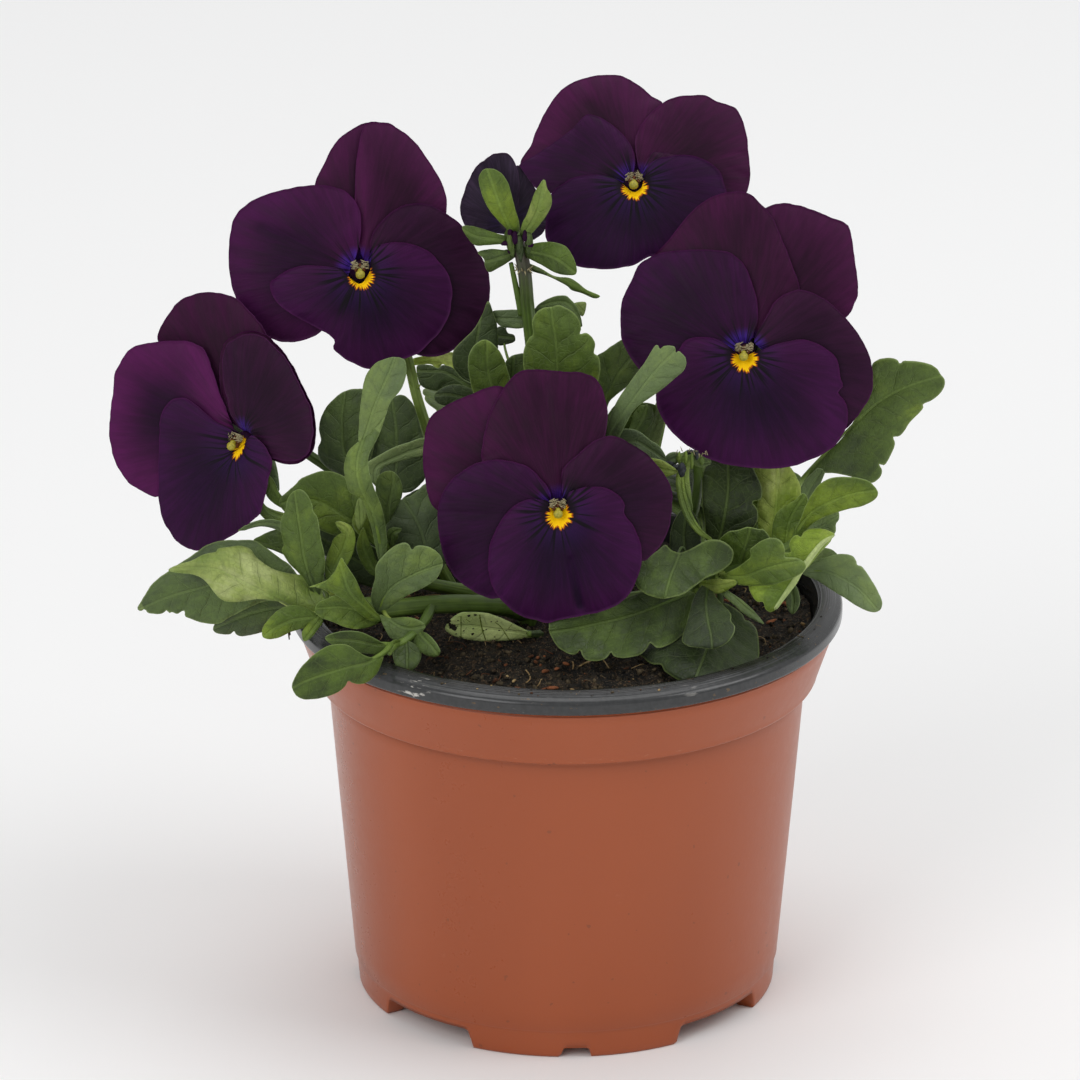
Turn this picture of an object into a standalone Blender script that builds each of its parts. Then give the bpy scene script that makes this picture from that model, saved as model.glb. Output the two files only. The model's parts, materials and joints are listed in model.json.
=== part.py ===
"""Potted horned violet: a plastic pot of soil with leafy shoots, five open flowers, one half-open flower and a spent calyx.

Lengths in the design are millimetres and become metres where meshes are made. The pot's axis is x = y = 0 and the floor is z = 0
until the last step, which centres the whole plant over the origin.

Foliage and petals are laid out as a painter would: by their place in a front elevation seen from 21 degrees above, in
elevation units (about 5.3 to a millimetre, u to the right, v downwards), with a depth y in millimetres (negative is nearer).
"""

import math

import bmesh
import bpy
import numpy as np

# ---------------------------------------------------------------- driving dimensions (mm)
LIP_R = 52.5  # the pot's outer radius at its lip: a 105 mm pot
LIP_INNER_R = 48.2
LIP_TOP_Z = 78.6
LIP_LOW_Z = 75.4
BAND_LOW_Z = 63.3
BAND_LOW_R = 47.8
BODY_TOP_R = 45.4
BODY_LOW_Z = 5.6
BODY_LOW_R = 40.8
FOOT_R = 40.0
FOOT_INNER_R = 36.4
BASE_UNDER_Z = 4.2
WALL = 1.2
FOOT_GAP_Z = 4.0
SOIL_EDGE_Z = 72.8
SOIL_MOUND = 2.6
CLEAR = 0.3
PETAL_THICK = 0.5
LAYER = 1.25  # from one layer of petals to the next
LEAF_THICK = 0.7
DOME = 1 / 150.0  # how quickly a flower's face falls away from its throat

# ---------------------------------------------------------------- the elevation the layout is drawn in
FOCAL = 7809.0
DISTANCE = 1481.4
ELEVATION = math.radians(21.38)
AIM = np.array([-5.04, 0.0, 89.42])
AHEAD = np.array([0.0, math.cos(ELEVATION), -math.sin(ELEVATION)])
ABOVE = np.array([0.0, math.sin(ELEVATION), math.cos(ELEVATION)])
ASIDE = np.array([1.0, 0.0, 0.0])
EYE = AIM - AHEAD * DISTANCE


def sight_line(u, v):
    return AHEAD + ASIDE * ((u - 540.0) / FOCAL) - ABOVE * ((v - 540.0) / FOCAL)


def place(u, v, y):
    """The point at depth y that stands at (u, v) in the elevation."""
    line = sight_line(u, v)
    return EYE + line * ((y - EYE[1]) / line[1])


def seen(point):
    """(u, v, y) of a point."""
    d = np.asarray(point) - EYE
    far = d @ AHEAD
    return np.array([540 + FOCAL * (d @ ASIDE) / far, 540 - FOCAL * (d @ ABOVE) / far, point[1]])


def smooth(rows, ts):
    """A smooth curve through the rows, sampled at ts from 0 to 1. The first three columns set its pace."""
    c = np.asarray(rows, float)
    gap = np.diff(c[:, :3], axis=0) * np.array([1, 1, 3.0])
    s = np.concatenate([[0], np.cumsum(np.linalg.norm(gap, axis=1))])
    s /= s[-1]
    m = np.empty_like(c)
    m[1:-1] = (c[2:] - c[:-2]) / (s[2:] - s[:-2])[:, None]
    m[0] = (c[1] - c[0]) / s[1]
    m[-1] = (c[-1] - c[-2]) / (1 - s[-2])
    ts = np.asarray(ts, float)
    i = np.clip(np.searchsorted(s, ts, "right") - 1, 0, len(c) - 2)
    h = (s[i + 1] - s[i])[:, None]
    k = (ts[:, None] - s[i][:, None]) / h
    return (
        (2 * k**3 - 3 * k**2 + 1) * c[i]
        + (k**3 - 2 * k**2 + k) * h * m[i]
        + (3 * k**2 - 2 * k**3) * c[i + 1]
        + (k**3 - k**2) * h * m[i + 1]
    )


def closed_outline(points, count):
    """count points, evenly along a smooth closed curve through the given ones."""
    p = np.asarray(points, float)
    n = len(p)
    fine = []
    for i in range(n):
        a, b, c, d = p[i - 1], p[i], p[(i + 1) % n], p[(i + 2) % n]
        for k in np.linspace(0, 1, 8, endpoint=False):
            fine.append(
                0.5
                * (2 * b + (c - a) * k + (2 * a - 5 * b + 4 * c - d) * k**2 + (3 * b - a - 3 * c + d) * k**3)
            )
    fine = np.array(fine + [fine[0]])
    s = np.concatenate([[0], np.cumsum(np.linalg.norm(np.diff(fine, axis=0), axis=1))])
    at = np.linspace(0, s[-1], count, endpoint=False)
    return np.stack([np.interp(at, s, fine[:, 0]), np.interp(at, s, fine[:, 1])], axis=1)


# ---------------------------------------------------------------- flowers
# throat (u, v, y), the way the face looks, and each petal's layer (negative is behind) and outline in the elevation.
FLOWERS = {
    "front_flower": dict(
        throat=(558, 511, -27),
        face=(0.02, -0.97, 0.24),
        petals={
            "upper_left": (-2, [(503, 387), (488, 388), (467, 396), (444, 407), (431, 417), (425, 434), (423, 456), (425, 480), (434, 508), (460, 520), (500, 518), (533, 508), (546, 500), (538, 465), (524, 425), (514, 400)]),
            "upper_right": (-1, [(482, 460), (483, 440), (490, 414), (503, 389), (515, 375), (527, 370), (545, 370), (564, 372), (583, 373), (595, 378), (601, 386), (605, 399), (608, 416), (604, 440), (590, 470), (572, 494), (558, 502), (543, 497), (515, 486), (492, 472)]),
            "left": (0, [(551, 499), (547, 488), (538, 477), (524, 465), (510, 460), (485, 461), (469, 469), (450, 486), (440, 506), (440, 523), (443, 544), (448, 563), (459, 581), (475, 593), (496, 598), (512, 588), (527, 562), (540, 535), (549, 512)]),
            "right": (0, [(563, 500), (562, 485), (568, 465), (582, 451), (598, 439), (612, 435), (626, 441), (643, 453), (661, 469), (669, 486), (673, 506), (670, 525), (664, 541), (652, 555), (641, 560), (620, 552), (598, 537), (578, 522), (566, 512)]),
            "lower": (1, [(508, 511), (520, 502), (538, 499), (550, 506), (558, 513), (565, 505), (570, 497), (582, 490), (598, 486), (612, 491), (624, 502), (624, 513), (633, 523), (640, 540), (642, 558), (639, 579), (629, 600), (613, 609), (583, 617), (564, 620), (547, 624), (527, 619), (508, 607), (494, 593), (488, 574), (488, 550), (494, 527)]),
        },
    ),
    "left_flower": dict(
        throat=(240, 442, -6),
        face=(-0.56, -0.8, 0.22),
        dome=0.002,
        bend=dict(left=0.016),
        petals={
            "upper_left": (-2, [(156, 342), (163, 322), (175, 304), (188, 296), (207, 292), (226, 295), (237, 301), (253, 317), (265, 334), (268, 352), (262, 380), (252, 408), (240, 428), (226, 418), (205, 388), (180, 360)]),
            "upper_right": (-1, [(222, 345), (236, 334), (250, 331), (265, 335), (275, 345), (288, 360), (298, 378), (309, 403), (313, 418), (315, 434), (312, 451), (305, 459), (295, 464), (282, 464), (268, 459), (256, 446), (245, 435), (233, 425), (222, 400), (218, 368)]),
            "left": (0, [(156, 342), (131, 348), (118, 364), (112, 378), (111, 399), (108, 434), (111, 453), (116, 467), (125, 480), (135, 488), (156, 497), (176, 482), (198, 457), (218, 442), (231, 434), (225, 410), (214, 380), (204, 353), (196, 345), (184, 341)]),
            "right": (0, [(225, 346), (237, 337), (250, 334), (264, 338), (273, 347), (286, 362), (296, 380), (307, 404), (310, 418), (312, 434), (309, 449), (303, 457), (294, 461), (282, 461), (269, 457), (257, 445), (246, 434), (235, 424), (225, 400), (221, 368)]),
            "lower": (1, [(214, 422), (228, 429), (237, 437), (242, 442), (248, 436), (255, 438), (263, 446), (270, 459), (269, 471), (265, 490), (260, 510), (252, 520), (238, 531), (221, 541), (197, 551), (177, 543), (165, 527), (158, 504), (157, 478), (158, 440), (160, 417), (167, 402), (182, 398), (200, 409)]),
        },
    ),
    "upper_left_flower": dict(
        throat=(360, 272, 9),
        face=(0.06, -0.95, 0.3),
        petals={
            "upper_left": (-2, [(315, 185), (324, 164), (338, 140), (362, 124), (385, 124), (398, 134), (403, 160), (398, 200), (386, 235), (368, 260), (352, 258), (338, 235), (322, 207)]),
            "upper_right": (-1, [(366, 124), (386, 123), (396, 127), (413, 140), (431, 164), (444, 188), (447, 206), (442, 222), (420, 238), (392, 254), (371, 264), (362, 256), (357, 228), (355, 190), (358, 150)]),
            "left": (0, [(358, 250), (361, 228), (359, 208), (349, 194), (333, 187), (310, 185), (279, 191), (255, 199), (237, 214), (230, 234), (229, 264), (234, 294), (249, 317), (264, 335), (279, 341), (295, 342), (311, 338), (322, 331), (334, 311), (343, 290), (350, 272)]),
            "right": (0, [(370, 250), (373, 232), (386, 217), (404, 205), (426, 204), (444, 212), (462, 226), (477, 250), (488, 270), (490, 285), (488, 306), (477, 328), (466, 341), (448, 353), (426, 357), (410, 350), (398, 325), (386, 300), (375, 280), (369, 264)]),
            "lower": (1, [(310, 263), (328, 265), (341, 269), (350, 275), (360, 280), (368, 273), (372, 262), (377, 249), (389, 243), (406, 244), (424, 250), (440, 264), (449, 283), (452, 301), (448, 321), (433, 343), (417, 354), (389, 361), (370, 368), (353, 363), (340, 355), (334, 347), (334, 340), (324, 331), (293, 314), (273, 299), (269, 285), (275, 277), (292, 267)]),
        },
    ),
    "top_flower": dict(
        throat=(634, 184, 22),
        face=(-0.06, -0.84, 0.54),
        petals={
            "upper_left": (-2, [(521, 165), (531, 145), (536, 130), (546, 110), (563, 88), (590, 76), (618, 75), (638, 84), (651, 95), (663, 104), (662, 125), (651, 150), (640, 168), (628, 171), (600, 170), (560, 171)]),
            "upper_right": (-1, [(640, 171), (637, 159), (635, 143), (638, 130), (648, 115), (662, 103), (671, 98), (684, 95), (705, 95), (717, 101), (728, 104), (738, 110), (746, 132), (748, 146), (750, 174), (746, 193), (733, 203), (708, 203), (680, 195), (655, 183)]),
            "left": (0, [(519, 165), (540, 151), (569, 131), (584, 116), (592, 114), (606, 120), (621, 132), (632, 147), (635, 162), (631, 174), (622, 181), (600, 181), (572, 186), (549, 193), (535, 187), (524, 177)]),
            "right": (0, [(642, 178), (645, 162), (652, 152), (664, 152), (690, 158), (712, 170), (722, 184), (716, 198), (698, 203), (670, 199), (650, 190)]),
            "lower": (1, [(612, 175), (622, 180), (630, 186), (637, 189), (643, 183), (646, 172), (655, 161), (671, 155), (687, 153), (702, 156), (716, 165), (724, 177), (727, 190), (718, 208), (700, 228), (675, 246), (649, 259), (635, 264), (609, 269), (593, 268), (580, 266), (565, 257), (552, 246), (545, 234), (546, 220), (550, 206), (552, 195), (559, 187), (571, 179), (585, 174), (600, 173)]),
        },
    ),
    "right_flower": dict(
        throat=(744, 354, -6),
        face=(-0.08, -0.95, 0.28),
        petals={
            "upper_right": (-2, [(760, 338), (757, 300), (758, 250), (762, 215), (768, 207), (782, 203), (797, 205), (815, 211), (830, 217), (845, 223), (850, 231), (854, 253), (858, 288), (855, 303), (846, 318), (825, 330), (798, 340), (775, 345)]),
            "upper_left": (-1, [(648, 264), (654, 255), (671, 237), (689, 214), (708, 199), (728, 192), (747, 193), (760, 203), (771, 216), (782, 239), (791, 263), (798, 281), (799, 296), (784, 314), (766, 330), (750, 340), (736, 332), (710, 308), (678, 284)]),
            "left": (0, [(750, 341), (757, 322), (757, 302), (752, 283), (743, 264), (728, 252), (710, 250), (688, 250), (665, 252), (649, 258), (638, 266), (630, 283), (622, 301), (620, 322), (622, 340), (630, 357), (641, 372), (656, 382), (676, 379), (700, 368), (722, 358), (738, 350)]),
            "right": (0, [(755, 344), (758, 331), (766, 317), (776, 300), (788, 293), (802, 290), (819, 296), (832, 305), (849, 322), (863, 342), (871, 362), (873, 383), (869, 399), (856, 418), (843, 430), (830, 424), (814, 400), (795, 378), (775, 360)]),
            "lower": (1, [(719, 341), (730, 347), (738, 354), (745, 360), (752, 354), (760, 349), (771, 344), (786, 340), (806, 339), (823, 346), (836, 357), (840, 367), (842, 387), (840, 394), (847, 403), (848, 413), (845, 429), (837, 444), (823, 457), (795, 465), (767, 469), (740, 466), (714, 460), (688, 448), (669, 429), (658, 409), (655, 394), (660, 375), (668, 361), (679, 347), (690, 339), (703, 337)]),
        },
    ),
    "turned_flower": dict(
        throat=(506, 214, 12),
        face=(-0.18, 0.86, 0.48),
        dome=-1 / 70.0,
        petals={
            "lower": (-2, [(512, 232), (484, 230), (467, 226), (461, 216), (460, 204), (463, 191), (469, 177), (479, 162), (490, 154), (501, 151), (508, 153), (514, 160), (518, 172), (519, 192), (517, 214)]),
            "left": (-1, [(510, 170), (517, 164), (525, 173), (537, 190), (544, 205), (546, 220), (541, 232), (528, 238), (516, 234), (510, 215), (508, 190)]),
            "right": (0, [(507, 228), (488, 226), (474, 217), (469, 203), (474, 186), (486, 173), (500, 168), (509, 180), (511, 205)]),
            "upper_left": (1, [(512, 224), (510, 200), (511, 182), (520, 178), (532, 190), (538, 206), (535, 222), (523, 229)]),
            "upper_right": (2, [(508, 223), (492, 219), (482, 206), (486, 190), (500, 182), (514, 184), (523, 196), (521, 214)]),
        },
    ),
}

# ---------------------------------------------------------------- stalks, as (u, v, y) from the soil up to the receptacle
STALKS = {
    "front_flower": [(590, 598, -12), (580, 560, -9), (566, 524, -10), (560, 503, -15), (558, 498, -20)],
    "left_flower": [(452, 588, 9), (430, 552, 10), (400, 520, 10), (368, 496, 10), (340, 476, 10), (312, 457, 9), (286, 440, 8), (268, 432, 5)],
    "upper_left_flower": [(492, 590, 10), (462, 530, 10), (440, 470, 9), (427, 430, 9), (416, 395, 11), (408, 361, 14), (396, 325, 18), (378, 288, 20), (364, 262, 17)],
    "top_flower": [(632, 575, 18), (640, 520, 19), (652, 460, 20), (664, 400, 22), (668, 340, 25), (660, 280, 29), (648, 226, 33), (638, 187, 32), (635, 170, 29)],
    "right_flower": [(672, 585, 8), (712, 540, 8), (736, 490, 7), (748, 440, 6), (752, 395, 6), (750, 358, 5), (746, 340, 2)],
    "turned_flower": [(552, 588, 12), (548, 520, 11), (541, 440, 9), (533, 360, 7), (527, 305, 6), (524, 272, 5), (519, 248, 6), (513, 236, 8)],
}
STALK_R = 0.95
STALK_THICK = {"turned_flower": 1.05}

# sepals of the half-open flower: (u, v, y, half width left, half width right) from base to tip
TURNED_SEPALS = [
    [(514, 240, 6, 3, 3), (508, 224, 3, 8, 9), (500, 206, 1, 14, 15), (494, 188, 1, 15, 15), (488, 171, 2, 7, 7)],
    [(519, 242, 6, 3, 3), (530, 226, 3, 9, 9), (539, 207, 1, 11, 10), (544, 182, 1, 2, 2)],
    [(515, 242, 6, 3, 3), (494, 239, 3, 6, 7), (475, 236, 2, 8, 9), (462, 229, 1, 3, 3)],
    [(518, 252, 6, 3, 3), (502, 257, 3, 8, 8), (488, 261, 2, 10, 10), (480, 262, 1, 6, 6)],
    [(520, 250, 6, 3, 3), (538, 253, 3, 11, 11), (556, 258, 0, 14, 13), (575, 272, -1, 5, 5)],
    [(522, 262, 6, 2, 2), (545, 271, 5, 4, 4), (568, 282, 4, 5, 4), (600, 296, 4, 1, 1)],
]

# ---------------------------------------------------------------- leaves: (u, v, y, half width left, half width right)
# from base to tip. Left and right are as seen while walking to the tip. An entry may end with the extra depth of its
# left and right margins.
LEAVES = {
    # single leaves
    "leaf_pale_left": ([(326, 615, -22, 3, 3), (300, 611, -23, 4, 17), (277, 600, -24, 6, 26), (257, 589, -24, 13, 30), (237, 579, -24, 24, 31), (218, 570, -24, 17, 19), (196, 568, -23, 8, 12), (168, 570, -23, 2, 2)], 0, 3),
    "leaf_low_left": ([(322, 602, -16.5, 3, 3), (286, 592, -17, 12, 20), (255, 584, -18, 28, 38), (225, 583, -18, 37, 41), (195, 589, -18, 31, 31), (165, 598, -18, 17, 18), (140, 609, -18, 5, 5)], 0, 2),
    "leaf_over_rim": ([(386, 653, -38, 3, 3), (378, 657, -40, 8, 7), (366, 663, -43, 17, 12), (345, 668, -45, 19, 19), (325, 674, -46, 23, 24), (305, 681, -46, 19, 20), (294, 687, -46, 7, 8)], 2, 0),
    "leaf_round_left": ([(380, 609, -24, 3, 3), (384, 597, -25, 16, 10), (396, 584, -27, 28, 19), (414, 574, -29, 29, 19), (432, 567, -31, 18, 15), (442, 564, -31, 6, 6)], 0, 0),
    "leaf_upright_left": ([(318, 598, -20, 3, 3), (309, 574, -20, 18, 15), (304, 555, -20, 21, 20), (301, 535, -20, 18, 19), (298, 515, -20, 14, 15), (295, 493, -20, 6, 6)], 0, 0),
    "leaf_twisted": ([(381, 556, -15, 3, 3), (379, 535, -15, 5, 5), (371, 508, -16, 8, 8), (359, 482, -17, 13, 13), (358, 458, -16, 13, 13), (367, 430, -15, 8, 8), (375, 405, -15, 14, 14), (386, 380, -14, 17, 18), (394, 360, -13, 8, 8)], 0, 0),
    "leaf_big_right": ([(797, 486, 2, 3, 3), (820, 460, 3, 8, 18), (838, 441, 4, 18, 44), (858, 420, 5, 32, 49), (880, 401, 6, 38, 42), (908, 386, 7, 26, 27), (942, 375, 8, 7, 8)], 2, 0),
    "leaf_right": ([(797, 531, -11, 3, 3), (812, 512, -12, 17, 9), (834, 500, -13, 21, 13), (856, 493, -14, 16, 12), (876, 490, -15, 4, 4)], 0, 0),
    "leaf_low_right": ([(803, 571, -14, 3, 3), (823, 571, -15, 7, 6), (840, 577, -17, 20, 12), (858, 588, -19, 19, 14), (878, 610, -21, 5, 5)], 0, 0),
    "leaf_folded": ([(834, 537, -14, 3, 4), (821, 550, -16, 4, 26), (807, 569, -18, 4, 33), (793, 588, -20, 4, 33), (777, 608, -22, 3, 8)], 4, 3),
    "leaf_kidney": ([(682, 546, -16, 3, 3), (679, 555, -18, 34, 22), (675, 565, -21, 52, 34), (670, 578, -24, 38, 31), (665, 597, -28, 9, 9)], 2, 2),
    "leaf_crenate_front": ([(690, 593, -15, 3, 3), (676, 599, -18, 28, 12), (655, 607, -22, 36, 24), (625, 617, -25, 38, 26), (595, 624, -27, 33, 24), (570, 629, -29, 22, 18), (551, 632, -30, 8, 8)], -4, 3),
    "leaf_dark_front": ([(722, 604, -12, 3, 3), (718, 618, -15.5, 24, 26), (711, 637, -22.5, 44, 49), (704, 656, -29, 43, 47), (695, 679, -35, 12, 12)], 1, 5),
    "leaf_crenate_back": ([(558, 408, -2, 4, 4), (558, 388, -3, 26, 32), (557, 364, -4, 33, 42), (556, 342, -4, 28, 36), (553, 322, -4, 19, 24), (551, 307, -4, 6, 6)], 2, 2),
}

# shoots: the stems (u, v, y) with their radius, and the small leaves grown on them
SHOOTS = {
    "shoot_left": dict(
        stems=[
            ([(528, 612, -6), (505, 606, -10), (470, 604, -14), (430, 605, -18), (390, 609, -21), (352, 613, -22), (332, 612, -21)], 2.0),
            ([(432, 605, -18), (427, 617, -23), (416, 631, -28), (404, 641, -31), (393, 646, -32)], 1.0),
        ],
        leaves=[
            ([(318, 612, -14, 3, 3), (285, 607, -12.5, 15, 12), (252, 613, -13, 20, 17), (214, 628, -12, 6, 6)], 0, 0),
            ([(320, 617, -25, 3, 3), (297, 619, -26, 9, 9), (280, 625, -27, 13, 13), (264, 636, -28, 5, 5)], 0, 0),
            ([(322, 618, -25, 2, 2), (314, 628, -26, 8, 7), (305, 640, -27, 3, 3)], 0, 0),
            ([(386, 617, -26, 3, 3), (400, 626, -28, 11, 11), (412, 628, -29, 11, 11), (425, 626, -30, 3, 3)], 0, 0),
            ([(322, 590, -12, 3, 3), (298, 560, -12, 14, 14), (276, 548, -12, 14, 12), (254, 541, -11, 4, 4)], 0, 0),
            ([(330, 590, -16, 2, 2), (300, 545, -14, 3, 3), (283, 527, -14, 5, 4), (262, 523, -14, 3, 3), (240, 530, -14, 1, 1)], 0, 0),
            ([(340, 600, -21, 2, 2), (334, 572, -18, 9, 9), (345, 545, -17, 13, 10), (347, 531, -17, 6, 6), (336, 522, -17, 2, 2)], 0, 0),
            ([(352, 606, -24, 8, 10), (340, 588, -25, 12, 16), (327, 577, -26, 8, 10), (312, 586, -27, 2, 2)], 0, 0),
            ([(395, 646, -32, 3, 3), (375, 644, -34, 9, 8), (352, 640, -36, 11, 9), (327, 639, -37, 3, 3)], 0, 0),
            ([(406, 640, -31, 3, 3), (407, 650, -32, 13, 13), (407, 662, -33.5, 12, 12), (407, 670, -34.5, 5, 5)], 0, 0),
            ([(417, 630, -28, 3, 3), (423, 637, -31, 10, 10), (431, 645, -33, 10, 9), (438, 654, -34, 3, 3)], 0, 0),
            ([(402, 642, -31, 2, 2), (394, 645, -34, 4, 4), (389, 655, -36, 1, 1)], 0, 0),
            ([(376, 619, -25, 3, 4), (360, 611, -26, 14, 14), (342, 607, -26, 13, 13), (322, 608, -25.5, 5, 5)], 0, 0),
        ],
    ),
    "shoot_left_upright": dict(
        stems=[([(484, 594, 2), (450, 588, -1), (418, 580, -4), (396, 562, -8), (388, 540, -8), (384, 516, -6)], 1.4)],
        leaves=[
            ([(384, 520, -5, 3, 3), (360, 488, 0, 10, 10), (345, 455, 2, 24, 26), (342, 420, 3, 24, 26), (345, 393, 4, 10, 10)], 0, 0),
            ([(386, 520, -4, 3, 3), (396, 470, 2, 12, 12), (396, 430, 4, 20, 20), (392, 400, 5, 9, 9)], 0, 0),
            ([(382, 530, -8, 3, 3), (352, 520, -9, 14, 22), (318, 501, -9, 14, 25), (292, 500, -10, 10, 14), (272, 508, -10, 3, 3)], 0, 0),
            ([(384, 505, -7, 3, 3), (375, 470, -6, 8, 8), (400, 455, -4, 10, 9), (428, 445, -2, 9, 9)], 0, 0),
            ([(388, 528, -10, 3, 3), (389, 505, -11, 13, 13), (393, 484, -11, 12, 12), (393, 473, -11, 4, 4)], 0, 0),
            ([(410, 574, -8, 3, 3), (424, 550, -10, 20, 18), (418, 524, -11, 26, 20), (404, 500, -10, 10, 10)], 0, 0),
            ([(392, 545, -12, 2, 2), (393, 534, -13, 6, 6), (401, 529, -13, 1, 1)], 0, 0),
            ([(392, 553, -11, 2, 2), (372, 540, -11, 3, 3), (361, 524, -12, 8, 8), (361, 508, -12, 4, 4)], 0, 0),
            ([(398, 568, -11, 2, 2), (376, 570, -12, 6, 6), (364, 548, -13, 7, 7), (363, 528, -13, 1, 1)], 0, 0),
            ([(410, 576, -5, 3, 3), (385, 573, -3, 18, 14), (360, 562, -2, 22, 17), (338, 548, -2, 8, 8)], 0, 0),
        ],
    ),
    "leaf_spotted": dict(
        stems=[([(540, 634, -14), (530, 634, -15)], 0.8)],
        leaves=[([(532, 634, -14, 2, 2), (512, 631, -16, 8, 9), (488, 628, -17, 12, 15), (464, 625, -18, 10, 12), (442, 628, -18, 3, 3)], 0, 0)],
    ),
    "shoot_middle": dict(
        stems=[
            ([(566, 600, 3), (566, 520, 0), (560, 450, -1), (548, 405, 0), (520, 392, 2), (500, 396, 3)], 1.3),
            ([(566, 560, 1), (590, 500, -4), (604, 456, -8), (612, 440, -9)], 1.1),
        ],
        leaves=[
            ([(513, 402, 0, 3, 3), (493, 386, -3, 16, 18), (487, 366, -4, 18, 20), (487, 342, -5, 7, 7)], 0, 0),
            ([(520, 392, 3, 2, 2), (503, 340, 8, 3, 3), (512, 317, 9, 7, 7), (540, 306, 8, 9, 10), (566, 302, 7, 8, 10), (581, 320, 6, 4, 4)], 0, 0),
            ([(496, 396, 4, 3, 3), (474, 378, 6, 18, 16), (476, 345, 7, 22, 19), (484, 300, 8, 6, 6)], 0, 0),
            ([(512, 392, 3, 3, 3), (513, 370, 2, 9, 10), (514, 355, 2, 5, 5)], 0, 0),
            ([(500, 397, 3, 3, 3), (470, 386, 2, 11, 11), (445, 372, 2, 12, 12), (431, 371, 2, 6, 6)], 0, 0),
            ([(500, 400, 2, 3, 3), (470, 398, -1, 9, 9), (448, 394, -2, 9, 9), (436, 395, -2, 4, 4)], 0, 0),
            ([(606, 450, -9, 3, 3), (612, 432, -13, 7, 7), (625, 411, -15, 10, 11), (644, 385, -17, 14, 19), (661, 365, -18, 18, 22), (676, 350, -18, 7, 7)], 0, 0),
            ([(598, 470, -5, 3, 3), (600, 415, 2, 6, 6), (612, 385, 3, 19, 16), (627, 362, 4, 22, 22), (646, 345, 5, 8, 8)], 0, 0),
            ([(610, 446, -8, 2, 2), (632, 434, -4, 5, 5), (643, 418, -3, 10, 10), (647, 405, -3, 5, 5)], 0, 0),
            ([(608, 450, -9, 3, 3), (634, 441, -10, 9, 8), (650, 449, -10, 9, 8), (664, 459, -10, 3, 3)], 0, 0),
            ([(606, 458, -9, 2, 2), (640, 462, -11, 5, 5), (662, 469, -12, 8, 8), (678, 472, -12, 1, 1)], 0, 0),
            ([(606, 452, -8, 2, 2), (611, 432, -5, 8, 9), (617, 415, -4, 8, 8), (622, 403, -4, 3, 3)], 0, 0),
            ([(506, 394, 4, 2, 2), (490, 380, 9, 5, 5), (466, 366, 13, 7, 6), (440, 360, 17, 7, 6), (414, 360, 18, 3, 3)], 0, 0),
        ],
    ),
    "shoot_right": dict(
        stems=[([(612, 602, -4), (650, 596, -8), (700, 580, -10), (745, 566, -11), (780, 552, -11), (797, 540, -10), (801, 512, -6)], 1.5)],
        leaves=[
            ([(705, 577, -9, 3, 3), (720, 536, -8, 8, 10), (725, 512, -8, 18, 26), (728, 488, -6, 20, 32), (728, 455, -1, 10, 14)], 0, 0),
            ([(772, 556, -9, 3, 3), (774, 528, -6, 12, 14), (777, 498, -4, 24, 21), (780, 462, -2, 10, 10)], 0, 0),
            ([(800, 518, -6, 2, 2), (808, 492, -3, 8, 8), (822, 469, -2, 4, 4)], 0, 0),
            ([(799, 535, -7, 3, 3), (818, 528, -5, 10, 12), (834, 519, -5, 6, 6)], 0, 0),
            ([(720, 576, -14, 3, 3), (744, 576, -20, 14, 12), (766, 568, -24, 29, 16), (786, 563, -26, 18, 15), (801, 561, -27, 3, 3)], 0, 0),
            ([(700, 584, -14, 3, 3), (718, 586, -17, 7, 7), (737, 582, -19, 2, 2)], 0, 0),
            ([(790, 549, -10, 3, 3), (814, 560, -8, 9, 9), (834, 552, -8, 5, 5)], 0, 0),
            ([(716, 582, -15, 2, 2), (734, 598, -18, 4, 4), (748, 610, -20, 6, 6), (763, 622, -22, 1, 1)], 0, 0),
            ([(772, 562, -14, 2, 2), (788, 582, -15, 4, 4), (793, 598, -16, 8, 7), (792, 613, -17, 3, 3)], 0, 0),
            ([(708, 583, -13, 3, 3), (706, 603, -21, 18, 16), (708, 620, -26.5, 27, 26), (711, 635, -30, 22, 24), (712, 646, -32, 9, 10)], 0, 0),
            ([(738, 568, -11, 3, 3), (743, 552, -12.5, 22, 20), (747, 540, -13, 20, 18), (750, 529, -13.5, 7, 7)], 0, 0),
            ([(786, 550, -10, 3, 3), (787, 532, -8.5, 13, 14), (792, 515, -8, 12, 14), (804, 496, -8, 4, 5)], 0, 0),
            ([(690, 583, -9, 3, 3), (686, 560, -7.5, 14, 14), (684, 535, -7, 15, 14), (686, 512, -7, 6, 6)], 0, 0),
        ],
    ),
    "spent_calyx": dict(
        stems=[([(648, 588, 2), (672, 556, -1), (690, 520, -3), (697, 490, -4), (697, 466, -5), (690, 456, -7), (681, 459, -9)], 0.9)],
        leaves=[
            ([(686, 457, -8, 4, 4), (683, 478, -11, 6, 6), (686, 495, -12, 5, 5), (692, 510, -12, 1, 1)], 0, 0),
            ([(682, 460, -9, 3, 3), (680, 484, -12, 4, 4), (686, 510, -13, 4, 4), (698, 530, -14, 3, 3), (713, 541, -14, 1, 1)], 0, 0),
            ([(692, 456, -7, 3, 3), (700, 462, -8, 5, 5), (711, 462, -8, 2, 2)], 0, 0),
            ([(684, 457, -8, 3, 3), (672, 459, -9, 6, 6), (664, 468, -9, 2, 2)], 0, 0),
        ],
    ),
}

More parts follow.
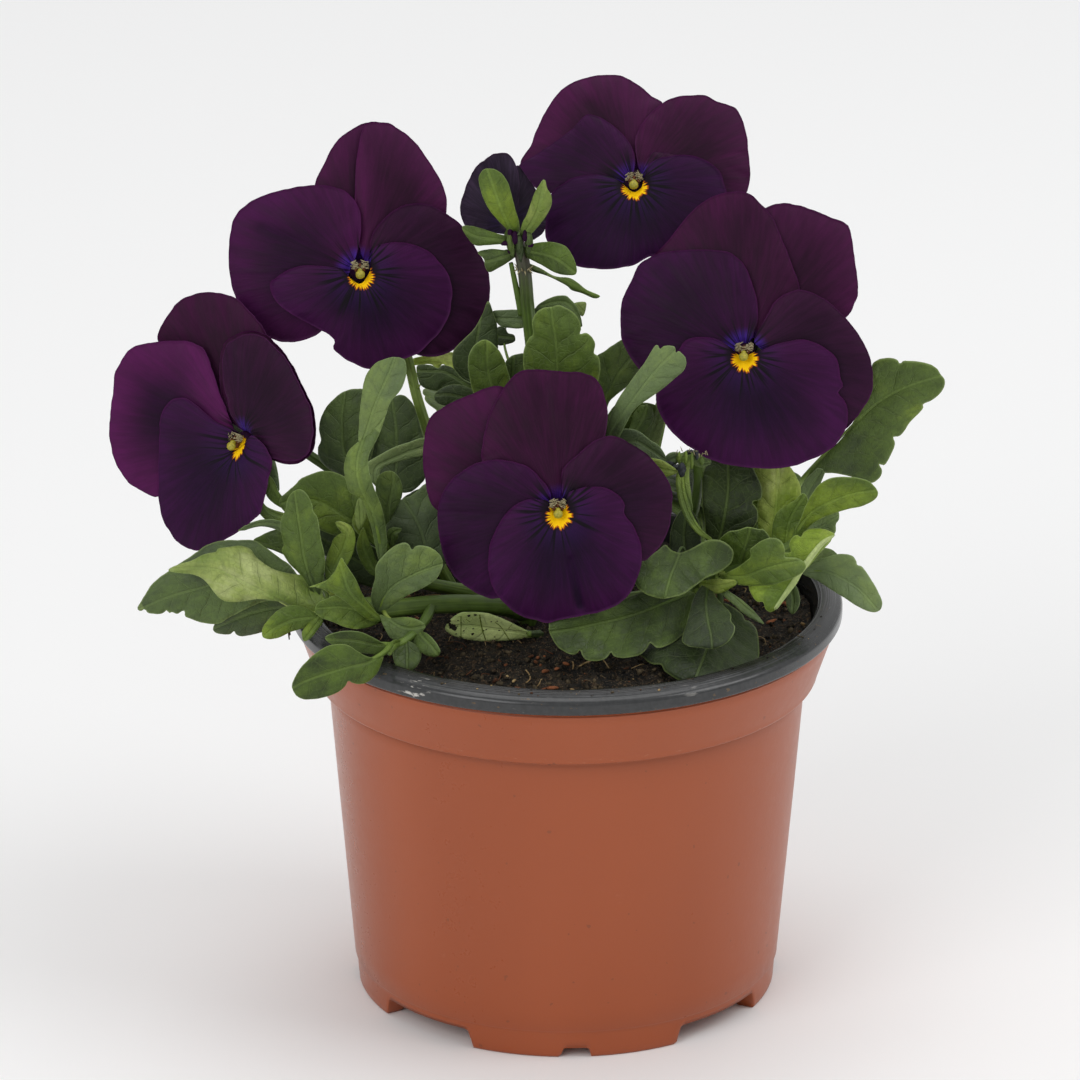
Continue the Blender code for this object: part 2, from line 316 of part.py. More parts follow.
# rear shoots, not seen in the elevation: leaves by compass direction from the stem's top (degrees, 90 is straight back),
# with their rise, length, width and droop
REAR = {
    "shoot_rear_left": dict(
        stem=[(-8, 12, 76.2), (-13, 19, 82), (-16, 25, 89), (-18, 28, 97)],
        leaves=[(100, 45, 24, 14, 70), (158, 30, 26, 15, 60), (48, 35, 24, 14, 60), (205, 40, 22, 13, 55), (128, 25, 24, 15, 45), (70, 30, 22, 14, 45), (185, 38, 20, 12, 55), (82, 38, 20, 12, 55), (132, 42, 19, 12, 60)],
    ),
    "shoot_rear_right": dict(
        stem=[(24, 12, 76.2), (27, 19, 82), (29, 24, 88), (30, 27, 95)],
        leaves=[(85, 45, 24, 14, 70), (28, 30, 25, 15, 60), (122, 35, 15, 11, 60), (-18, 35, 19, 12, 55), (58, 30, 22, 14, 45), (112, 30, 22, 14, 45), (8, 38, 17, 11, 55), (100, 38, 20, 12, 55), (66, 42, 18, 11, 60)],
    ),
}


# ---------------------------------------------------------------- scene
def clear_scene():
    for obj in list(bpy.data.objects):
        bpy.data.objects.remove(obj, do_unlink=True)


def new_collection(name):
    made = bpy.data.collections.new(name)
    bpy.context.scene.collection.children.link(made)
    return made


def material(name, colour, roughness, metallic=0.0):
    """colour in sRGB bytes"""
    made = bpy.data.materials.new(name)
    made.use_nodes = True
    shader = made.node_tree.nodes["Principled BSDF"]
    linear = [((c / 255 + 0.055) / 1.055) ** 2.4 if c > 10 else c / 255 / 12.92 for c in colour]
    shader.inputs["Base Color"].default_value = (*linear, 1.0)
    shader.inputs["Roughness"].default_value = roughness
    shader.inputs["Metallic"].default_value = metallic
    made.diffuse_color = (*linear, 1.0)
    return made


def mesh_object(name, verts, faces, mat, home):
    mesh = bpy.data.meshes.new(name)
    mesh.from_pydata([tuple(float(c) * 0.001 for c in v) for v in verts], [], faces)
    mesh.update()
    mesh.shade_smooth()
    obj = bpy.data.objects.new(name, mesh)
    home.objects.link(obj)
    mesh.materials.append(mat)
    return obj


def solidify(obj, thick):
    mod = obj.modifiers.new("Thickness", "SOLIDIFY")
    mod.thickness = thick * 0.001
    mod.offset = 0.0
    return mod


def as_cutter(obj):
    obj.hide_render = True
    obj.display_type = "WIRE"


def boolean(obj, other, operation):
    mod = obj.modifiers.new(other.name, "BOOLEAN")
    mod.operation = operation
    mod.solver = "EXACT"
    mod.object = other
    return mod


def grid_faces(rows, columns):
    return [
        (i * columns + j, i * columns + j + 1, (i + 1) * columns + j + 1, (i + 1) * columns + j)
        for i in range(rows - 1)
        for j in range(columns - 1)
    ]


# ---------------------------------------------------------------- leaves
def strip(rows, margins, count):
    """Left margin, midrib and right margin of a leaf drawn in the elevation, base to tip."""
    at = smooth(rows, np.linspace(0, 1, count))
    step = np.gradient(at[:, :2], axis=0)
    step /= np.linalg.norm(step, axis=1)[:, None]
    left = np.stack([step[:, 1], -step[:, 0]], axis=1)
    widest = max(at[:, 3].max(), at[:, 4].max())
    grid = []
    for (u, v, y, wl, wr), (lu, lv) in zip(at, left):
        wl, wr = max(wl, 2.4), max(wr, 2.4)
        grid.append(
            [
                place(u + lu * wl, v + lv * wl, y + margins[0] * wl / widest),
                place(u, v, y),
                place(u - lu * wr, v - lv * wr, y + margins[1] * wr / widest),
            ]
        )
    return np.array(grid)


def leaf_object(name, rows, margins, mat, home, count=None):
    count = count or max(4, min(7, len(rows) + 1))
    grid = strip(rows, margins, count)
    obj = mesh_object(name, grid.reshape(-1, 3), grid_faces(count, 3), mat, home)
    solidify(obj, LEAF_THICK)
    return obj


def nearest_on(path, point):
    best, found = 1e9, None
    for a, b in zip(path[:-1], path[1:]):
        k = np.clip((point - a) @ (b - a) / ((b - a) @ (b - a)), 0, 1)
        q = a + (b - a) * k
        if np.linalg.norm(q - point) < best:
            best, found = np.linalg.norm(q - point), q
    return found


def blade(base, compass, rise, length, width, droop, count=5):
    """A leaf in the open: it leaves its base at a compass direction and a rise, and bends down by droop on its way."""
    point = np.array(base, float)
    out = np.array([math.cos(math.radians(compass)), math.sin(math.radians(compass)), 0])
    side = np.array([-out[1], out[0], 0])
    grid = []
    for i in range(count):
        k = i / (count - 1)
        angle = math.radians(rise - droop * k)
        half = 0.55 + (width / 2) * math.sin(math.pi * min(1, k**1.4 * 1.02)) ** 0.8 * (1 if k > 0.15 else 0.3)
        lift = np.array([0, 0, 0.18 * half])
        grid.append([point + side * half + lift, point.copy(), point - side * half + lift])
        point = point + (out * math.cos(angle) + np.array([0, 0, math.sin(angle)])) * length / (count - 1)
    return np.array(grid)


# ---------------------------------------------------------------- stems
def tube(name, points, radius, mat, home, taper=0.8):
    curve = bpy.data.curves.new(name, "CURVE")
    curve.dimensions = "3D"
    curve.bevel_depth = radius * 0.001
    curve.bevel_resolution = 2
    curve.use_fill_caps = True
    spline = curve.splines.new("POLY")
    spline.points.add(len(points) - 1)
    for i, p in enumerate(points):
        spline.points[i].co = (*(p * 0.001), 1)
        spline.points[i].radius = 1 + (taper - 1) * i / (len(points) - 1)
    made = bpy.data.objects.new(name + "_path", curve)
    home.objects.link(made)
    bpy.context.view_layer.update()
    graph = bpy.context.evaluated_depsgraph_get()
    mesh = bpy.data.meshes.new_from_object(made.evaluated_get(graph))
    solid = bmesh.new()
    solid.from_mesh(mesh)
    bmesh.ops.remove_doubles(solid, verts=solid.verts, dist=1e-6)
    bmesh.ops.recalc_face_normals(solid, faces=solid.faces)
    solid.to_mesh(mesh)
    solid.free()
    mesh.shade_smooth()
    mesh.materials.clear()
    mesh.materials.append(mat)
    obj = bpy.data.objects.new(name, mesh)
    home.objects.link(obj)
    obj.matrix_world = made.matrix_world
    bpy.data.objects.remove(made, do_unlink=True)
    return obj


def route(rows, count):
    return np.array([place(*row) for row in smooth(rows, np.linspace(0, 1, count))])


def ball(name, centre, size, mat, home):
    mesh = bpy.data.meshes.new(name)
    solid = bmesh.new()
    bmesh.ops.create_uvsphere(solid, u_segments=8, v_segments=5, radius=1.0)
    solid.to_mesh(mesh)
    solid.free()
    mesh.materials.append(mat)
    for vert in mesh.vertices:
        vert.co *= size * 0.001
    mesh.shade_smooth()
    obj = bpy.data.objects.new(name, mesh)
    obj.location = np.asarray(centre) * 0.001
    home.objects.link(obj)
    return obj


# ---------------------------------------------------------------- flowers
def face_frame(flower):
    throat = place(*flower["throat"])
    n = np.array(flower["face"], float)
    n /= np.linalg.norm(n)
    aside = np.cross([0, 0, 1.0], n)
    aside /= np.linalg.norm(aside)
    return throat, n, aside, np.cross(n, aside)


def relief(flower, across, along):
    """How far a flower's face stands forward at a place on it: all of its petals bend alike, one layer over the next."""
    bend = flower.get("bend", {})
    return (
        -flower.get("dome", DOME) * (across**2 + along**2)
        + bend.get("left", 0) * min(across, 0) ** 2
        + bend.get("right", 0) * max(across, 0) ** 2
        + bend.get("lower", 0) * min(along, 0) ** 2
        + bend.get("upper", 0) * max(along, 0) ** 2
    )


def on_face(u, v, flower, frame, layer):
    """The point of a petal's sheet that stands at (u, v)."""
    throat, n, aside, up = frame
    line = sight_line(u, v)
    middle = ((throat - EYE) @ n) / (line @ n)
    sign = 1 if line @ n < 0 else -1
    near, far = middle - 45, middle + 45
    for _ in range(24):
        half = (near + far) / 2
        d = EYE + line * half - throat
        over = d @ n - layer * LAYER - relief(flower, d @ aside, d @ up)
        if over * sign > 0:
            near = half
        else:
            far = half
    return EYE + line * half


def petal(name, flower, layer, outline, mat, home):
    frame = face_frame(flower)
    edge = closed_outline(outline, 14)
    centre = edge.mean(axis=0)
    rings = [centre + (edge - centre) * share for share in (0.55, 1.0)]
    verts = [on_face(*centre, flower, frame, layer)]
    for ring in rings:
        verts += [on_face(*p, flower, frame, layer) for p in ring]
    count = len(edge)
    faces = [(0, 1 + i, 1 + (i + 1) % count) for i in range(count)]
    faces += [
        (1 + i, 1 + count + i, 1 + count + (i + 1) % count, 1 + (i + 1) % count) for i in range(count)
    ]
    obj = mesh_object(name, verts, faces, mat, home)
    solidify(obj, PETAL_THICK)
    return obj


def stalk(name, flower_name, home, cutters, green):
    flower = FLOWERS[flower_name]
    throat, n, aside, up = face_frame(flower)
    rows = STALKS[flower_name]
    path = route(rows, 9)
    path[0, 2] = max(path[0, 2], soil_top(path[0]) + CLEAR)
    obj = tube(name, path, STALK_THICK.get(flower_name, STALK_R), green, home, 0.85)
    top = path[-1]
    others = [ball(name + "_receptacle", top, 1.9, green, cutters)]
    if flower_name == "turned_flower":
        for i, rows in enumerate(TURNED_SEPALS):
            others.append(leaf_object(f"{name}_sepal_{i}", rows, (0, 0), green, cutters, 4))
    else:
        # five narrow sepals lie along the back of the petals
        for i in range(5):
            turn = math.radians(90 + 72 * i)
            out = aside * math.cos(turn) + up * math.sin(turn)
            across = np.cross(n, out)
            grid = []
            for k, half in ((0.0, 0.9), (0.45, 1.9), (0.8, 1.4), (1.0, 0.5)):
                reach = 0.6 + 10.5 * k
                middle = top * (1 - k) + (throat - n * (3 * LAYER + 0.9)) * k if k < 0.3 else throat - n * (3 * LAYER + 0.9)
                middle = middle + out * reach + n * relief(flower, reach * math.cos(turn), reach * math.sin(turn))
                if k == 0:
                    middle = top + out * 0.6
                grid.append([middle + across * half, middle, middle - across * half])
            grid = np.array(grid)
            sepal = mesh_object(f"{name}_sepal_{i}", grid.reshape(-1, 3), grid_faces(4, 3), green, cutters)
            solidify(sepal, LEAF_THICK)
            others.append(sepal)
    for other in others:
        as_cutter(other)
        boolean(obj, other, "UNION")
    return obj


# ---------------------------------------------------------------- pot and soil
def soil_top(point):
    r = math.hypot(point[0], point[1])
    return SOIL_EDGE_Z + SOIL_MOUND * max(0.0, 1 - (r / (LIP_INNER_R - 1)) ** 2)


def wall_radius(z):
    """The inside of the pot's wall."""
    if z >= BAND_LOW_Z:
        k = (z - BAND_LOW_Z) / (LIP_TOP_Z - BAND_LOW_Z)
        return (BAND_LOW_R - WALL) + k * (LIP_INNER_R - BAND_LOW_R + WALL)
    k = (z - BODY_LOW_Z) / (BAND_LOW_Z - BODY_LOW_Z)
    return BODY_LOW_R - WALL + k * (BODY_TOP_R - BODY_LOW_R)


def turned(name, profile, steps, mat, home):
    mesh = bpy.data.meshes.new(name)
    mesh.from_pydata([(x * 0.001, 0, z * 0.001) for x, z in profile], [(i, i + 1) for i in range(len(profile) - 1)], [])
    obj = bpy.data.objects.new(name, mesh)
    mesh.materials.append(mat)
    home.objects.link(obj)
    mod = obj.modifiers.new("Turn", "SCREW")
    mod.angle = 2 * math.pi
    mod.steps = mod.render_steps = steps
    mod.use_merge_vertices = True
    mod.merge_threshold = 1e-6
    mod.use_smooth_shade = True
    return obj


def make_pot(home, cutters, terracotta):
    drain = 4.5
    profile = [
        (LIP_INNER_R, LIP_TOP_Z),
        (LIP_INNER_R + 1.6, LIP_TOP_Z + 0.25),
        (LIP_R - 1.0, LIP_TOP_Z - 0.9),
        (LIP_R, LIP_LOW_Z + 1.0),
        (LIP_R, LIP_LOW_Z),
        (LIP_R - 1.0, LIP_LOW_Z - 0.9),
        (BAND_LOW_R + 0.5, BAND_LOW_Z + 0.6),
        (BAND_LOW_R - 0.2, BAND_LOW_Z),
        (BODY_TOP_R, BAND_LOW_Z - 0.4),
        (BODY_LOW_R, BODY_LOW_Z),
        (FOOT_R + 0.4, BODY_LOW_Z - 0.5),
        (FOOT_R, 0.5),
        (FOOT_R - 0.5, 0.0),
        (FOOT_INNER_R, 0.0),
        (FOOT_INNER_R - 0.6, BASE_UNDER_Z),
        (drain, BASE_UNDER_Z),
        (drain, BASE_UNDER_Z + WALL),
        (BODY_LOW_R - WALL - 0.6, BASE_UNDER_Z + WALL),
        (BODY_LOW_R - WALL, BODY_LOW_Z + 1.0),
        (BODY_TOP_R - WALL, BAND_LOW_Z - 1.6),
        (BAND_LOW_R - WALL, BAND_LOW_Z),
        (LIP_INNER_R, LIP_TOP_Z),
    ]
    pot = turned("pot", profile, 40, terracotta, home)
    # four gaps between the feet, each under a rounded shoulder, and a small arch in the middle of each foot
    for i in range(4):
        for kind, half, top in (("gap", 15.0, FOOT_GAP_Z), ("arch", 2.6, 2.0)):
            at = math.radians(-90 + 2.5 + 90 * i + (45 if kind == "gap" else 0))
            reach = FOOT_R * math.sin(math.radians(half)) if kind == "gap" else half
            solid = bmesh.new()
            corners = [(-reach, -3.0), (reach, -3.0), (reach, top * 0.45), (reach * 0.88, top), (-reach * 0.88, top), (-reach, top * 0.45)]
            rings = []
            for x in (FOOT_INNER_R - 12.0, FOOT_R + 6.0):
                rings.append([solid.verts.new((x * 0.001, y * 0.001, z * 0.001)) for y, z in corners])
            solid.faces.new(rings[0][::-1])
            solid.faces.new(rings[1])
            for a in range(6):
                b = (a + 1) % 6
                solid.faces.new((rings[0][a], rings[0][b], rings[1][b], rings[1][a]))
            bmesh.ops.recalc_face_normals(solid, faces=solid.faces)
            mesh = bpy.data.meshes.new(f"{kind}_{i}")
            solid.to_mesh(mesh)
            solid.free()
            cutter = bpy.data.objects.new(f"{kind}_{i}", mesh)
            cutter.rotation_euler = (0, 0, at)
            cutters.objects.link(cutter)
            as_cutter(cutter)
            boolean(pot, cutter, "DIFFERENCE")
    return pot


def make_soil(home, peat):
    low = BASE_UNDER_Z + WALL + CLEAR
    profile = [(0, SOIL_EDGE_Z + SOIL_MOUND)]
    for r in (14.0, 28.0, 38.0):
        profile.append((r, soil_top((r, 0))))
    rim = wall_radius(SOIL_EDGE_Z) - CLEAR
    profile += [
        (rim, soil_top((rim, 0))),
        (wall_radius(BAND_LOW_Z) - CLEAR, BAND_LOW_Z + 0.4),
        (BODY_TOP_R - WALL - CLEAR - 0.1, BAND_LOW_Z - 1.9),
        (BODY_LOW_R - WALL - CLEAR - 0.1, BODY_LOW_Z + 1.4),
        (BODY_LOW_R - WALL - 1.2, low),
        (0, low),
    ]
    return turned("soil", profile, 32, peat, home)


# ---------------------------------------------------------------- assembly
def main():
    clear_scene()
    plant = new_collection("potted_horned_violet")
    cutters = new_collection("cutters")
    terracotta = material("terracotta_plastic", (158, 86, 56), 0.42)
    peat = material("peat_soil", (32, 26, 21), 0.95)
    purple = material("petal_purple", (50, 22, 50), 0.6)
    green = material("leaf_green", (80, 108, 52), 0.5)
    stem_green = material("stem_green", (98, 122, 54), 0.5)

    make_pot(plant, cutters, terracotta)
    make_soil(plant, peat)

    for flower_name, flower in FLOWERS.items():
        for side, (layer, outline) in flower["petals"].items():
            petal(f"{flower_name}_petal_{side}", flower, layer, outline, purple, plant)
        stalk(f"{flower_name}_stalk", flower_name, plant, cutters, stem_green)

    for name, (rows, left, right) in LEAVES.items():
        leaf_object(name, rows, (left, right), green, plant)

    for name, shoot in SHOOTS.items():
        paths = []
        parts = []
        for i, (rows, radius) in enumerate(shoot["stems"]):
            path = route(rows, len(rows) + 1)
            if i == 0:
                path[0, 2] = max(path[0, 2], soil_top(path[0]) + CLEAR)
            paths.append(path)
            home = plant if i == 0 else cutters
            parts.append(tube(name if i == 0 else f"{name}_branch", path, radius, stem_green if i else green, home, 0.7))
        for i, (rows, left, right) in enumerate(shoot["leaves"]):
            base = place(*rows[0][:3])
            root = min((nearest_on(path, base) for path in paths), key=lambda q: np.linalg.norm(q - base))
            start = seen(root)
            if np.linalg.norm(root - base) > 1.0:
                rows = [(*start, 2.6, 2.6)] + list(rows)
            else:
                rows = [(*start, 2.6, 2.6)] + list(rows[1:])
            parts.append(leaf_object(f"{name}_leaf_{i}", rows, (left, right), green, cutters))
        for other in parts[1:]:
            as_cutter(other)
            boolean(parts[0], other, "UNION")

    for name, shoot in REAR.items():
        path = smooth(shoot["stem"], np.linspace(0, 1, 6))
        obj = tube(name, path, 1.4, green, plant, 0.8)
        for i, (compass, rise, length, width, droop) in enumerate(shoot["leaves"]):
            base = smooth(shoot["stem"], [1 - 0.1 * i])[0]
            grid = blade(base, compass, rise, length, width, droop)
            other = mesh_object(f"{name}_leaf_{i}", grid.reshape(-1, 3), grid_faces(len(grid), 3), green, cutters)
            solidify(other, LEAF_THICK)
            as_cutter(other)
            boolean(obj, other, "UNION")

    # the whole plant is centred over the origin
    bpy.context.view_layer.update()
    graph = bpy.context.evaluated_depsgraph_get()
    low, high = np.full(3, 1e9), np.full(3, -1e9)
    for obj in plant.objects:
        done = obj.evaluated_get(graph)
        mesh = done.to_mesh()
        at = np.array([done.matrix_world @ v.co for v in mesh.vertices])
        low, high = np.minimum(low, at.min(axis=0)), np.maximum(high, at.max(axis=0))
        done.to_mesh_clear()
    centre = bpy.data.objects.new("centre", None)
    plant.objects.link(centre)
    for obj in list(plant.objects) + list(cutters.objects):
        if obj is not centre:
            obj.parent = centre
    centre.location = (-(low[0] + high[0]) / 2, -(low[1] + high[1]) / 2, 0)
    bpy.context.view_layer.update()


main()
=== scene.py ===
import json
import math

import bmesh
import bpy
import mathutils
import mathutils.geometry
import numpy as np
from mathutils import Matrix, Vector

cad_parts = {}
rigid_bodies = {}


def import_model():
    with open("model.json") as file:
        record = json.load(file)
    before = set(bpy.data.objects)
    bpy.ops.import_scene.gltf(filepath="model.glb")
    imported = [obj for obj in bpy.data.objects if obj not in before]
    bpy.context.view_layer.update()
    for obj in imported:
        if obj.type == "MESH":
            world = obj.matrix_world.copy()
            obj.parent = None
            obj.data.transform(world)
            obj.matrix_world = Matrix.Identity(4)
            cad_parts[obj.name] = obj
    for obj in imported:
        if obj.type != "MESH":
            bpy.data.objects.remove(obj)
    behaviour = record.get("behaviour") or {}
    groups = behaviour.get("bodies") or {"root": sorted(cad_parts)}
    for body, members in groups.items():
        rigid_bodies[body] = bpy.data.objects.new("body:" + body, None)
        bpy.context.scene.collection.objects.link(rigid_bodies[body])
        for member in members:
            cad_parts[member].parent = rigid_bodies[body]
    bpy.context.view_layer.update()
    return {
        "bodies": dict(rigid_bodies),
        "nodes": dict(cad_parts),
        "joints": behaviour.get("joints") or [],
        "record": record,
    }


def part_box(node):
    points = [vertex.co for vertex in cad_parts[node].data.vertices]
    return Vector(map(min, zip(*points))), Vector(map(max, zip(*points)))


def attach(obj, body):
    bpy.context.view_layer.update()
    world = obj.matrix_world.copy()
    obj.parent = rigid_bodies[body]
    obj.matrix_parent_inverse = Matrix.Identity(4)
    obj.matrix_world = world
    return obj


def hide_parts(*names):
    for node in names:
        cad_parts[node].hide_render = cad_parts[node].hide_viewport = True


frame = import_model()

low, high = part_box("pot")
# the layout below is in millimetres about the pot's axis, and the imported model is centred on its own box
SHIFT = np.array([(low.x + high.x) / 2 * 1000, (low.y + high.y) / 2 * 1000, 0.0])

# ---------------------------------------------------------------- sizes (mm)
LIP_R = 52.5
LIP_INNER_R = 48.2
LIP_TOP_Z = 78.6
LIP_LOW_Z = 75.4
BAND_LOW_Z = 63.3
BAND_LOW_R = 47.8
BODY_TOP_R = 45.4
BODY_LOW_Z = 5.6
BODY_LOW_R = 40.8
FOOT_R = 40.0
FOOT_INNER_R = 36.4
BASE_UNDER_Z = 4.2
WALL = 1.2
SOIL_EDGE_Z = 72.8
SOIL_MOUND = 2.6
LAYER = 1.25
DOME = 1 / 150.0

# ---------------------------------------------------------------- the elevation the layout is drawn in
FOCAL = 7809.0
DISTANCE = 1481.4
ELEVATION = math.radians(21.38)
AIM = np.array([-5.04, 0.0, 89.42])
AHEAD = np.array([0.0, math.cos(ELEVATION), -math.sin(ELEVATION)])
ABOVE = np.array([0.0, math.sin(ELEVATION), math.cos(ELEVATION)])
ASIDE = np.array([1.0, 0.0, 0.0])
EYE = AIM - AHEAD * DISTANCE


def sight_lines(u, v):
    u, v = np.asarray(u, float), np.asarray(v, float)
    return AHEAD + ASIDE * ((u - 540.0) / FOCAL)[..., None] - ABOVE * ((v - 540.0) / FOCAL)[..., None]


def place(u, v, y):
    """The points at depth y that stand at (u, v) in the elevation."""
    line = sight_lines(u, v)
    y = np.broadcast_to(np.asarray(y, float), line.shape[:-1])
    return EYE + line * ((y - EYE[1]) / line[..., 1])[..., None]


def seen(point):
    d = np.asarray(point) - EYE
    far = d @ AHEAD
    return np.array([540 + FOCAL * (d @ ASIDE) / far, 540 - FOCAL * (d @ ABOVE) / far, point[1]])


def smooth(rows, ts):
    c = np.asarray(rows, float)
    gap = np.diff(c[:, :3], axis=0) * np.array([1, 1, 3.0])
    s = np.concatenate([[0], np.cumsum(np.linalg.norm(gap, axis=1))])
    s /= s[-1]
    m = np.empty_like(c)
    m[1:-1] = (c[2:] - c[:-2]) / (s[2:] - s[:-2])[:, None]
    m[0] = (c[1] - c[0]) / s[1]
    m[-1] = (c[-1] - c[-2]) / (1 - s[-2])
    ts = np.asarray(ts, float)
    i = np.clip(np.searchsorted(s, ts, "right") - 1, 0, len(c) - 2)
    h = (s[i + 1] - s[i])[:, None]
    k = (ts[:, None] - s[i][:, None]) / h
    return (
        (2 * k**3 - 3 * k**2 + 1) * c[i]
        + (k**3 - 2 * k**2 + k) * h * m[i]
        + (3 * k**2 - 2 * k**3) * c[i + 1]
        + (k**3 - k**2) * h * m[i + 1]
    )


def closed_outline(points, count):
    p = np.asarray(points, float)
    a, b, c, d = np.roll(p, 1, 0), p, np.roll(p, -1, 0), np.roll(p, -2, 0)
    k = np.linspace(0, 1, 12, endpoint=False)[None, :, None]
    a, b, c, d = (q[:, None, :] for q in (a, b, c, d))
    fine = 0.5 * (2 * b + (c - a) * k + (2 * a - 5 * b + 4 * c - d) * k**2 + (3 * b - a - 3 * c + d) * k**3)
    fine = fine.reshape(-1, 2)
    fine = np.vstack([fine, fine[:1]])
    s = np.concatenate([[0], np.cumsum(np.linalg.norm(np.diff(fine, axis=0), axis=1))])
    at = np.linspace(0, s[-1], count, endpoint=False)
    return np.stack([np.interp(at, s, fine[:, 0]), np.interp(at, s, fine[:, 1])], axis=1)


def wobble(x, seed, octaves=3):
    """Smooth noise of one variable, from seeded sines."""
    rng = np.random.default_rng(seed)
    total = np.zeros_like(np.asarray(x, float))
    for o in range(octaves):
        total += rng.uniform(0.5, 1) / (o + 1) * np.sin(np.asarray(x) * rng.uniform(0.7, 1.3) * (o + 1) + rng.uniform(0, 6.28))
    return total / 1.6


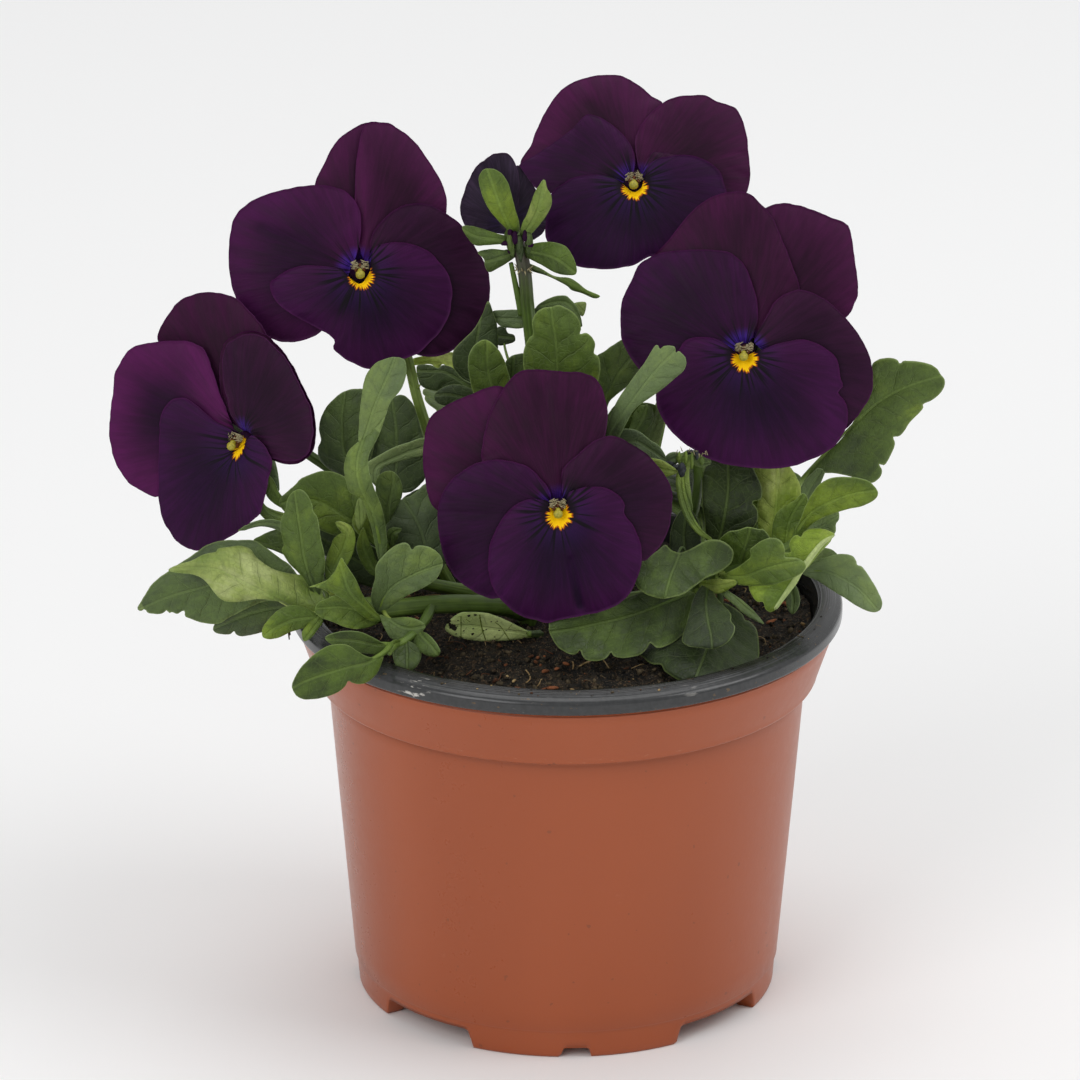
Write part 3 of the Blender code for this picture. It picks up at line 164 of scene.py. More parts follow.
# ---------------------------------------------------------------- flowers
# throat (u, v, y), the way the face looks, and each petal's layer (negative is behind) and outline in the elevation.
FLOWERS = {
    "front_flower": dict(
        throat=(558, 511, -27),
        face=(0.02, -0.97, 0.24),
        petals={
            "upper_left": (-2, [(503, 387), (488, 388), (467, 396), (444, 407), (431, 417), (425, 434), (423, 456), (425, 480), (434, 508), (460, 520), (500, 518), (533, 508), (546, 500), (538, 465), (524, 425), (514, 400)]),
            "upper_right": (-1, [(482, 460), (483, 440), (490, 414), (503, 389), (515, 375), (527, 370), (545, 370), (564, 372), (583, 373), (595, 378), (601, 386), (605, 399), (608, 416), (604, 440), (590, 470), (572, 494), (558, 502), (543, 497), (515, 486), (492, 472)]),
            "left": (0, [(551, 499), (547, 488), (538, 477), (524, 465), (510, 460), (485, 461), (469, 469), (450, 486), (440, 506), (440, 523), (443, 544), (448, 563), (459, 581), (475, 593), (496, 598), (512, 588), (527, 562), (540, 535), (549, 512)]),
            "right": (0, [(563, 500), (562, 485), (568, 465), (582, 451), (598, 439), (612, 435), (626, 441), (643, 453), (661, 469), (669, 486), (673, 506), (670, 525), (664, 541), (652, 555), (641, 560), (620, 552), (598, 537), (578, 522), (566, 512)]),
            "lower": (1, [(508, 511), (520, 502), (538, 499), (550, 506), (558, 513), (565, 505), (570, 497), (582, 490), (598, 486), (612, 491), (624, 502), (624, 513), (633, 523), (640, 540), (642, 558), (639, 579), (629, 600), (613, 609), (583, 617), (564, 620), (547, 624), (527, 619), (508, 607), (494, 593), (488, 574), (488, 550), (494, 527)]),
        },
    ),
    "left_flower": dict(
        throat=(240, 442, -6),
        face=(-0.56, -0.8, 0.22),
        dome=0.002,
        bend=dict(left=0.016),
        petals={
            "upper_left": (-2, [(156, 342), (163, 322), (175, 304), (188, 296), (207, 292), (226, 295), (237, 301), (253, 317), (265, 334), (268, 352), (262, 380), (252, 408), (240, 428), (226, 418), (205, 388), (180, 360)]),
            "upper_right": (-1, [(222, 345), (236, 334), (250, 331), (265, 335), (275, 345), (288, 360), (298, 378), (309, 403), (313, 418), (315, 434), (312, 451), (305, 459), (295, 464), (282, 464), (268, 459), (256, 446), (245, 435), (233, 425), (222, 400), (218, 368)]),
            "left": (0, [(156, 342), (131, 348), (118, 364), (112, 378), (111, 399), (108, 434), (111, 453), (116, 467), (125, 480), (135, 488), (156, 497), (176, 482), (198, 457), (218, 442), (231, 434), (225, 410), (214, 380), (204, 353), (196, 345), (184, 341)]),
            "right": (0, [(225, 346), (237, 337), (250, 334), (264, 338), (273, 347), (286, 362), (296, 380), (307, 404), (310, 418), (312, 434), (309, 449), (303, 457), (294, 461), (282, 461), (269, 457), (257, 445), (246, 434), (235, 424), (225, 400), (221, 368)]),
            "lower": (1, [(214, 422), (228, 429), (237, 437), (242, 442), (248, 436), (255, 438), (263, 446), (270, 459), (269, 471), (265, 490), (260, 510), (252, 520), (238, 531), (221, 541), (197, 551), (177, 543), (165, 527), (158, 504), (157, 478), (158, 440), (160, 417), (167, 402), (182, 398), (200, 409)]),
        },
    ),
    "upper_left_flower": dict(
        throat=(360, 272, 9),
        face=(0.06, -0.95, 0.3),
        petals={
            "upper_left": (-2, [(315, 185), (324, 164), (338, 140), (362, 124), (385, 124), (398, 134), (403, 160), (398, 200), (386, 235), (368, 260), (352, 258), (338, 235), (322, 207)]),
            "upper_right": (-1, [(366, 124), (386, 123), (396, 127), (413, 140), (431, 164), (444, 188), (447, 206), (442, 222), (420, 238), (392, 254), (371, 264), (362, 256), (357, 228), (355, 190), (358, 150)]),
            "left": (0, [(358, 250), (361, 228), (359, 208), (349, 194), (333, 187), (310, 185), (279, 191), (255, 199), (237, 214), (230, 234), (229, 264), (234, 294), (249, 317), (264, 335), (279, 341), (295, 342), (311, 338), (322, 331), (334, 311), (343, 290), (350, 272)]),
            "right": (0, [(370, 250), (373, 232), (386, 217), (404, 205), (426, 204), (444, 212), (462, 226), (477, 250), (488, 270), (490, 285), (488, 306), (477, 328), (466, 341), (448, 353), (426, 357), (410, 350), (398, 325), (386, 300), (375, 280), (369, 264)]),
            "lower": (1, [(310, 263), (328, 265), (341, 269), (350, 275), (360, 280), (368, 273), (372, 262), (377, 249), (389, 243), (406, 244), (424, 250), (440, 264), (449, 283), (452, 301), (448, 321), (433, 343), (417, 354), (389, 361), (370, 368), (353, 363), (340, 355), (334, 347), (334, 340), (324, 331), (293, 314), (273, 299), (269, 285), (275, 277), (292, 267)]),
        },
    ),
    "top_flower": dict(
        throat=(634, 184, 22),
        face=(-0.06, -0.84, 0.54),
        petals={
            "upper_left": (-2, [(521, 165), (531, 145), (536, 130), (546, 110), (563, 88), (590, 76), (618, 75), (638, 84), (651, 95), (663, 104), (662, 125), (651, 150), (640, 168), (628, 171), (600, 170), (560, 171)]),
            "upper_right": (-1, [(640, 171), (637, 159), (635, 143), (638, 130), (648, 115), (662, 103), (671, 98), (684, 95), (705, 95), (717, 101), (728, 104), (738, 110), (746, 132), (748, 146), (750, 174), (746, 193), (733, 203), (708, 203), (680, 195), (655, 183)]),
            "left": (0, [(519, 165), (540, 151), (569, 131), (584, 116), (592, 114), (606, 120), (621, 132), (632, 147), (635, 162), (631, 174), (622, 181), (600, 181), (572, 186), (549, 193), (535, 187), (524, 177)]),
            "right": (0, [(642, 178), (645, 162), (652, 152), (664, 152), (690, 158), (712, 170), (722, 184), (716, 198), (698, 203), (670, 199), (650, 190)]),
            "lower": (1, [(612, 175), (622, 180), (630, 186), (637, 189), (643, 183), (646, 172), (655, 161), (671, 155), (687, 153), (702, 156), (716, 165), (724, 177), (727, 190), (718, 208), (700, 228), (675, 246), (649, 259), (635, 264), (609, 269), (593, 268), (580, 266), (565, 257), (552, 246), (545, 234), (546, 220), (550, 206), (552, 195), (559, 187), (571, 179), (585, 174), (600, 173)]),
        },
    ),
    "right_flower": dict(
        throat=(744, 354, -6),
        face=(-0.08, -0.95, 0.28),
        petals={
            "upper_right": (-2, [(760, 338), (757, 300), (758, 250), (762, 215), (768, 207), (782, 203), (797, 205), (815, 211), (830, 217), (845, 223), (850, 231), (854, 253), (858, 288), (855, 303), (846, 318), (825, 330), (798, 340), (775, 345)]),
            "upper_left": (-1, [(648, 264), (654, 255), (671, 237), (689, 214), (708, 199), (728, 192), (747, 193), (760, 203), (771, 216), (782, 239), (791, 263), (798, 281), (799, 296), (784, 314), (766, 330), (750, 340), (736, 332), (710, 308), (678, 284)]),
            "left": (0, [(750, 341), (757, 322), (757, 302), (752, 283), (743, 264), (728, 252), (710, 250), (688, 250), (665, 252), (649, 258), (638, 266), (630, 283), (622, 301), (620, 322), (622, 340), (630, 357), (641, 372), (656, 382), (676, 379), (700, 368), (722, 358), (738, 350)]),
            "right": (0, [(755, 344), (758, 331), (766, 317), (776, 300), (788, 293), (802, 290), (819, 296), (832, 305), (849, 322), (863, 342), (871, 362), (873, 383), (869, 399), (856, 418), (843, 430), (830, 424), (814, 400), (795, 378), (775, 360)]),
            "lower": (1, [(719, 341), (730, 347), (738, 354), (745, 360), (752, 354), (760, 349), (771, 344), (786, 340), (806, 339), (823, 346), (836, 357), (840, 367), (842, 387), (840, 394), (847, 403), (848, 413), (845, 429), (837, 444), (823, 457), (795, 465), (767, 469), (740, 466), (714, 460), (688, 448), (669, 429), (658, 409), (655, 394), (660, 375), (668, 361), (679, 347), (690, 339), (703, 337)]),
        },
    ),
    "turned_flower": dict(
        throat=(506, 214, 12),
        face=(-0.18, 0.86, 0.48),
        dome=-1 / 70.0,
        petals={
            "lower": (-2, [(512, 232), (484, 230), (467, 226), (461, 216), (460, 204), (463, 191), (469, 177), (479, 162), (490, 154), (501, 151), (508, 153), (514, 160), (518, 172), (519, 192), (517, 214)]),
            "left": (-1, [(510, 170), (517, 164), (525, 173), (537, 190), (544, 205), (546, 220), (541, 232), (528, 238), (516, 234), (510, 215), (508, 190)]),
            "right": (0, [(507, 228), (488, 226), (474, 217), (469, 203), (474, 186), (486, 173), (500, 168), (509, 180), (511, 205)]),
            "upper_left": (1, [(512, 224), (510, 200), (511, 182), (520, 178), (532, 190), (538, 206), (535, 222), (523, 229)]),
            "upper_right": (2, [(508, 223), (492, 219), (482, 206), (486, 190), (500, 182), (514, 184), (523, 196), (521, 214)]),
        },
    ),
}

# ---------------------------------------------------------------- stalks, as (u, v, y) from the soil up to the receptacle
STALKS = {
    "front_flower": [(590, 598, -12), (580, 560, -9), (566, 524, -10), (560, 503, -15), (558, 498, -20)],
    "left_flower": [(452, 588, 9), (430, 552, 10), (400, 520, 10), (368, 496, 10), (340, 476, 10), (312, 457, 9), (286, 440, 8), (268, 432, 5)],
    "upper_left_flower": [(492, 590, 10), (462, 530, 10), (440, 470, 9), (427, 430, 9), (416, 395, 11), (408, 361, 14), (396, 325, 18), (378, 288, 20), (364, 262, 17)],
    "top_flower": [(632, 575, 18), (640, 520, 19), (652, 460, 20), (664, 400, 22), (668, 340, 25), (660, 280, 29), (648, 226, 33), (638, 187, 32), (635, 170, 29)],
    "right_flower": [(672, 585, 8), (712, 540, 8), (736, 490, 7), (748, 440, 6), (752, 395, 6), (750, 358, 5), (746, 340, 2)],
    "turned_flower": [(552, 588, 12), (548, 520, 11), (541, 440, 9), (533, 360, 7), (527, 305, 6), (524, 272, 5), (519, 248, 6), (513, 236, 8)],
}
STALK_R = 0.95
STALK_THICK = {"turned_flower": 1.05}

# sepals of the half-open flower: (u, v, y, half width left, half width right) from base to tip
TURNED_SEPALS = [
    [(514, 240, 6, 3, 3), (508, 224, 3, 8, 9), (500, 206, 1, 14, 15), (494, 188, 1, 15, 15), (488, 171, 2, 7, 7)],
    [(519, 242, 6, 3, 3), (530, 226, 3, 9, 9), (539, 207, 1, 11, 10), (544, 182, 1, 2, 2)],
    [(515, 242, 6, 3, 3), (494, 239, 3, 6, 7), (475, 236, 2, 8, 9), (462, 229, 1, 3, 3)],
    [(518, 252, 6, 3, 3), (502, 257, 3, 8, 8), (488, 261, 2, 10, 10), (480, 262, 1, 6, 6)],
    [(520, 250, 6, 3, 3), (538, 253, 3, 11, 11), (556, 258, 0, 14, 13), (575, 272, -1, 5, 5)],
    [(522, 262, 6, 2, 2), (545, 271, 5, 4, 4), (568, 282, 4, 5, 4), (600, 296, 4, 1, 1)],
]

# ---------------------------------------------------------------- leaves: (u, v, y, half width left, half width right)
# from base to tip. Left and right are as seen while walking to the tip. An entry may end with the extra depth of its
# left and right margins.
LEAVES = {
    # single leaves
    "leaf_pale_left": ([(326, 615, -22, 3, 3), (300, 611, -23, 4, 17), (277, 600, -24, 6, 26), (257, 589, -24, 13, 30), (237, 579, -24, 24, 31), (218, 570, -24, 17, 19), (196, 568, -23, 8, 12), (168, 570, -23, 2, 2)], 0, 3),
    "leaf_low_left": ([(322, 602, -16.5, 3, 3), (286, 592, -17, 12, 20), (255, 584, -18, 28, 38), (225, 583, -18, 37, 41), (195, 589, -18, 31, 31), (165, 598, -18, 17, 18), (140, 609, -18, 5, 5)], 0, 2),
    "leaf_over_rim": ([(386, 653, -38, 3, 3), (378, 657, -40, 8, 7), (366, 663, -43, 17, 12), (345, 668, -45, 19, 19), (325, 674, -46, 23, 24), (305, 681, -46, 19, 20), (294, 687, -46, 7, 8)], 2, 0),
    "leaf_round_left": ([(380, 609, -24, 3, 3), (384, 597, -25, 16, 10), (396, 584, -27, 28, 19), (414, 574, -29, 29, 19), (432, 567, -31, 18, 15), (442, 564, -31, 6, 6)], 0, 0),
    "leaf_upright_left": ([(318, 598, -20, 3, 3), (309, 574, -20, 18, 15), (304, 555, -20, 21, 20), (301, 535, -20, 18, 19), (298, 515, -20, 14, 15), (295, 493, -20, 6, 6)], 0, 0),
    "leaf_twisted": ([(381, 556, -15, 3, 3), (379, 535, -15, 5, 5), (371, 508, -16, 8, 8), (359, 482, -17, 13, 13), (358, 458, -16, 13, 13), (367, 430, -15, 8, 8), (375, 405, -15, 14, 14), (386, 380, -14, 17, 18), (394, 360, -13, 8, 8)], 0, 0),
    "leaf_big_right": ([(797, 486, 2, 3, 3), (820, 460, 3, 8, 18), (838, 441, 4, 18, 44), (858, 420, 5, 32, 49), (880, 401, 6, 38, 42), (908, 386, 7, 26, 27), (942, 375, 8, 7, 8)], 2, 0),
    "leaf_right": ([(797, 531, -11, 3, 3), (812, 512, -12, 17, 9), (834, 500, -13, 21, 13), (856, 493, -14, 16, 12), (876, 490, -15, 4, 4)], 0, 0),
    "leaf_low_right": ([(803, 571, -14, 3, 3), (823, 571, -15, 7, 6), (840, 577, -17, 20, 12), (858, 588, -19, 19, 14), (878, 610, -21, 5, 5)], 0, 0),
    "leaf_folded": ([(834, 537, -14, 3, 4), (821, 550, -16, 4, 26), (807, 569, -18, 4, 33), (793, 588, -20, 4, 33), (777, 608, -22, 3, 8)], 4, 3),
    "leaf_kidney": ([(682, 546, -16, 3, 3), (679, 555, -18, 34, 22), (675, 565, -21, 52, 34), (670, 578, -24, 38, 31), (665, 597, -28, 9, 9)], 2, 2),
    "leaf_crenate_front": ([(690, 593, -15, 3, 3), (676, 599, -18, 28, 12), (655, 607, -22, 36, 24), (625, 617, -25, 38, 26), (595, 624, -27, 33, 24), (570, 629, -29, 22, 18), (551, 632, -30, 8, 8)], -4, 3),
    "leaf_dark_front": ([(722, 604, -12, 3, 3), (718, 618, -15.5, 24, 26), (711, 637, -22.5, 44, 49), (704, 656, -29, 43, 47), (695, 679, -35, 12, 12)], 1, 5),
    "leaf_crenate_back": ([(558, 408, -2, 4, 4), (558, 388, -3, 26, 32), (557, 364, -4, 33, 42), (556, 342, -4, 28, 36), (553, 322, -4, 19, 24), (551, 307, -4, 6, 6)], 2, 2),
}

# shoots: the stems (u, v, y) with their radius, and the small leaves grown on them
SHOOTS = {
    "shoot_left": dict(
        stems=[
            ([(528, 612, -6), (505, 606, -10), (470, 604, -14), (430, 605, -18), (390, 609, -21), (352, 613, -22), (332, 612, -21)], 2.0),
            ([(432, 605, -18), (427, 617, -23), (416, 631, -28), (404, 641, -31), (393, 646, -32)], 1.0),
        ],
        leaves=[
            ([(318, 612, -14, 3, 3), (285, 607, -12.5, 15, 12), (252, 613, -13, 20, 17), (214, 628, -12, 6, 6)], 0, 0),
            ([(320, 617, -25, 3, 3), (297, 619, -26, 9, 9), (280, 625, -27, 13, 13), (264, 636, -28, 5, 5)], 0, 0),
            ([(322, 618, -25, 2, 2), (314, 628, -26, 8, 7), (305, 640, -27, 3, 3)], 0, 0),
            ([(386, 617, -26, 3, 3), (400, 626, -28, 11, 11), (412, 628, -29, 11, 11), (425, 626, -30, 3, 3)], 0, 0),
            ([(322, 590, -12, 3, 3), (298, 560, -12, 14, 14), (276, 548, -12, 14, 12), (254, 541, -11, 4, 4)], 0, 0),
            ([(330, 590, -16, 2, 2), (300, 545, -14, 3, 3), (283, 527, -14, 5, 4), (262, 523, -14, 3, 3), (240, 530, -14, 1, 1)], 0, 0),
            ([(340, 600, -21, 2, 2), (334, 572, -18, 9, 9), (345, 545, -17, 13, 10), (347, 531, -17, 6, 6), (336, 522, -17, 2, 2)], 0, 0),
            ([(352, 606, -24, 8, 10), (340, 588, -25, 12, 16), (327, 577, -26, 8, 10), (312, 586, -27, 2, 2)], 0, 0),
            ([(395, 646, -32, 3, 3), (375, 644, -34, 9, 8), (352, 640, -36, 11, 9), (327, 639, -37, 3, 3)], 0, 0),
            ([(406, 640, -31, 3, 3), (407, 650, -32, 13, 13), (407, 662, -33.5, 12, 12), (407, 670, -34.5, 5, 5)], 0, 0),
            ([(417, 630, -28, 3, 3), (423, 637, -31, 10, 10), (431, 645, -33, 10, 9), (438, 654, -34, 3, 3)], 0, 0),
            ([(402, 642, -31, 2, 2), (394, 645, -34, 4, 4), (389, 655, -36, 1, 1)], 0, 0),
            ([(376, 619, -25, 3, 4), (360, 611, -26, 14, 14), (342, 607, -26, 13, 13), (322, 608, -25.5, 5, 5)], 0, 0),
        ],
    ),
    "shoot_left_upright": dict(
        stems=[([(484, 594, 2), (450, 588, -1), (418, 580, -4), (396, 562, -8), (388, 540, -8), (384, 516, -6)], 1.4)],
        leaves=[
            ([(384, 520, -5, 3, 3), (360, 488, 0, 10, 10), (345, 455, 2, 24, 26), (342, 420, 3, 24, 26), (345, 393, 4, 10, 10)], 0, 0),
            ([(386, 520, -4, 3, 3), (396, 470, 2, 12, 12), (396, 430, 4, 20, 20), (392, 400, 5, 9, 9)], 0, 0),
            ([(382, 530, -8, 3, 3), (352, 520, -9, 14, 22), (318, 501, -9, 14, 25), (292, 500, -10, 10, 14), (272, 508, -10, 3, 3)], 0, 0),
            ([(384, 505, -7, 3, 3), (375, 470, -6, 8, 8), (400, 455, -4, 10, 9), (428, 445, -2, 9, 9)], 0, 0),
            ([(388, 528, -10, 3, 3), (389, 505, -11, 13, 13), (393, 484, -11, 12, 12), (393, 473, -11, 4, 4)], 0, 0),
            ([(410, 574, -8, 3, 3), (424, 550, -10, 20, 18), (418, 524, -11, 26, 20), (404, 500, -10, 10, 10)], 0, 0),
            ([(392, 545, -12, 2, 2), (393, 534, -13, 6, 6), (401, 529, -13, 1, 1)], 0, 0),
            ([(392, 553, -11, 2, 2), (372, 540, -11, 3, 3), (361, 524, -12, 8, 8), (361, 508, -12, 4, 4)], 0, 0),
            ([(398, 568, -11, 2, 2), (376, 570, -12, 6, 6), (364, 548, -13, 7, 7), (363, 528, -13, 1, 1)], 0, 0),
            ([(410, 576, -5, 3, 3), (385, 573, -3, 18, 14), (360, 562, -2, 22, 17), (338, 548, -2, 8, 8)], 0, 0),
        ],
    ),
    "leaf_spotted": dict(
        stems=[([(540, 634, -14), (530, 634, -15)], 0.8)],
        leaves=[([(532, 634, -14, 2, 2), (512, 631, -16, 8, 9), (488, 628, -17, 12, 15), (464, 625, -18, 10, 12), (442, 628, -18, 3, 3)], 0, 0)],
    ),
    "shoot_middle": dict(
        stems=[
            ([(566, 600, 3), (566, 520, 0), (560, 450, -1), (548, 405, 0), (520, 392, 2), (500, 396, 3)], 1.3),
            ([(566, 560, 1), (590, 500, -4), (604, 456, -8), (612, 440, -9)], 1.1),
        ],
        leaves=[
            ([(513, 402, 0, 3, 3), (493, 386, -3, 16, 18), (487, 366, -4, 18, 20), (487, 342, -5, 7, 7)], 0, 0),
            ([(520, 392, 3, 2, 2), (503, 340, 8, 3, 3), (512, 317, 9, 7, 7), (540, 306, 8, 9, 10), (566, 302, 7, 8, 10), (581, 320, 6, 4, 4)], 0, 0),
            ([(496, 396, 4, 3, 3), (474, 378, 6, 18, 16), (476, 345, 7, 22, 19), (484, 300, 8, 6, 6)], 0, 0),
            ([(512, 392, 3, 3, 3), (513, 370, 2, 9, 10), (514, 355, 2, 5, 5)], 0, 0),
            ([(500, 397, 3, 3, 3), (470, 386, 2, 11, 11), (445, 372, 2, 12, 12), (431, 371, 2, 6, 6)], 0, 0),
            ([(500, 400, 2, 3, 3), (470, 398, -1, 9, 9), (448, 394, -2, 9, 9), (436, 395, -2, 4, 4)], 0, 0),
            ([(606, 450, -9, 3, 3), (612, 432, -13, 7, 7), (625, 411, -15, 10, 11), (644, 385, -17, 14, 19), (661, 365, -18, 18, 22), (676, 350, -18, 7, 7)], 0, 0),
            ([(598, 470, -5, 3, 3), (600, 415, 2, 6, 6), (612, 385, 3, 19, 16), (627, 362, 4, 22, 22), (646, 345, 5, 8, 8)], 0, 0),
            ([(610, 446, -8, 2, 2), (632, 434, -4, 5, 5), (643, 418, -3, 10, 10), (647, 405, -3, 5, 5)], 0, 0),
            ([(608, 450, -9, 3, 3), (634, 441, -10, 9, 8), (650, 449, -10, 9, 8), (664, 459, -10, 3, 3)], 0, 0),
            ([(606, 458, -9, 2, 2), (640, 462, -11, 5, 5), (662, 469, -12, 8, 8), (678, 472, -12, 1, 1)], 0, 0),
            ([(606, 452, -8, 2, 2), (611, 432, -5, 8, 9), (617, 415, -4, 8, 8), (622, 403, -4, 3, 3)], 0, 0),
            ([(506, 394, 4, 2, 2), (490, 380, 9, 5, 5), (466, 366, 13, 7, 6), (440, 360, 17, 7, 6), (414, 360, 18, 3, 3)], 0, 0),
        ],
    ),
    "shoot_right": dict(
        stems=[([(612, 602, -4), (650, 596, -8), (700, 580, -10), (745, 566, -11), (780, 552, -11), (797, 540, -10), (801, 512, -6)], 1.5)],
        leaves=[
            ([(705, 577, -9, 3, 3), (720, 536, -8, 8, 10), (725, 512, -8, 18, 26), (728, 488, -6, 20, 32), (728, 455, -1, 10, 14)], 0, 0),
            ([(772, 556, -9, 3, 3), (774, 528, -6, 12, 14), (777, 498, -4, 24, 21), (780, 462, -2, 10, 10)], 0, 0),
            ([(800, 518, -6, 2, 2), (808, 492, -3, 8, 8), (822, 469, -2, 4, 4)], 0, 0),
            ([(799, 535, -7, 3, 3), (818, 528, -5, 10, 12), (834, 519, -5, 6, 6)], 0, 0),
            ([(720, 576, -14, 3, 3), (744, 576, -20, 14, 12), (766, 568, -24, 29, 16), (786, 563, -26, 18, 15), (801, 561, -27, 3, 3)], 0, 0),
            ([(700, 584, -14, 3, 3), (718, 586, -17, 7, 7), (737, 582, -19, 2, 2)], 0, 0),
            ([(790, 549, -10, 3, 3), (814, 560, -8, 9, 9), (834, 552, -8, 5, 5)], 0, 0),
            ([(716, 582, -15, 2, 2), (734, 598, -18, 4, 4), (748, 610, -20, 6, 6), (763, 622, -22, 1, 1)], 0, 0),
            ([(772, 562, -14, 2, 2), (788, 582, -15, 4, 4), (793, 598, -16, 8, 7), (792, 613, -17, 3, 3)], 0, 0),
            ([(708, 583, -13, 3, 3), (706, 603, -21, 18, 16), (708, 620, -26.5, 27, 26), (711, 635, -30, 22, 24), (712, 646, -32, 9, 10)], 0, 0),
            ([(738, 568, -11, 3, 3), (743, 552, -12.5, 22, 20), (747, 540, -13, 20, 18), (750, 529, -13.5, 7, 7)], 0, 0),
            ([(786, 550, -10, 3, 3), (787, 532, -8.5, 13, 14), (792, 515, -8, 12, 14), (804, 496, -8, 4, 5)], 0, 0),
            ([(690, 583, -9, 3, 3), (686, 560, -7.5, 14, 14), (684, 535, -7, 15, 14), (686, 512, -7, 6, 6)], 0, 0),
        ],
    ),
    "spent_calyx": dict(
        stems=[([(648, 588, 2), (672, 556, -1), (690, 520, -3), (697, 490, -4), (697, 466, -5), (690, 456, -7), (681, 459, -9)], 0.9)],
        leaves=[
            ([(686, 457, -8, 4, 4), (683, 478, -11, 6, 6), (686, 495, -12, 5, 5), (692, 510, -12, 1, 1)], 0, 0),
            ([(682, 460, -9, 3, 3), (680, 484, -12, 4, 4), (686, 510, -13, 4, 4), (698, 530, -14, 3, 3), (713, 541, -14, 1, 1)], 0, 0),
            ([(692, 456, -7, 3, 3), (700, 462, -8, 5, 5), (711, 462, -8, 2, 2)], 0, 0),
            ([(684, 457, -8, 3, 3), (672, 459, -9, 6, 6), (664, 468, -9, 2, 2)], 0, 0),
        ],
    ),
}

# rear shoots, not seen in the elevation: leaves by compass direction from the stem's top (degrees, 90 is straight back),
# with their rise, length, width and droop
REAR = {
    "shoot_rear_left": dict(
        stem=[(-8, 12, 76.2), (-13, 19, 82), (-16, 25, 89), (-18, 28, 97)],
        leaves=[(100, 45, 24, 14, 70), (158, 30, 26, 15, 60), (48, 35, 24, 14, 60), (205, 40, 22, 13, 55), (128, 25, 24, 15, 45), (70, 30, 22, 14, 45), (185, 38, 20, 12, 55), (82, 38, 20, 12, 55), (132, 42, 19, 12, 60)],
    ),
    "shoot_rear_right": dict(
        stem=[(24, 12, 76.2), (27, 19, 82), (29, 24, 88), (30, 27, 95)],
        leaves=[(85, 45, 24, 14, 70), (28, 30, 25, 15, 60), (122, 35, 15, 11, 60), (-18, 35, 19, 12, 55), (58, 30, 22, 14, 45), (112, 30, 22, 14, 45), (8, 38, 17, 11, 55), (100, 38, 20, 12, 55), (66, 42, 18, 11, 60)],
    ),
}


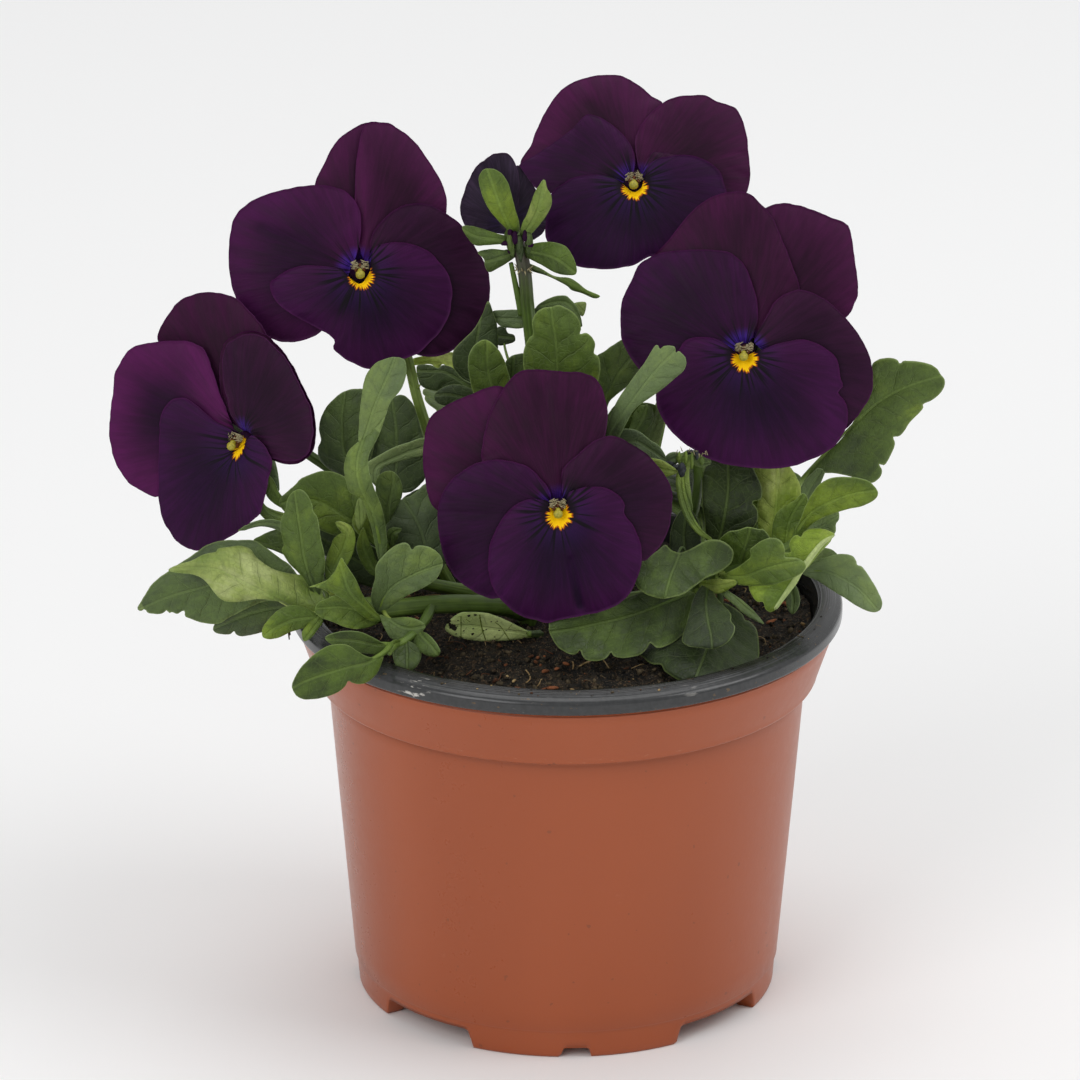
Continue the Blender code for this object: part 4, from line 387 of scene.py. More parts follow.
# the drawn outlines of the leaves, in the elevation's own units; a leaf with none keeps the even shape of its stations
OUTLINES = {
    "leaf_pale_left": [(168, 570), (180, 564), (193, 560), (205, 554), (216, 552), (218, 549), (228, 547), (240, 546), (250, 549), (256, 557), (266, 565), (278, 571), (293, 574), (308, 577), (320, 590), (327, 604), (326, 616), (317, 619), (305, 615), (292, 609), (283, 603), (270, 600), (258, 599), (245, 601), (232, 602), (222, 600), (214, 592), (207, 583), (200, 577), (190, 574), (178, 573)],
    "leaf_low_left": [(138, 607), (142, 600), (149, 588), (159, 578), (170, 570), (185, 560), (197, 552), (207, 545), (220, 541), (240, 540), (255, 541), (268, 549), (278, 557), (290, 565), (300, 578), (315, 590), (325, 601), (318, 606), (295, 603), (275, 601), (262, 602), (250, 607), (240, 612), (228, 618), (221, 623), (215, 624), (205, 623), (196, 621), (189, 618), (185, 616), (185, 611), (182, 611), (177, 614), (172, 612), (169, 613), (167, 610), (163, 613), (157, 614), (148, 613), (145, 609), (141, 611), (138, 609)],
    "leaf_over_rim": [(383, 656), (376, 658), (366, 656), (357, 651), (350, 646), (340, 644), (328, 646), (316, 653), (304, 664), (296, 675), (292, 686), (295, 694), (303, 699), (313, 699), (325, 697), (338, 692), (345, 686), (348, 681), (353, 683), (360, 684), (369, 681), (376, 674), (380, 667)],
    "leaf_round_left": [(377, 612), (371, 600), (372, 590), (375, 578), (376, 566), (383, 556), (393, 547), (402, 543), (408, 544), (412, 550), (416, 546), (424, 546), (433, 549), (440, 555), (443, 563), (441, 571), (436, 579), (425, 587), (412, 593), (400, 600), (390, 607), (383, 613)],
    "leaf_upright_left": [(284, 544), (281, 532), (281, 520), (286, 508), (288, 498), (294, 491), (302, 490), (308, 496), (312, 505), (313, 511), (317, 517), (319, 526), (321, 540), (324, 552), (325, 564), (323, 580), (319, 600), (313, 598), (306, 582), (298, 572), (290, 564), (284, 555), (282, 549)],
    "leaf_twisted": [(359, 441), (367, 434), (376, 427), (385, 416), (381, 430), (376, 441), (370, 452), (368, 462), (370, 475), (374, 488), (379, 500), (383, 512), (386, 530), (387, 545), (384, 560), (379, 560), (375, 545), (372, 530), (367, 514), (363, 501), (356, 496), (349, 491), (346, 481), (344, 469), (345, 461), (348, 452), (353, 446)],
    "leaf_twisted:end": [(359, 442), (359, 425), (360, 410), (362, 395), (364, 382), (368, 372), (376, 363), (385, 359), (395, 357), (403, 359), (406, 364), (406, 375), (403, 385), (399, 392), (392, 400), (388, 408), (385, 417), (376, 428), (368, 436)],
    "leaf_twisted:bract": [(358, 499), (364, 501), (367, 508), (367, 516), (364, 523), (359, 530), (356, 523), (355, 512)],
    "tip:a": [(257, 491), (263, 490), (263, 500), (266, 506), (274, 510), (284, 513), (294, 517), (292, 524), (280, 523), (268, 521), (260, 514), (257, 506), (255, 498)],
    "tip:b": [(269, 476), (274, 481), (279, 492), (284, 498), (294, 506), (290, 511), (278, 506), (269, 499), (265, 491), (268, 484)],
    "tip:c": [(238, 531), (246, 525), (256, 521), (268, 519), (280, 519), (292, 518), (292, 525), (278, 526), (262, 526), (250, 528)],
    "leaf_folded:edge": [(835, 535), (829, 541), (824, 545), (816, 555), (809, 565), (802, 574), (797, 583), (791, 591), (784, 600), (777, 609), (774, 608), (779, 600), (786, 589), (792, 580), (798, 570), (805, 560), (812, 551), (820, 542), (828, 537)],
    "shoot_right:1:back": [(746, 556), (748, 530), (752, 505), (758, 485), (766, 474), (776, 480), (778, 500), (774, 525), (770, 548), (762, 560)],
    "shoot_middle:8:blade": [(608, 430), (609, 419), (615, 410), (624, 405), (636, 403), (648, 403), (656, 406), (655, 413), (647, 420), (640, 428), (630, 429), (620, 429)],
    "shoot_middle:8:band": [(640, 437), (644, 427), (649, 416), (655, 405), (660, 396), (666, 402), (666, 414), (663, 428), (659, 442), (654, 448), (646, 446)],
    "sepal:0": [(479, 182), (480, 174), (485, 169), (493, 169), (501, 173), (508, 183), (512, 197), (516, 212), (519, 222), (519, 232), (514, 234), (506, 228), (498, 220), (489, 209), (483, 197)],
    "sepal:1": [(543, 180), (545.5, 181), (547, 188), (551, 195), (551.5, 204), (547, 214), (540, 224), (532, 233), (524, 240), (520, 236), (522, 224), (527, 214), (531, 203), (535, 192), (540, 184)],
    "sepal:2": [(462, 227), (472, 226), (486, 230), (499, 234), (514, 238), (514, 243), (500, 244), (486, 245), (475, 245), (468, 238)],
    "sepal:3": [(478, 252), (492, 249), (503, 250), (516, 250), (517, 255), (508, 262), (498, 268), (489, 272), (485, 266), (484, 259)],
    "sepal:4": [(519, 248), (528, 246), (536, 243), (551, 242), (565, 246), (572, 255), (576, 265), (576, 274), (566, 275), (554, 272), (542, 265), (530, 259), (520, 254)],
    "sepal:5": [(520, 262), (528, 263), (540, 268), (554, 276), (569, 278), (578, 283), (587, 290), (600, 296), (594, 298), (582, 293), (572, 290), (566, 285), (548, 276), (532, 271), (521, 266)],
    "shoot_middle:1": [(532, 313), (538, 305), (548, 299), (557, 296), (566, 296), (572, 301), (577, 307), (581, 318), (582, 327), (575, 322), (569, 315), (563, 309), (554, 307), (545, 309), (538, 316), (532, 326), (529, 320)],
    "shoot_middle:1:back": [(492, 312), (506, 310), (520, 310), (530, 314), (530, 322), (522, 328), (511, 328), (499, 325)],
    "shoot_middle:1:tip": [(573, 304), (585, 302), (586, 308), (583, 316), (578, 313)],
    "shoot_middle:1:dark": [(498, 327), (505, 328), (508, 333), (514, 335), (515, 341), (508, 344), (498, 345), (495, 336)],
    "leaf_big_right": [(796, 488), (804, 476), (815, 463), (830, 450), (842, 438), (852, 424), (860, 410), (868, 398), (872, 385), (872, 370), (873, 363), (880, 359), (889, 358), (897, 360), (900, 364), (904, 361), (915, 361), (926, 363), (936, 368), (940, 374), (944, 378), (945, 384), (942, 391), (936, 397), (930, 401), (923, 404), (923, 408), (918, 414), (910, 422), (904, 431), (899, 436), (893, 437), (895, 443), (893, 450), (888, 460), (884, 465), (879, 464), (882, 470), (880, 477), (872, 483), (862, 480), (845, 475), (828, 473), (815, 475), (806, 482), (799, 490)],
    "leaf_right": [(795, 532), (800, 520), (806, 505), (812, 494), (820, 484), (832, 478), (845, 477), (858, 478), (868, 481), (875, 487), (878, 494), (874, 500), (862, 506), (848, 509), (835, 513), (822, 518), (812, 524), (802, 534)],
    "leaf_low_right": [(801, 572), (814, 562), (824, 558), (834, 555), (843, 554), (852, 556), (856, 561), (857, 565), (862, 567), (868, 575), (876, 588), (882, 602), (880, 610), (871, 612), (857, 606), (845, 598), (832, 590), (818, 581)],
    "leaf_folded": [(834, 536), (823, 545), (814, 556), (807, 565), (800, 574), (795, 583), (789, 591), (782, 601), (776, 609), (770, 612), (765, 608), (763, 602), (758, 602), (753, 597), (749, 588), (750, 577), (757, 566), (770, 557), (782, 553), (791, 552), (789, 545), (792, 538), (797, 535), (801, 537), (804, 532), (812, 529), (823, 529), (832, 532)],
    "leaf_kidney": [(640, 590), (648, 595), (660, 598.5), (672, 597.5), (684, 594), (692, 588), (700, 582.5), (706, 578), (716, 574), (726, 568), (732, 561), (733.5, 553), (730, 546), (722, 541), (712, 539.5), (703, 542), (695, 546.5), (686, 551), (679, 553), (671, 550), (665, 545), (656, 552), (646, 558), (638, 564), (634, 572), (634, 582)],
    "leaf_crenate_front": [(549, 629), (551, 636), (556, 645), (562, 650), (570, 654), (576, 654), (580, 650), (582, 655), (587, 660), (597, 661), (605, 659), (609, 655), (611, 652), (614, 656), (622, 658), (632, 657), (641, 654), (647, 648), (650, 643), (653, 645), (658, 648), (668, 645), (678, 639), (687, 629), (690, 622), (694, 614), (697, 602), (694, 593), (680, 589), (650, 590), (620, 600), (600, 610), (575, 617), (560, 618), (550, 621)],
    "leaf_dark_front": [(640, 652), (645, 659), (652, 664), (661, 665), (664, 670), (670, 675), (678, 680), (688, 682), (696, 680), (706, 677), (720, 674), (736, 672), (750, 666), (758, 660), (759, 648), (758, 636), (755, 627), (749, 621), (745, 620), (740, 612), (724, 603), (705, 604), (685, 615), (660, 636)],
    "leaf_crenate_back": [(524, 372), (523, 358), (525, 346), (529, 338), (533, 334), (532, 322), (536, 313), (543, 308), (551, 307), (558, 305), (566, 308), (573, 312), (579, 320), (581, 328), (580, 334), (586, 333), (592, 337), (595, 344), (594, 353), (598, 356), (600, 363), (600, 373), (597, 383), (588, 400), (560, 410), (532, 398), (525, 384)],
    "shoot_left:0": [(213, 628), (217, 622), (228, 616), (245, 608), (262, 600), (280, 597), (300, 602), (318, 611), (312, 618), (292, 622), (274, 628), (262, 632), (250, 635), (241, 636), (236, 634), (234, 631), (230, 634), (221, 634), (215, 632)],
    "shoot_left:1": [(262, 634), (263, 627), (269, 619), (277, 611), (288, 606), (300, 606), (312, 611), (321, 617), (312, 624), (300, 629), (290, 632), (280, 637), (271, 639), (264, 638)],
    "shoot_left:2": [(303, 640), (302, 632), (307, 625), (314, 618), (321, 616), (323, 622), (318, 629), (312, 637), (306, 641)],
    "shoot_left:3": [(380, 615), (390, 618), (405, 617), (416, 619), (424, 624), (425, 628), (418, 635), (407, 640), (397, 641), (390, 637), (384, 627)],
    "shoot_left:4": [(253, 541), (262, 535), (274, 530), (288, 528), (297, 533), (306, 546), (318, 570), (326, 590), (320, 595), (308, 582), (296, 567), (287, 557), (275, 551), (264, 547)],
    "shoot_left:7": [(309, 587), (320, 583), (330, 578), (337, 568), (341, 558), (345, 563), (351, 572), (357, 582), (361, 596), (358, 608), (350, 612), (336, 601), (326, 591), (318, 587)],
    "shoot_left:7:fold": [(316, 587), (326, 581), (335, 571), (341, 558), (345, 563), (351, 572), (357, 582), (361, 591), (366, 600), (373, 609), (382, 619), (374, 622), (364, 617), (353, 608), (343, 600), (333, 593), (324, 589)],
    "shoot_left:8": [(325, 638), (331, 634), (345, 631), (360, 632), (372, 637), (383, 643), (394, 648), (386, 655), (372, 654), (358, 652), (342, 648), (331, 644)],
    "shoot_left:9": [(393, 652), (397, 645), (405, 641), (413, 643), (420, 650), (421, 658), (416, 667), (408, 672), (399, 669), (394, 661)],
    "shoot_left:10": [(410, 641), (414, 633), (424, 632), (433, 639), (440, 650), (438, 656), (429, 656), (418, 650)],
    "shoot_left_upright:0": [(321, 440), (319, 428), (322, 415), (328, 405), (336, 397), (345, 391), (355, 389), (366, 390), (374, 402), (376, 430), (372, 455), (364, 478), (352, 480), (338, 474), (326, 467), (319, 458), (318, 448)],
    "shoot_left_upright:1": [(400, 395), (408, 398), (414, 406), (418, 418), (422, 432), (426, 448), (428, 466), (424, 480), (410, 492), (394, 490), (378, 474), (366, 458), (362, 440), (368, 425), (379, 410), (389, 400)],
    "shoot_left_upright:2": [(279, 501), (288, 491), (296, 484), (302, 478), (312, 474), (322, 471), (333, 472), (345, 477), (356, 488), (372, 510), (383, 530), (372, 540), (352, 540), (328, 533), (302, 522), (285, 512)],
    "shoot_left_upright:3": [(372, 482), (366, 474), (366, 464), (380, 455), (395, 447), (410, 442), (424, 438), (430, 446), (424, 455), (412, 458), (398, 462), (387, 466), (380, 472), (380, 490)],
    "shoot_left_upright:4": [(376, 482), (382, 473), (391, 471), (398, 476), (402, 485), (402, 496), (398, 504), (393, 514), (388, 528), (382, 524), (377, 504)],
    "shoot_left_upright:5": [(386, 532), (388, 518), (393, 508), (400, 500), (410, 496), (418, 490), (425, 484), (436, 480), (446, 500), (448, 530), (446, 560), (436, 576), (415, 580), (399, 567), (390, 550)],
    "shoot_middle:0": [(473, 392), (470, 380), (468, 366), (469, 355), (473, 347), (480, 341), (487, 340), (494, 345), (500, 352), (505, 362), (509, 375), (514, 392), (506, 402), (488, 401), (477, 397)],
    "shoot_middle:2": [(488, 301), (493, 312), (497, 325), (498, 345), (498, 365), (500, 390), (484, 398), (470, 392), (460, 379), (453, 366), (453, 352), (458, 345), (465, 338), (474, 329), (482, 315)],
    "shoot_middle:3": [(505, 364), (510, 357), (518, 354), (525, 355), (528, 372), (524, 390), (512, 394), (507, 378)],
    "shoot_middle:4": [(417, 366), (430, 365), (438, 368), (443, 365), (453, 368), (462, 378), (478, 386), (500, 394), (496, 400), (470, 397), (450, 392), (432, 390), (420, 384)],
    "shoot_middle:5": [(434, 396), (440, 389), (450, 385), (462, 385), (475, 390), (500, 398), (496, 404), (475, 407), (450, 406), (438, 403)],
    "shoot_middle:6": [(604, 452), (605, 436), (609, 420), (615, 405), (622, 393), (630, 382), (639, 370), (645, 362), (651, 352), (655, 346), (658, 345), (660, 349), (664, 346), (672, 346), (675, 348), (676, 353), (679, 351), (685, 357), (686, 364), (683, 371), (675, 378), (668, 384), (658, 392), (648, 399), (642, 403), (634, 410), (628, 420), (620, 436), (612, 453)],
    "shoot_middle:7": [(596, 357), (605, 351), (613, 345), (625, 339), (636, 345), (644, 354), (642, 366), (635, 378), (625, 388), (615, 396), (608, 405), (604, 430), (601, 468), (595, 466), (592, 430), (590, 400), (591, 375)],
    "shoot_middle:9": [(606, 449), (612, 436), (620, 430), (630, 429), (640, 432), (650, 440), (658, 445), (664, 453), (666, 461), (655, 462), (645, 457), (632, 451), (618, 452)],
    "shoot_right:0": [(702, 482), (704, 470), (710, 460), (720, 452), (735, 452), (750, 462), (757, 476), (762, 488), (761, 499), (753, 502), (757, 509), (758, 519), (754, 527), (745, 531), (735, 532), (724, 545), (712, 578), (704, 577), (706, 548), (705, 525), (702, 503)],
    "shoot_right:1": [(754, 466), (766, 458), (780, 459), (791, 468), (799, 482), (801, 493), (795, 501), (786, 508), (780, 516), (778, 528), (780, 538), (777, 556), (770, 556), (763, 542), (758, 527), (757, 508), (760, 490), (757, 478)],
    "shoot_right:3": [(799, 536), (808, 526), (818, 520), (828, 514), (838, 511), (839, 519), (836, 524), (835, 533), (826, 537), (815, 538)],
    "shoot_right:4": [(712, 580), (720, 577), (728, 572), (738, 567), (746, 561), (751, 556), (750, 550), (754, 546), (761, 541), (770, 538), (778, 539), (783, 544), (785, 551), (785, 557), (795, 558), (803, 561), (806, 566), (803, 572), (795, 577), (785, 581), (775, 584), (760, 585.5), (745, 585.5), (730, 583), (720, 582)],
    "shoot_right:6": [(789, 550), (800, 552), (815, 548), (826, 548), (834, 551), (838, 557), (830, 561), (815, 566), (800, 560)],
    "shoot_right:7": [(715, 581), (724, 588), (733, 594), (742, 600), (752, 609), (760, 618), (764, 624), (756, 621), (744, 614), (733, 604), (724, 596)],
    "shoot_right:8": [(770, 562), (780, 570), (790, 578), (797, 588), (800, 600), (797, 610), (792, 614), (787, 607), (784, 592), (777, 578)],
    "shoot_right:9": [(682, 640), (688, 646), (700, 648), (713, 649), (724, 645), (732, 637), (735, 627), (731, 621), (731, 614), (724, 606), (716, 597), (710, 583), (703, 584), (694, 597), (690, 610), (686, 625)],
    "shoot_right:10": [(740, 570), (724, 567), (716, 560), (714, 550), (719, 540), (728, 532), (738, 530), (748, 527), (758, 529), (764, 530), (770, 538), (769, 546), (762, 553), (752, 560), (744, 570)],
    "shoot_right:11": [(784, 552), (773, 545), (772, 530), (776, 514), (785, 506), (795, 500), (803, 493), (808, 500), (806, 515), (802, 530), (797, 542), (789, 552)],
    "shoot_right:12": [(688, 585), (674, 570), (670, 550), (671, 530), (678, 514), (686, 508), (694, 513), (700, 528), (701, 548), (698, 568), (693, 584)],
    "shoot_left:12": [(379, 621), (372, 626), (358, 629), (345, 627), (333, 622), (322, 618), (315, 612), (318, 603), (328, 598), (342, 593), (356, 592), (367, 600), (375, 610)],
    "shoot_left_upright:9": [(412, 578), (398, 590), (376, 588), (352, 580), (336, 562), (320, 552), (313, 540), (320, 529), (334, 530), (346, 536), (360, 540), (376, 548), (398, 558)],
    "shoot_middle:12": [(507, 395), (492, 385), (470, 372), (452, 369), (443, 364), (438, 369), (430, 364), (413, 365), (412, 359), (430, 355), (445, 352), (462, 355), (480, 366), (498, 380), (508, 390)],
    "leaf_spotted:0": [(540, 636), (530, 632), (518, 626), (506, 620), (496, 616), (486, 613), (470, 612), (460, 613), (451, 619), (445, 628), (452, 635), (466, 639), (481, 641), (496, 641), (512, 640), (528, 638)],
}


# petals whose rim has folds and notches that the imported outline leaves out
FINER = {
    ("front_flower", "left"): [(551, 500), (549, 490), (541, 479), (531, 469), (517, 463), (499, 460), (482, 462), (469, 467), (455, 477), (443, 492), (438, 509), (438, 527), (441, 546), (446, 562), (454, 576), (468, 588), (482, 596), (496, 599), (514, 588), (528, 562), (540, 535), (549, 514)],
    ("front_flower", "right"): [(563, 500), (562, 485), (563, 469), (578, 455), (590, 444), (604, 437), (617, 437), (631, 444), (645, 453), (657, 465), (666, 477), (672, 492), (672, 509), (669, 528), (662, 544), (652, 555), (642, 561), (620, 552), (598, 537), (578, 522), (567, 512)],
    ("front_flower", "lower"): [(506, 514), (517, 504), (527, 500), (538, 500), (547, 501), (552, 508), (558, 512), (565, 505), (569, 493), (583, 488), (597, 487), (610, 490), (620, 497), (625, 505), (624, 512), (628, 519), (634, 527), (640, 542), (642, 558), (639, 574), (631, 592), (619, 604), (601, 612), (582, 616), (561, 620), (548, 623), (538, 621), (520, 616), (508, 607), (497, 595), (490, 579), (488, 562), (490, 544), (497, 528)],
    ("upper_left_flower", "lower"): [(371, 261), (375, 248), (384, 244), (397, 242), (411, 244), (428, 251), (439, 261), (448, 274), (452, 288), (452, 301), (449, 315), (440, 332), (429, 344), (417, 354), (404, 359), (385, 368), (368, 369), (357, 365), (346, 360), (339, 354), (333, 348), (335, 341), (329, 335), (322, 331), (306, 322), (288, 312), (275, 300), (270, 284), (275, 278), (288, 270), (302, 266), (324, 266), (342, 270), (350, 278), (361, 284), (370, 272)],
    ("top_flower", "lower"): [(618, 179), (609, 175), (590, 174), (574, 177), (562, 184), (552, 192), (546, 209), (545, 226), (547, 240), (560, 255), (576, 265), (593, 268), (609, 269), (624, 267), (635, 264), (649, 256), (675, 250), (700, 234), (720, 213), (727, 196), (724, 182), (720, 171), (710, 162), (696, 156), (681, 154), (668, 156), (656, 159), (648, 165), (645, 173), (643, 183), (634, 190), (625, 184)],
    ("right_flower", "lower"): [(678, 350), (684, 342), (693, 338), (706, 337), (719, 340), (728, 346), (741, 358), (751, 354), (764, 349), (777, 344), (797, 340), (810, 341), (825, 348), (834, 355), (839, 366), (840, 379), (843, 386), (838, 393), (844, 400), (848, 411), (847, 424), (841, 437), (830, 450), (813, 459), (793, 466), (773, 469), (751, 468), (730, 465), (714, 461), (701, 455), (680, 440), (665, 424), (657, 407), (656, 390), (662, 368)],
}
for (flower_name, side), line in FINER.items():
    FLOWERS[flower_name]["petals"][side] = (FLOWERS[flower_name]["petals"][side][0], line)



# ---------------------------------------------------------------- building meshes
class Build:
    """Collects points (mm), faces, one material index a face and a few numbers a point, and makes one object of them."""

    KEYS = ("tone", "grey", "under", "edge", "halo")

    def __init__(self):
        self.points, self.faces, self.slots, self.plan = [], [], [], []
        self.numbers = {k: [] for k in self.KEYS}
        self.count = 0

    def add(self, points, faces, slot=0, plan=None, **numbers):
        points = np.asarray(points, float).reshape(-1, 3)
        n = len(points)
        self.points.append(points)
        base = self.count
        self.faces.extend([tuple(i + base for i in f) for f in faces])
        if np.isscalar(slot):
            self.slots.extend([slot] * len(faces))
        else:
            self.slots.extend(slot)
        self.plan.append(np.zeros((n, 2)) if plan is None else np.asarray(plan, float).reshape(-1, 2))
        for k in self.KEYS:
            self.numbers[k].append(np.broadcast_to(np.asarray(numbers.get(k, 0.0), float).reshape(-1), (n,)))
        self.count += n
        return base

    def finish(self, name, materials, node=None):
        points = (np.vstack(self.points) + SHIFT) * 0.001
        mesh = bpy.data.meshes.new(name)
        mesh.from_pydata(points.tolist(), [], self.faces)
        for m in materials:
            mesh.materials.append(m)
        mesh.polygons.foreach_set("material_index", self.slots)
        plan = np.vstack(self.plan)
        uv = mesh.uv_layers.new(name="plan")
        loops = np.zeros(len(mesh.loops), np.int32)
        mesh.loops.foreach_get("vertex_index", loops)
        uv.data.foreach_set("uv", plan[loops].astype(np.float32).ravel())
        for k in self.KEYS:
            mesh.attributes.new(k, "FLOAT", "POINT").data.foreach_set("value", np.concatenate(self.numbers[k]).astype(np.float32))
        mesh.update()
        mesh.shade_smooth()
        obj = bpy.data.objects.new(name, mesh)
        bpy.context.scene.collection.objects.link(obj)
        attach(obj, "root")
        if node:
            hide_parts(*([node] if isinstance(node, str) else node))
        return obj


def grid_faces(rows, columns, flip=False):
    faces = []
    for i in range(rows - 1):
        for j in range(columns - 1):
            f = (i * columns + j, i * columns + j + 1, (i + 1) * columns + j + 1, (i + 1) * columns + j)
            faces.append(f[::-1] if flip else f)
    return faces


def grid_normals(grid):
    along = np.gradient(grid, axis=0)
    across = np.gradient(grid, axis=1)
    n = np.cross(across, along)
    return n / (np.linalg.norm(n, axis=2, keepdims=True) + 1e-12)


def tube(build, path, radius, slot=0, sides=12, ribs=0, rib_depth=0.08, tone=0.5, grey=0.2, cap=True):
    """A closed tube along the path, with lengthwise ribs where asked."""
    path = np.asarray(path, float)
    n = len(path)
    radius = np.broadcast_to(np.asarray(radius, float), (n,))
    along = np.gradient(path, axis=0)
    along /= np.linalg.norm(along, axis=1)[:, None]
    side = np.cross(along[0], [0.3, 0.5, 0.8])
    side /= np.linalg.norm(side)
    rings = []
    angle = np.linspace(0, 2 * math.pi, sides, endpoint=False)
    for i in range(n):
        side = side - along[i] * (side @ along[i])
        side /= np.linalg.norm(side)
        other = np.cross(along[i], side)
        r = radius[i] * (1 + rib_depth * np.cos(angle * ribs) if ribs else np.ones(sides))
        rings.append(path[i] + r[:, None] * (np.cos(angle)[:, None] * side + np.sin(angle)[:, None] * other))
    points = np.vstack(rings)
    faces = []
    for i in range(n - 1):
        for j in range(sides):
            k = (j + 1) % sides
            faces.append((i * sides + j, i * sides + k, (i + 1) * sides + k, (i + 1) * sides + j))
    if cap:
        faces.append(tuple(range(sides))[::-1])
        faces.append(tuple((n - 1) * sides + j for j in range(sides)))
    length = np.concatenate([[0], np.cumsum(np.linalg.norm(np.diff(path, axis=0), axis=1))])
    plan = np.stack([np.repeat(length, sides) / 60, np.tile(angle / 6.283, n)], axis=1)
    tone = np.repeat(np.broadcast_to(np.asarray(tone, float), (n,)), sides)
    grey = np.repeat(np.broadcast_to(np.asarray(grey, float), (n,)), sides)
    build.add(points, faces, slot, plan, tone=tone, grey=grey, edge=0.0)


def blob(build, centre, axes, size, slot=0, rows=8, columns=12, tone=0.5, grey=0.2, bumpy=0.0, seed=0):
    """A closed ball stretched along three axes."""
    rng = np.random.default_rng(seed)
    points, faces = [[0, 0, 1.0]], []
    for i in range(1, rows):
        a = math.pi * i / rows
        for j in range(columns):
            b = 2 * math.pi * j / columns
            points.append([math.sin(a) * math.cos(b), math.sin(a) * math.sin(b), math.cos(a)])
    points.append([0, 0, -1.0])
    last = len(points) - 1
    for j in range(columns):
        k = (j + 1) % columns
        faces.append((0, 1 + j, 1 + k))
        for i in range(rows - 2):
            a, b = 1 + i * columns, 1 + (i + 1) * columns
            faces.append((a + j, b + j, b + k, a + k))
        base = 1 + (rows - 2) * columns
        faces.append((base + j, last, base + k))
    p = np.array(points)
    if bumpy:
        p *= 1 + bumpy * rng.standard_normal((len(p), 1))
    p = p * np.asarray(size, float)
    build.add(np.asarray(centre) + p @ np.asarray(axes, float), faces, slot, tone=tone, grey=grey)


# ---------------------------------------------------------------- leaves
def leaf_sheet(build, grid, thick, slot_top=0, tone=0.5, grey=0.2, widths=None, face_towards=None, swap=False):
    """Closes a grid of points (along, across) into a thin leaf, and records where on the leaf each point is."""
    n = grid_normals(grid)
    if face_towards is not None and (n.reshape(-1, 3) @ np.asarray(face_towards)).mean() < 0:
        grid = grid[:, ::-1]
        n = grid_normals(grid)
        widths = None if widths is None else -widths[:, ::-1]
    rows, columns = grid.shape[:2]
    s = np.linspace(-1, 1, columns)
    taper = np.clip(1.15 - np.abs(s) ** 3, 0.35, 1)[None, :, None]
    top = grid + n * thick / 2 * taper
    bottom = grid - n * thick / 2 * taper
    length = np.concatenate([[0], np.cumsum(np.linalg.norm(np.diff(grid[:, columns // 2], axis=0), axis=1))])
    across = widths if widths is not None else np.linalg.norm(grid - grid[:, columns // 2][:, None], axis=2) * np.sign(s)[None, :]
    plan = np.stack([np.broadcast_to(length[:, None] / 60, (rows, columns)), across / 60 + 0.5], axis=2).reshape(-1, 2)
    t = np.linspace(0, 1, rows)
    edge = np.maximum(np.abs(s)[None, :], (t**8)[:, None]).reshape(-1)
    count = rows * columns
    faces = grid_faces(rows, columns, flip=False)
    bottom_faces = [tuple(i + count for i in f[::-1]) for f in faces]
    rim = []
    border = [j for j in range(columns)] + [i * columns + columns - 1 for i in range(1, rows)]
    border += [(rows - 1) * columns + j for j in range(columns - 2, -1, -1)] + [i * columns for i in range(rows - 2, 0, -1)]
    for a, b in zip(border, border[1:] + border[:1]):
        rim.append((b, a, a + count, b + count))
    upper, lower = (0.0, 1.0) if not swap else (1.0, 0.0)
    build.add(
        np.vstack([top.reshape(-1, 3), bottom.reshape(-1, 3)]),
        faces + bottom_faces + rim,
        slot_top,
        np.vstack([plan, plan]),
        tone=tone,
        grey=grey,
        under=np.concatenate([np.full(count, upper), np.full(count, lower)]),
        edge=np.concatenate([edge, edge]),
    )


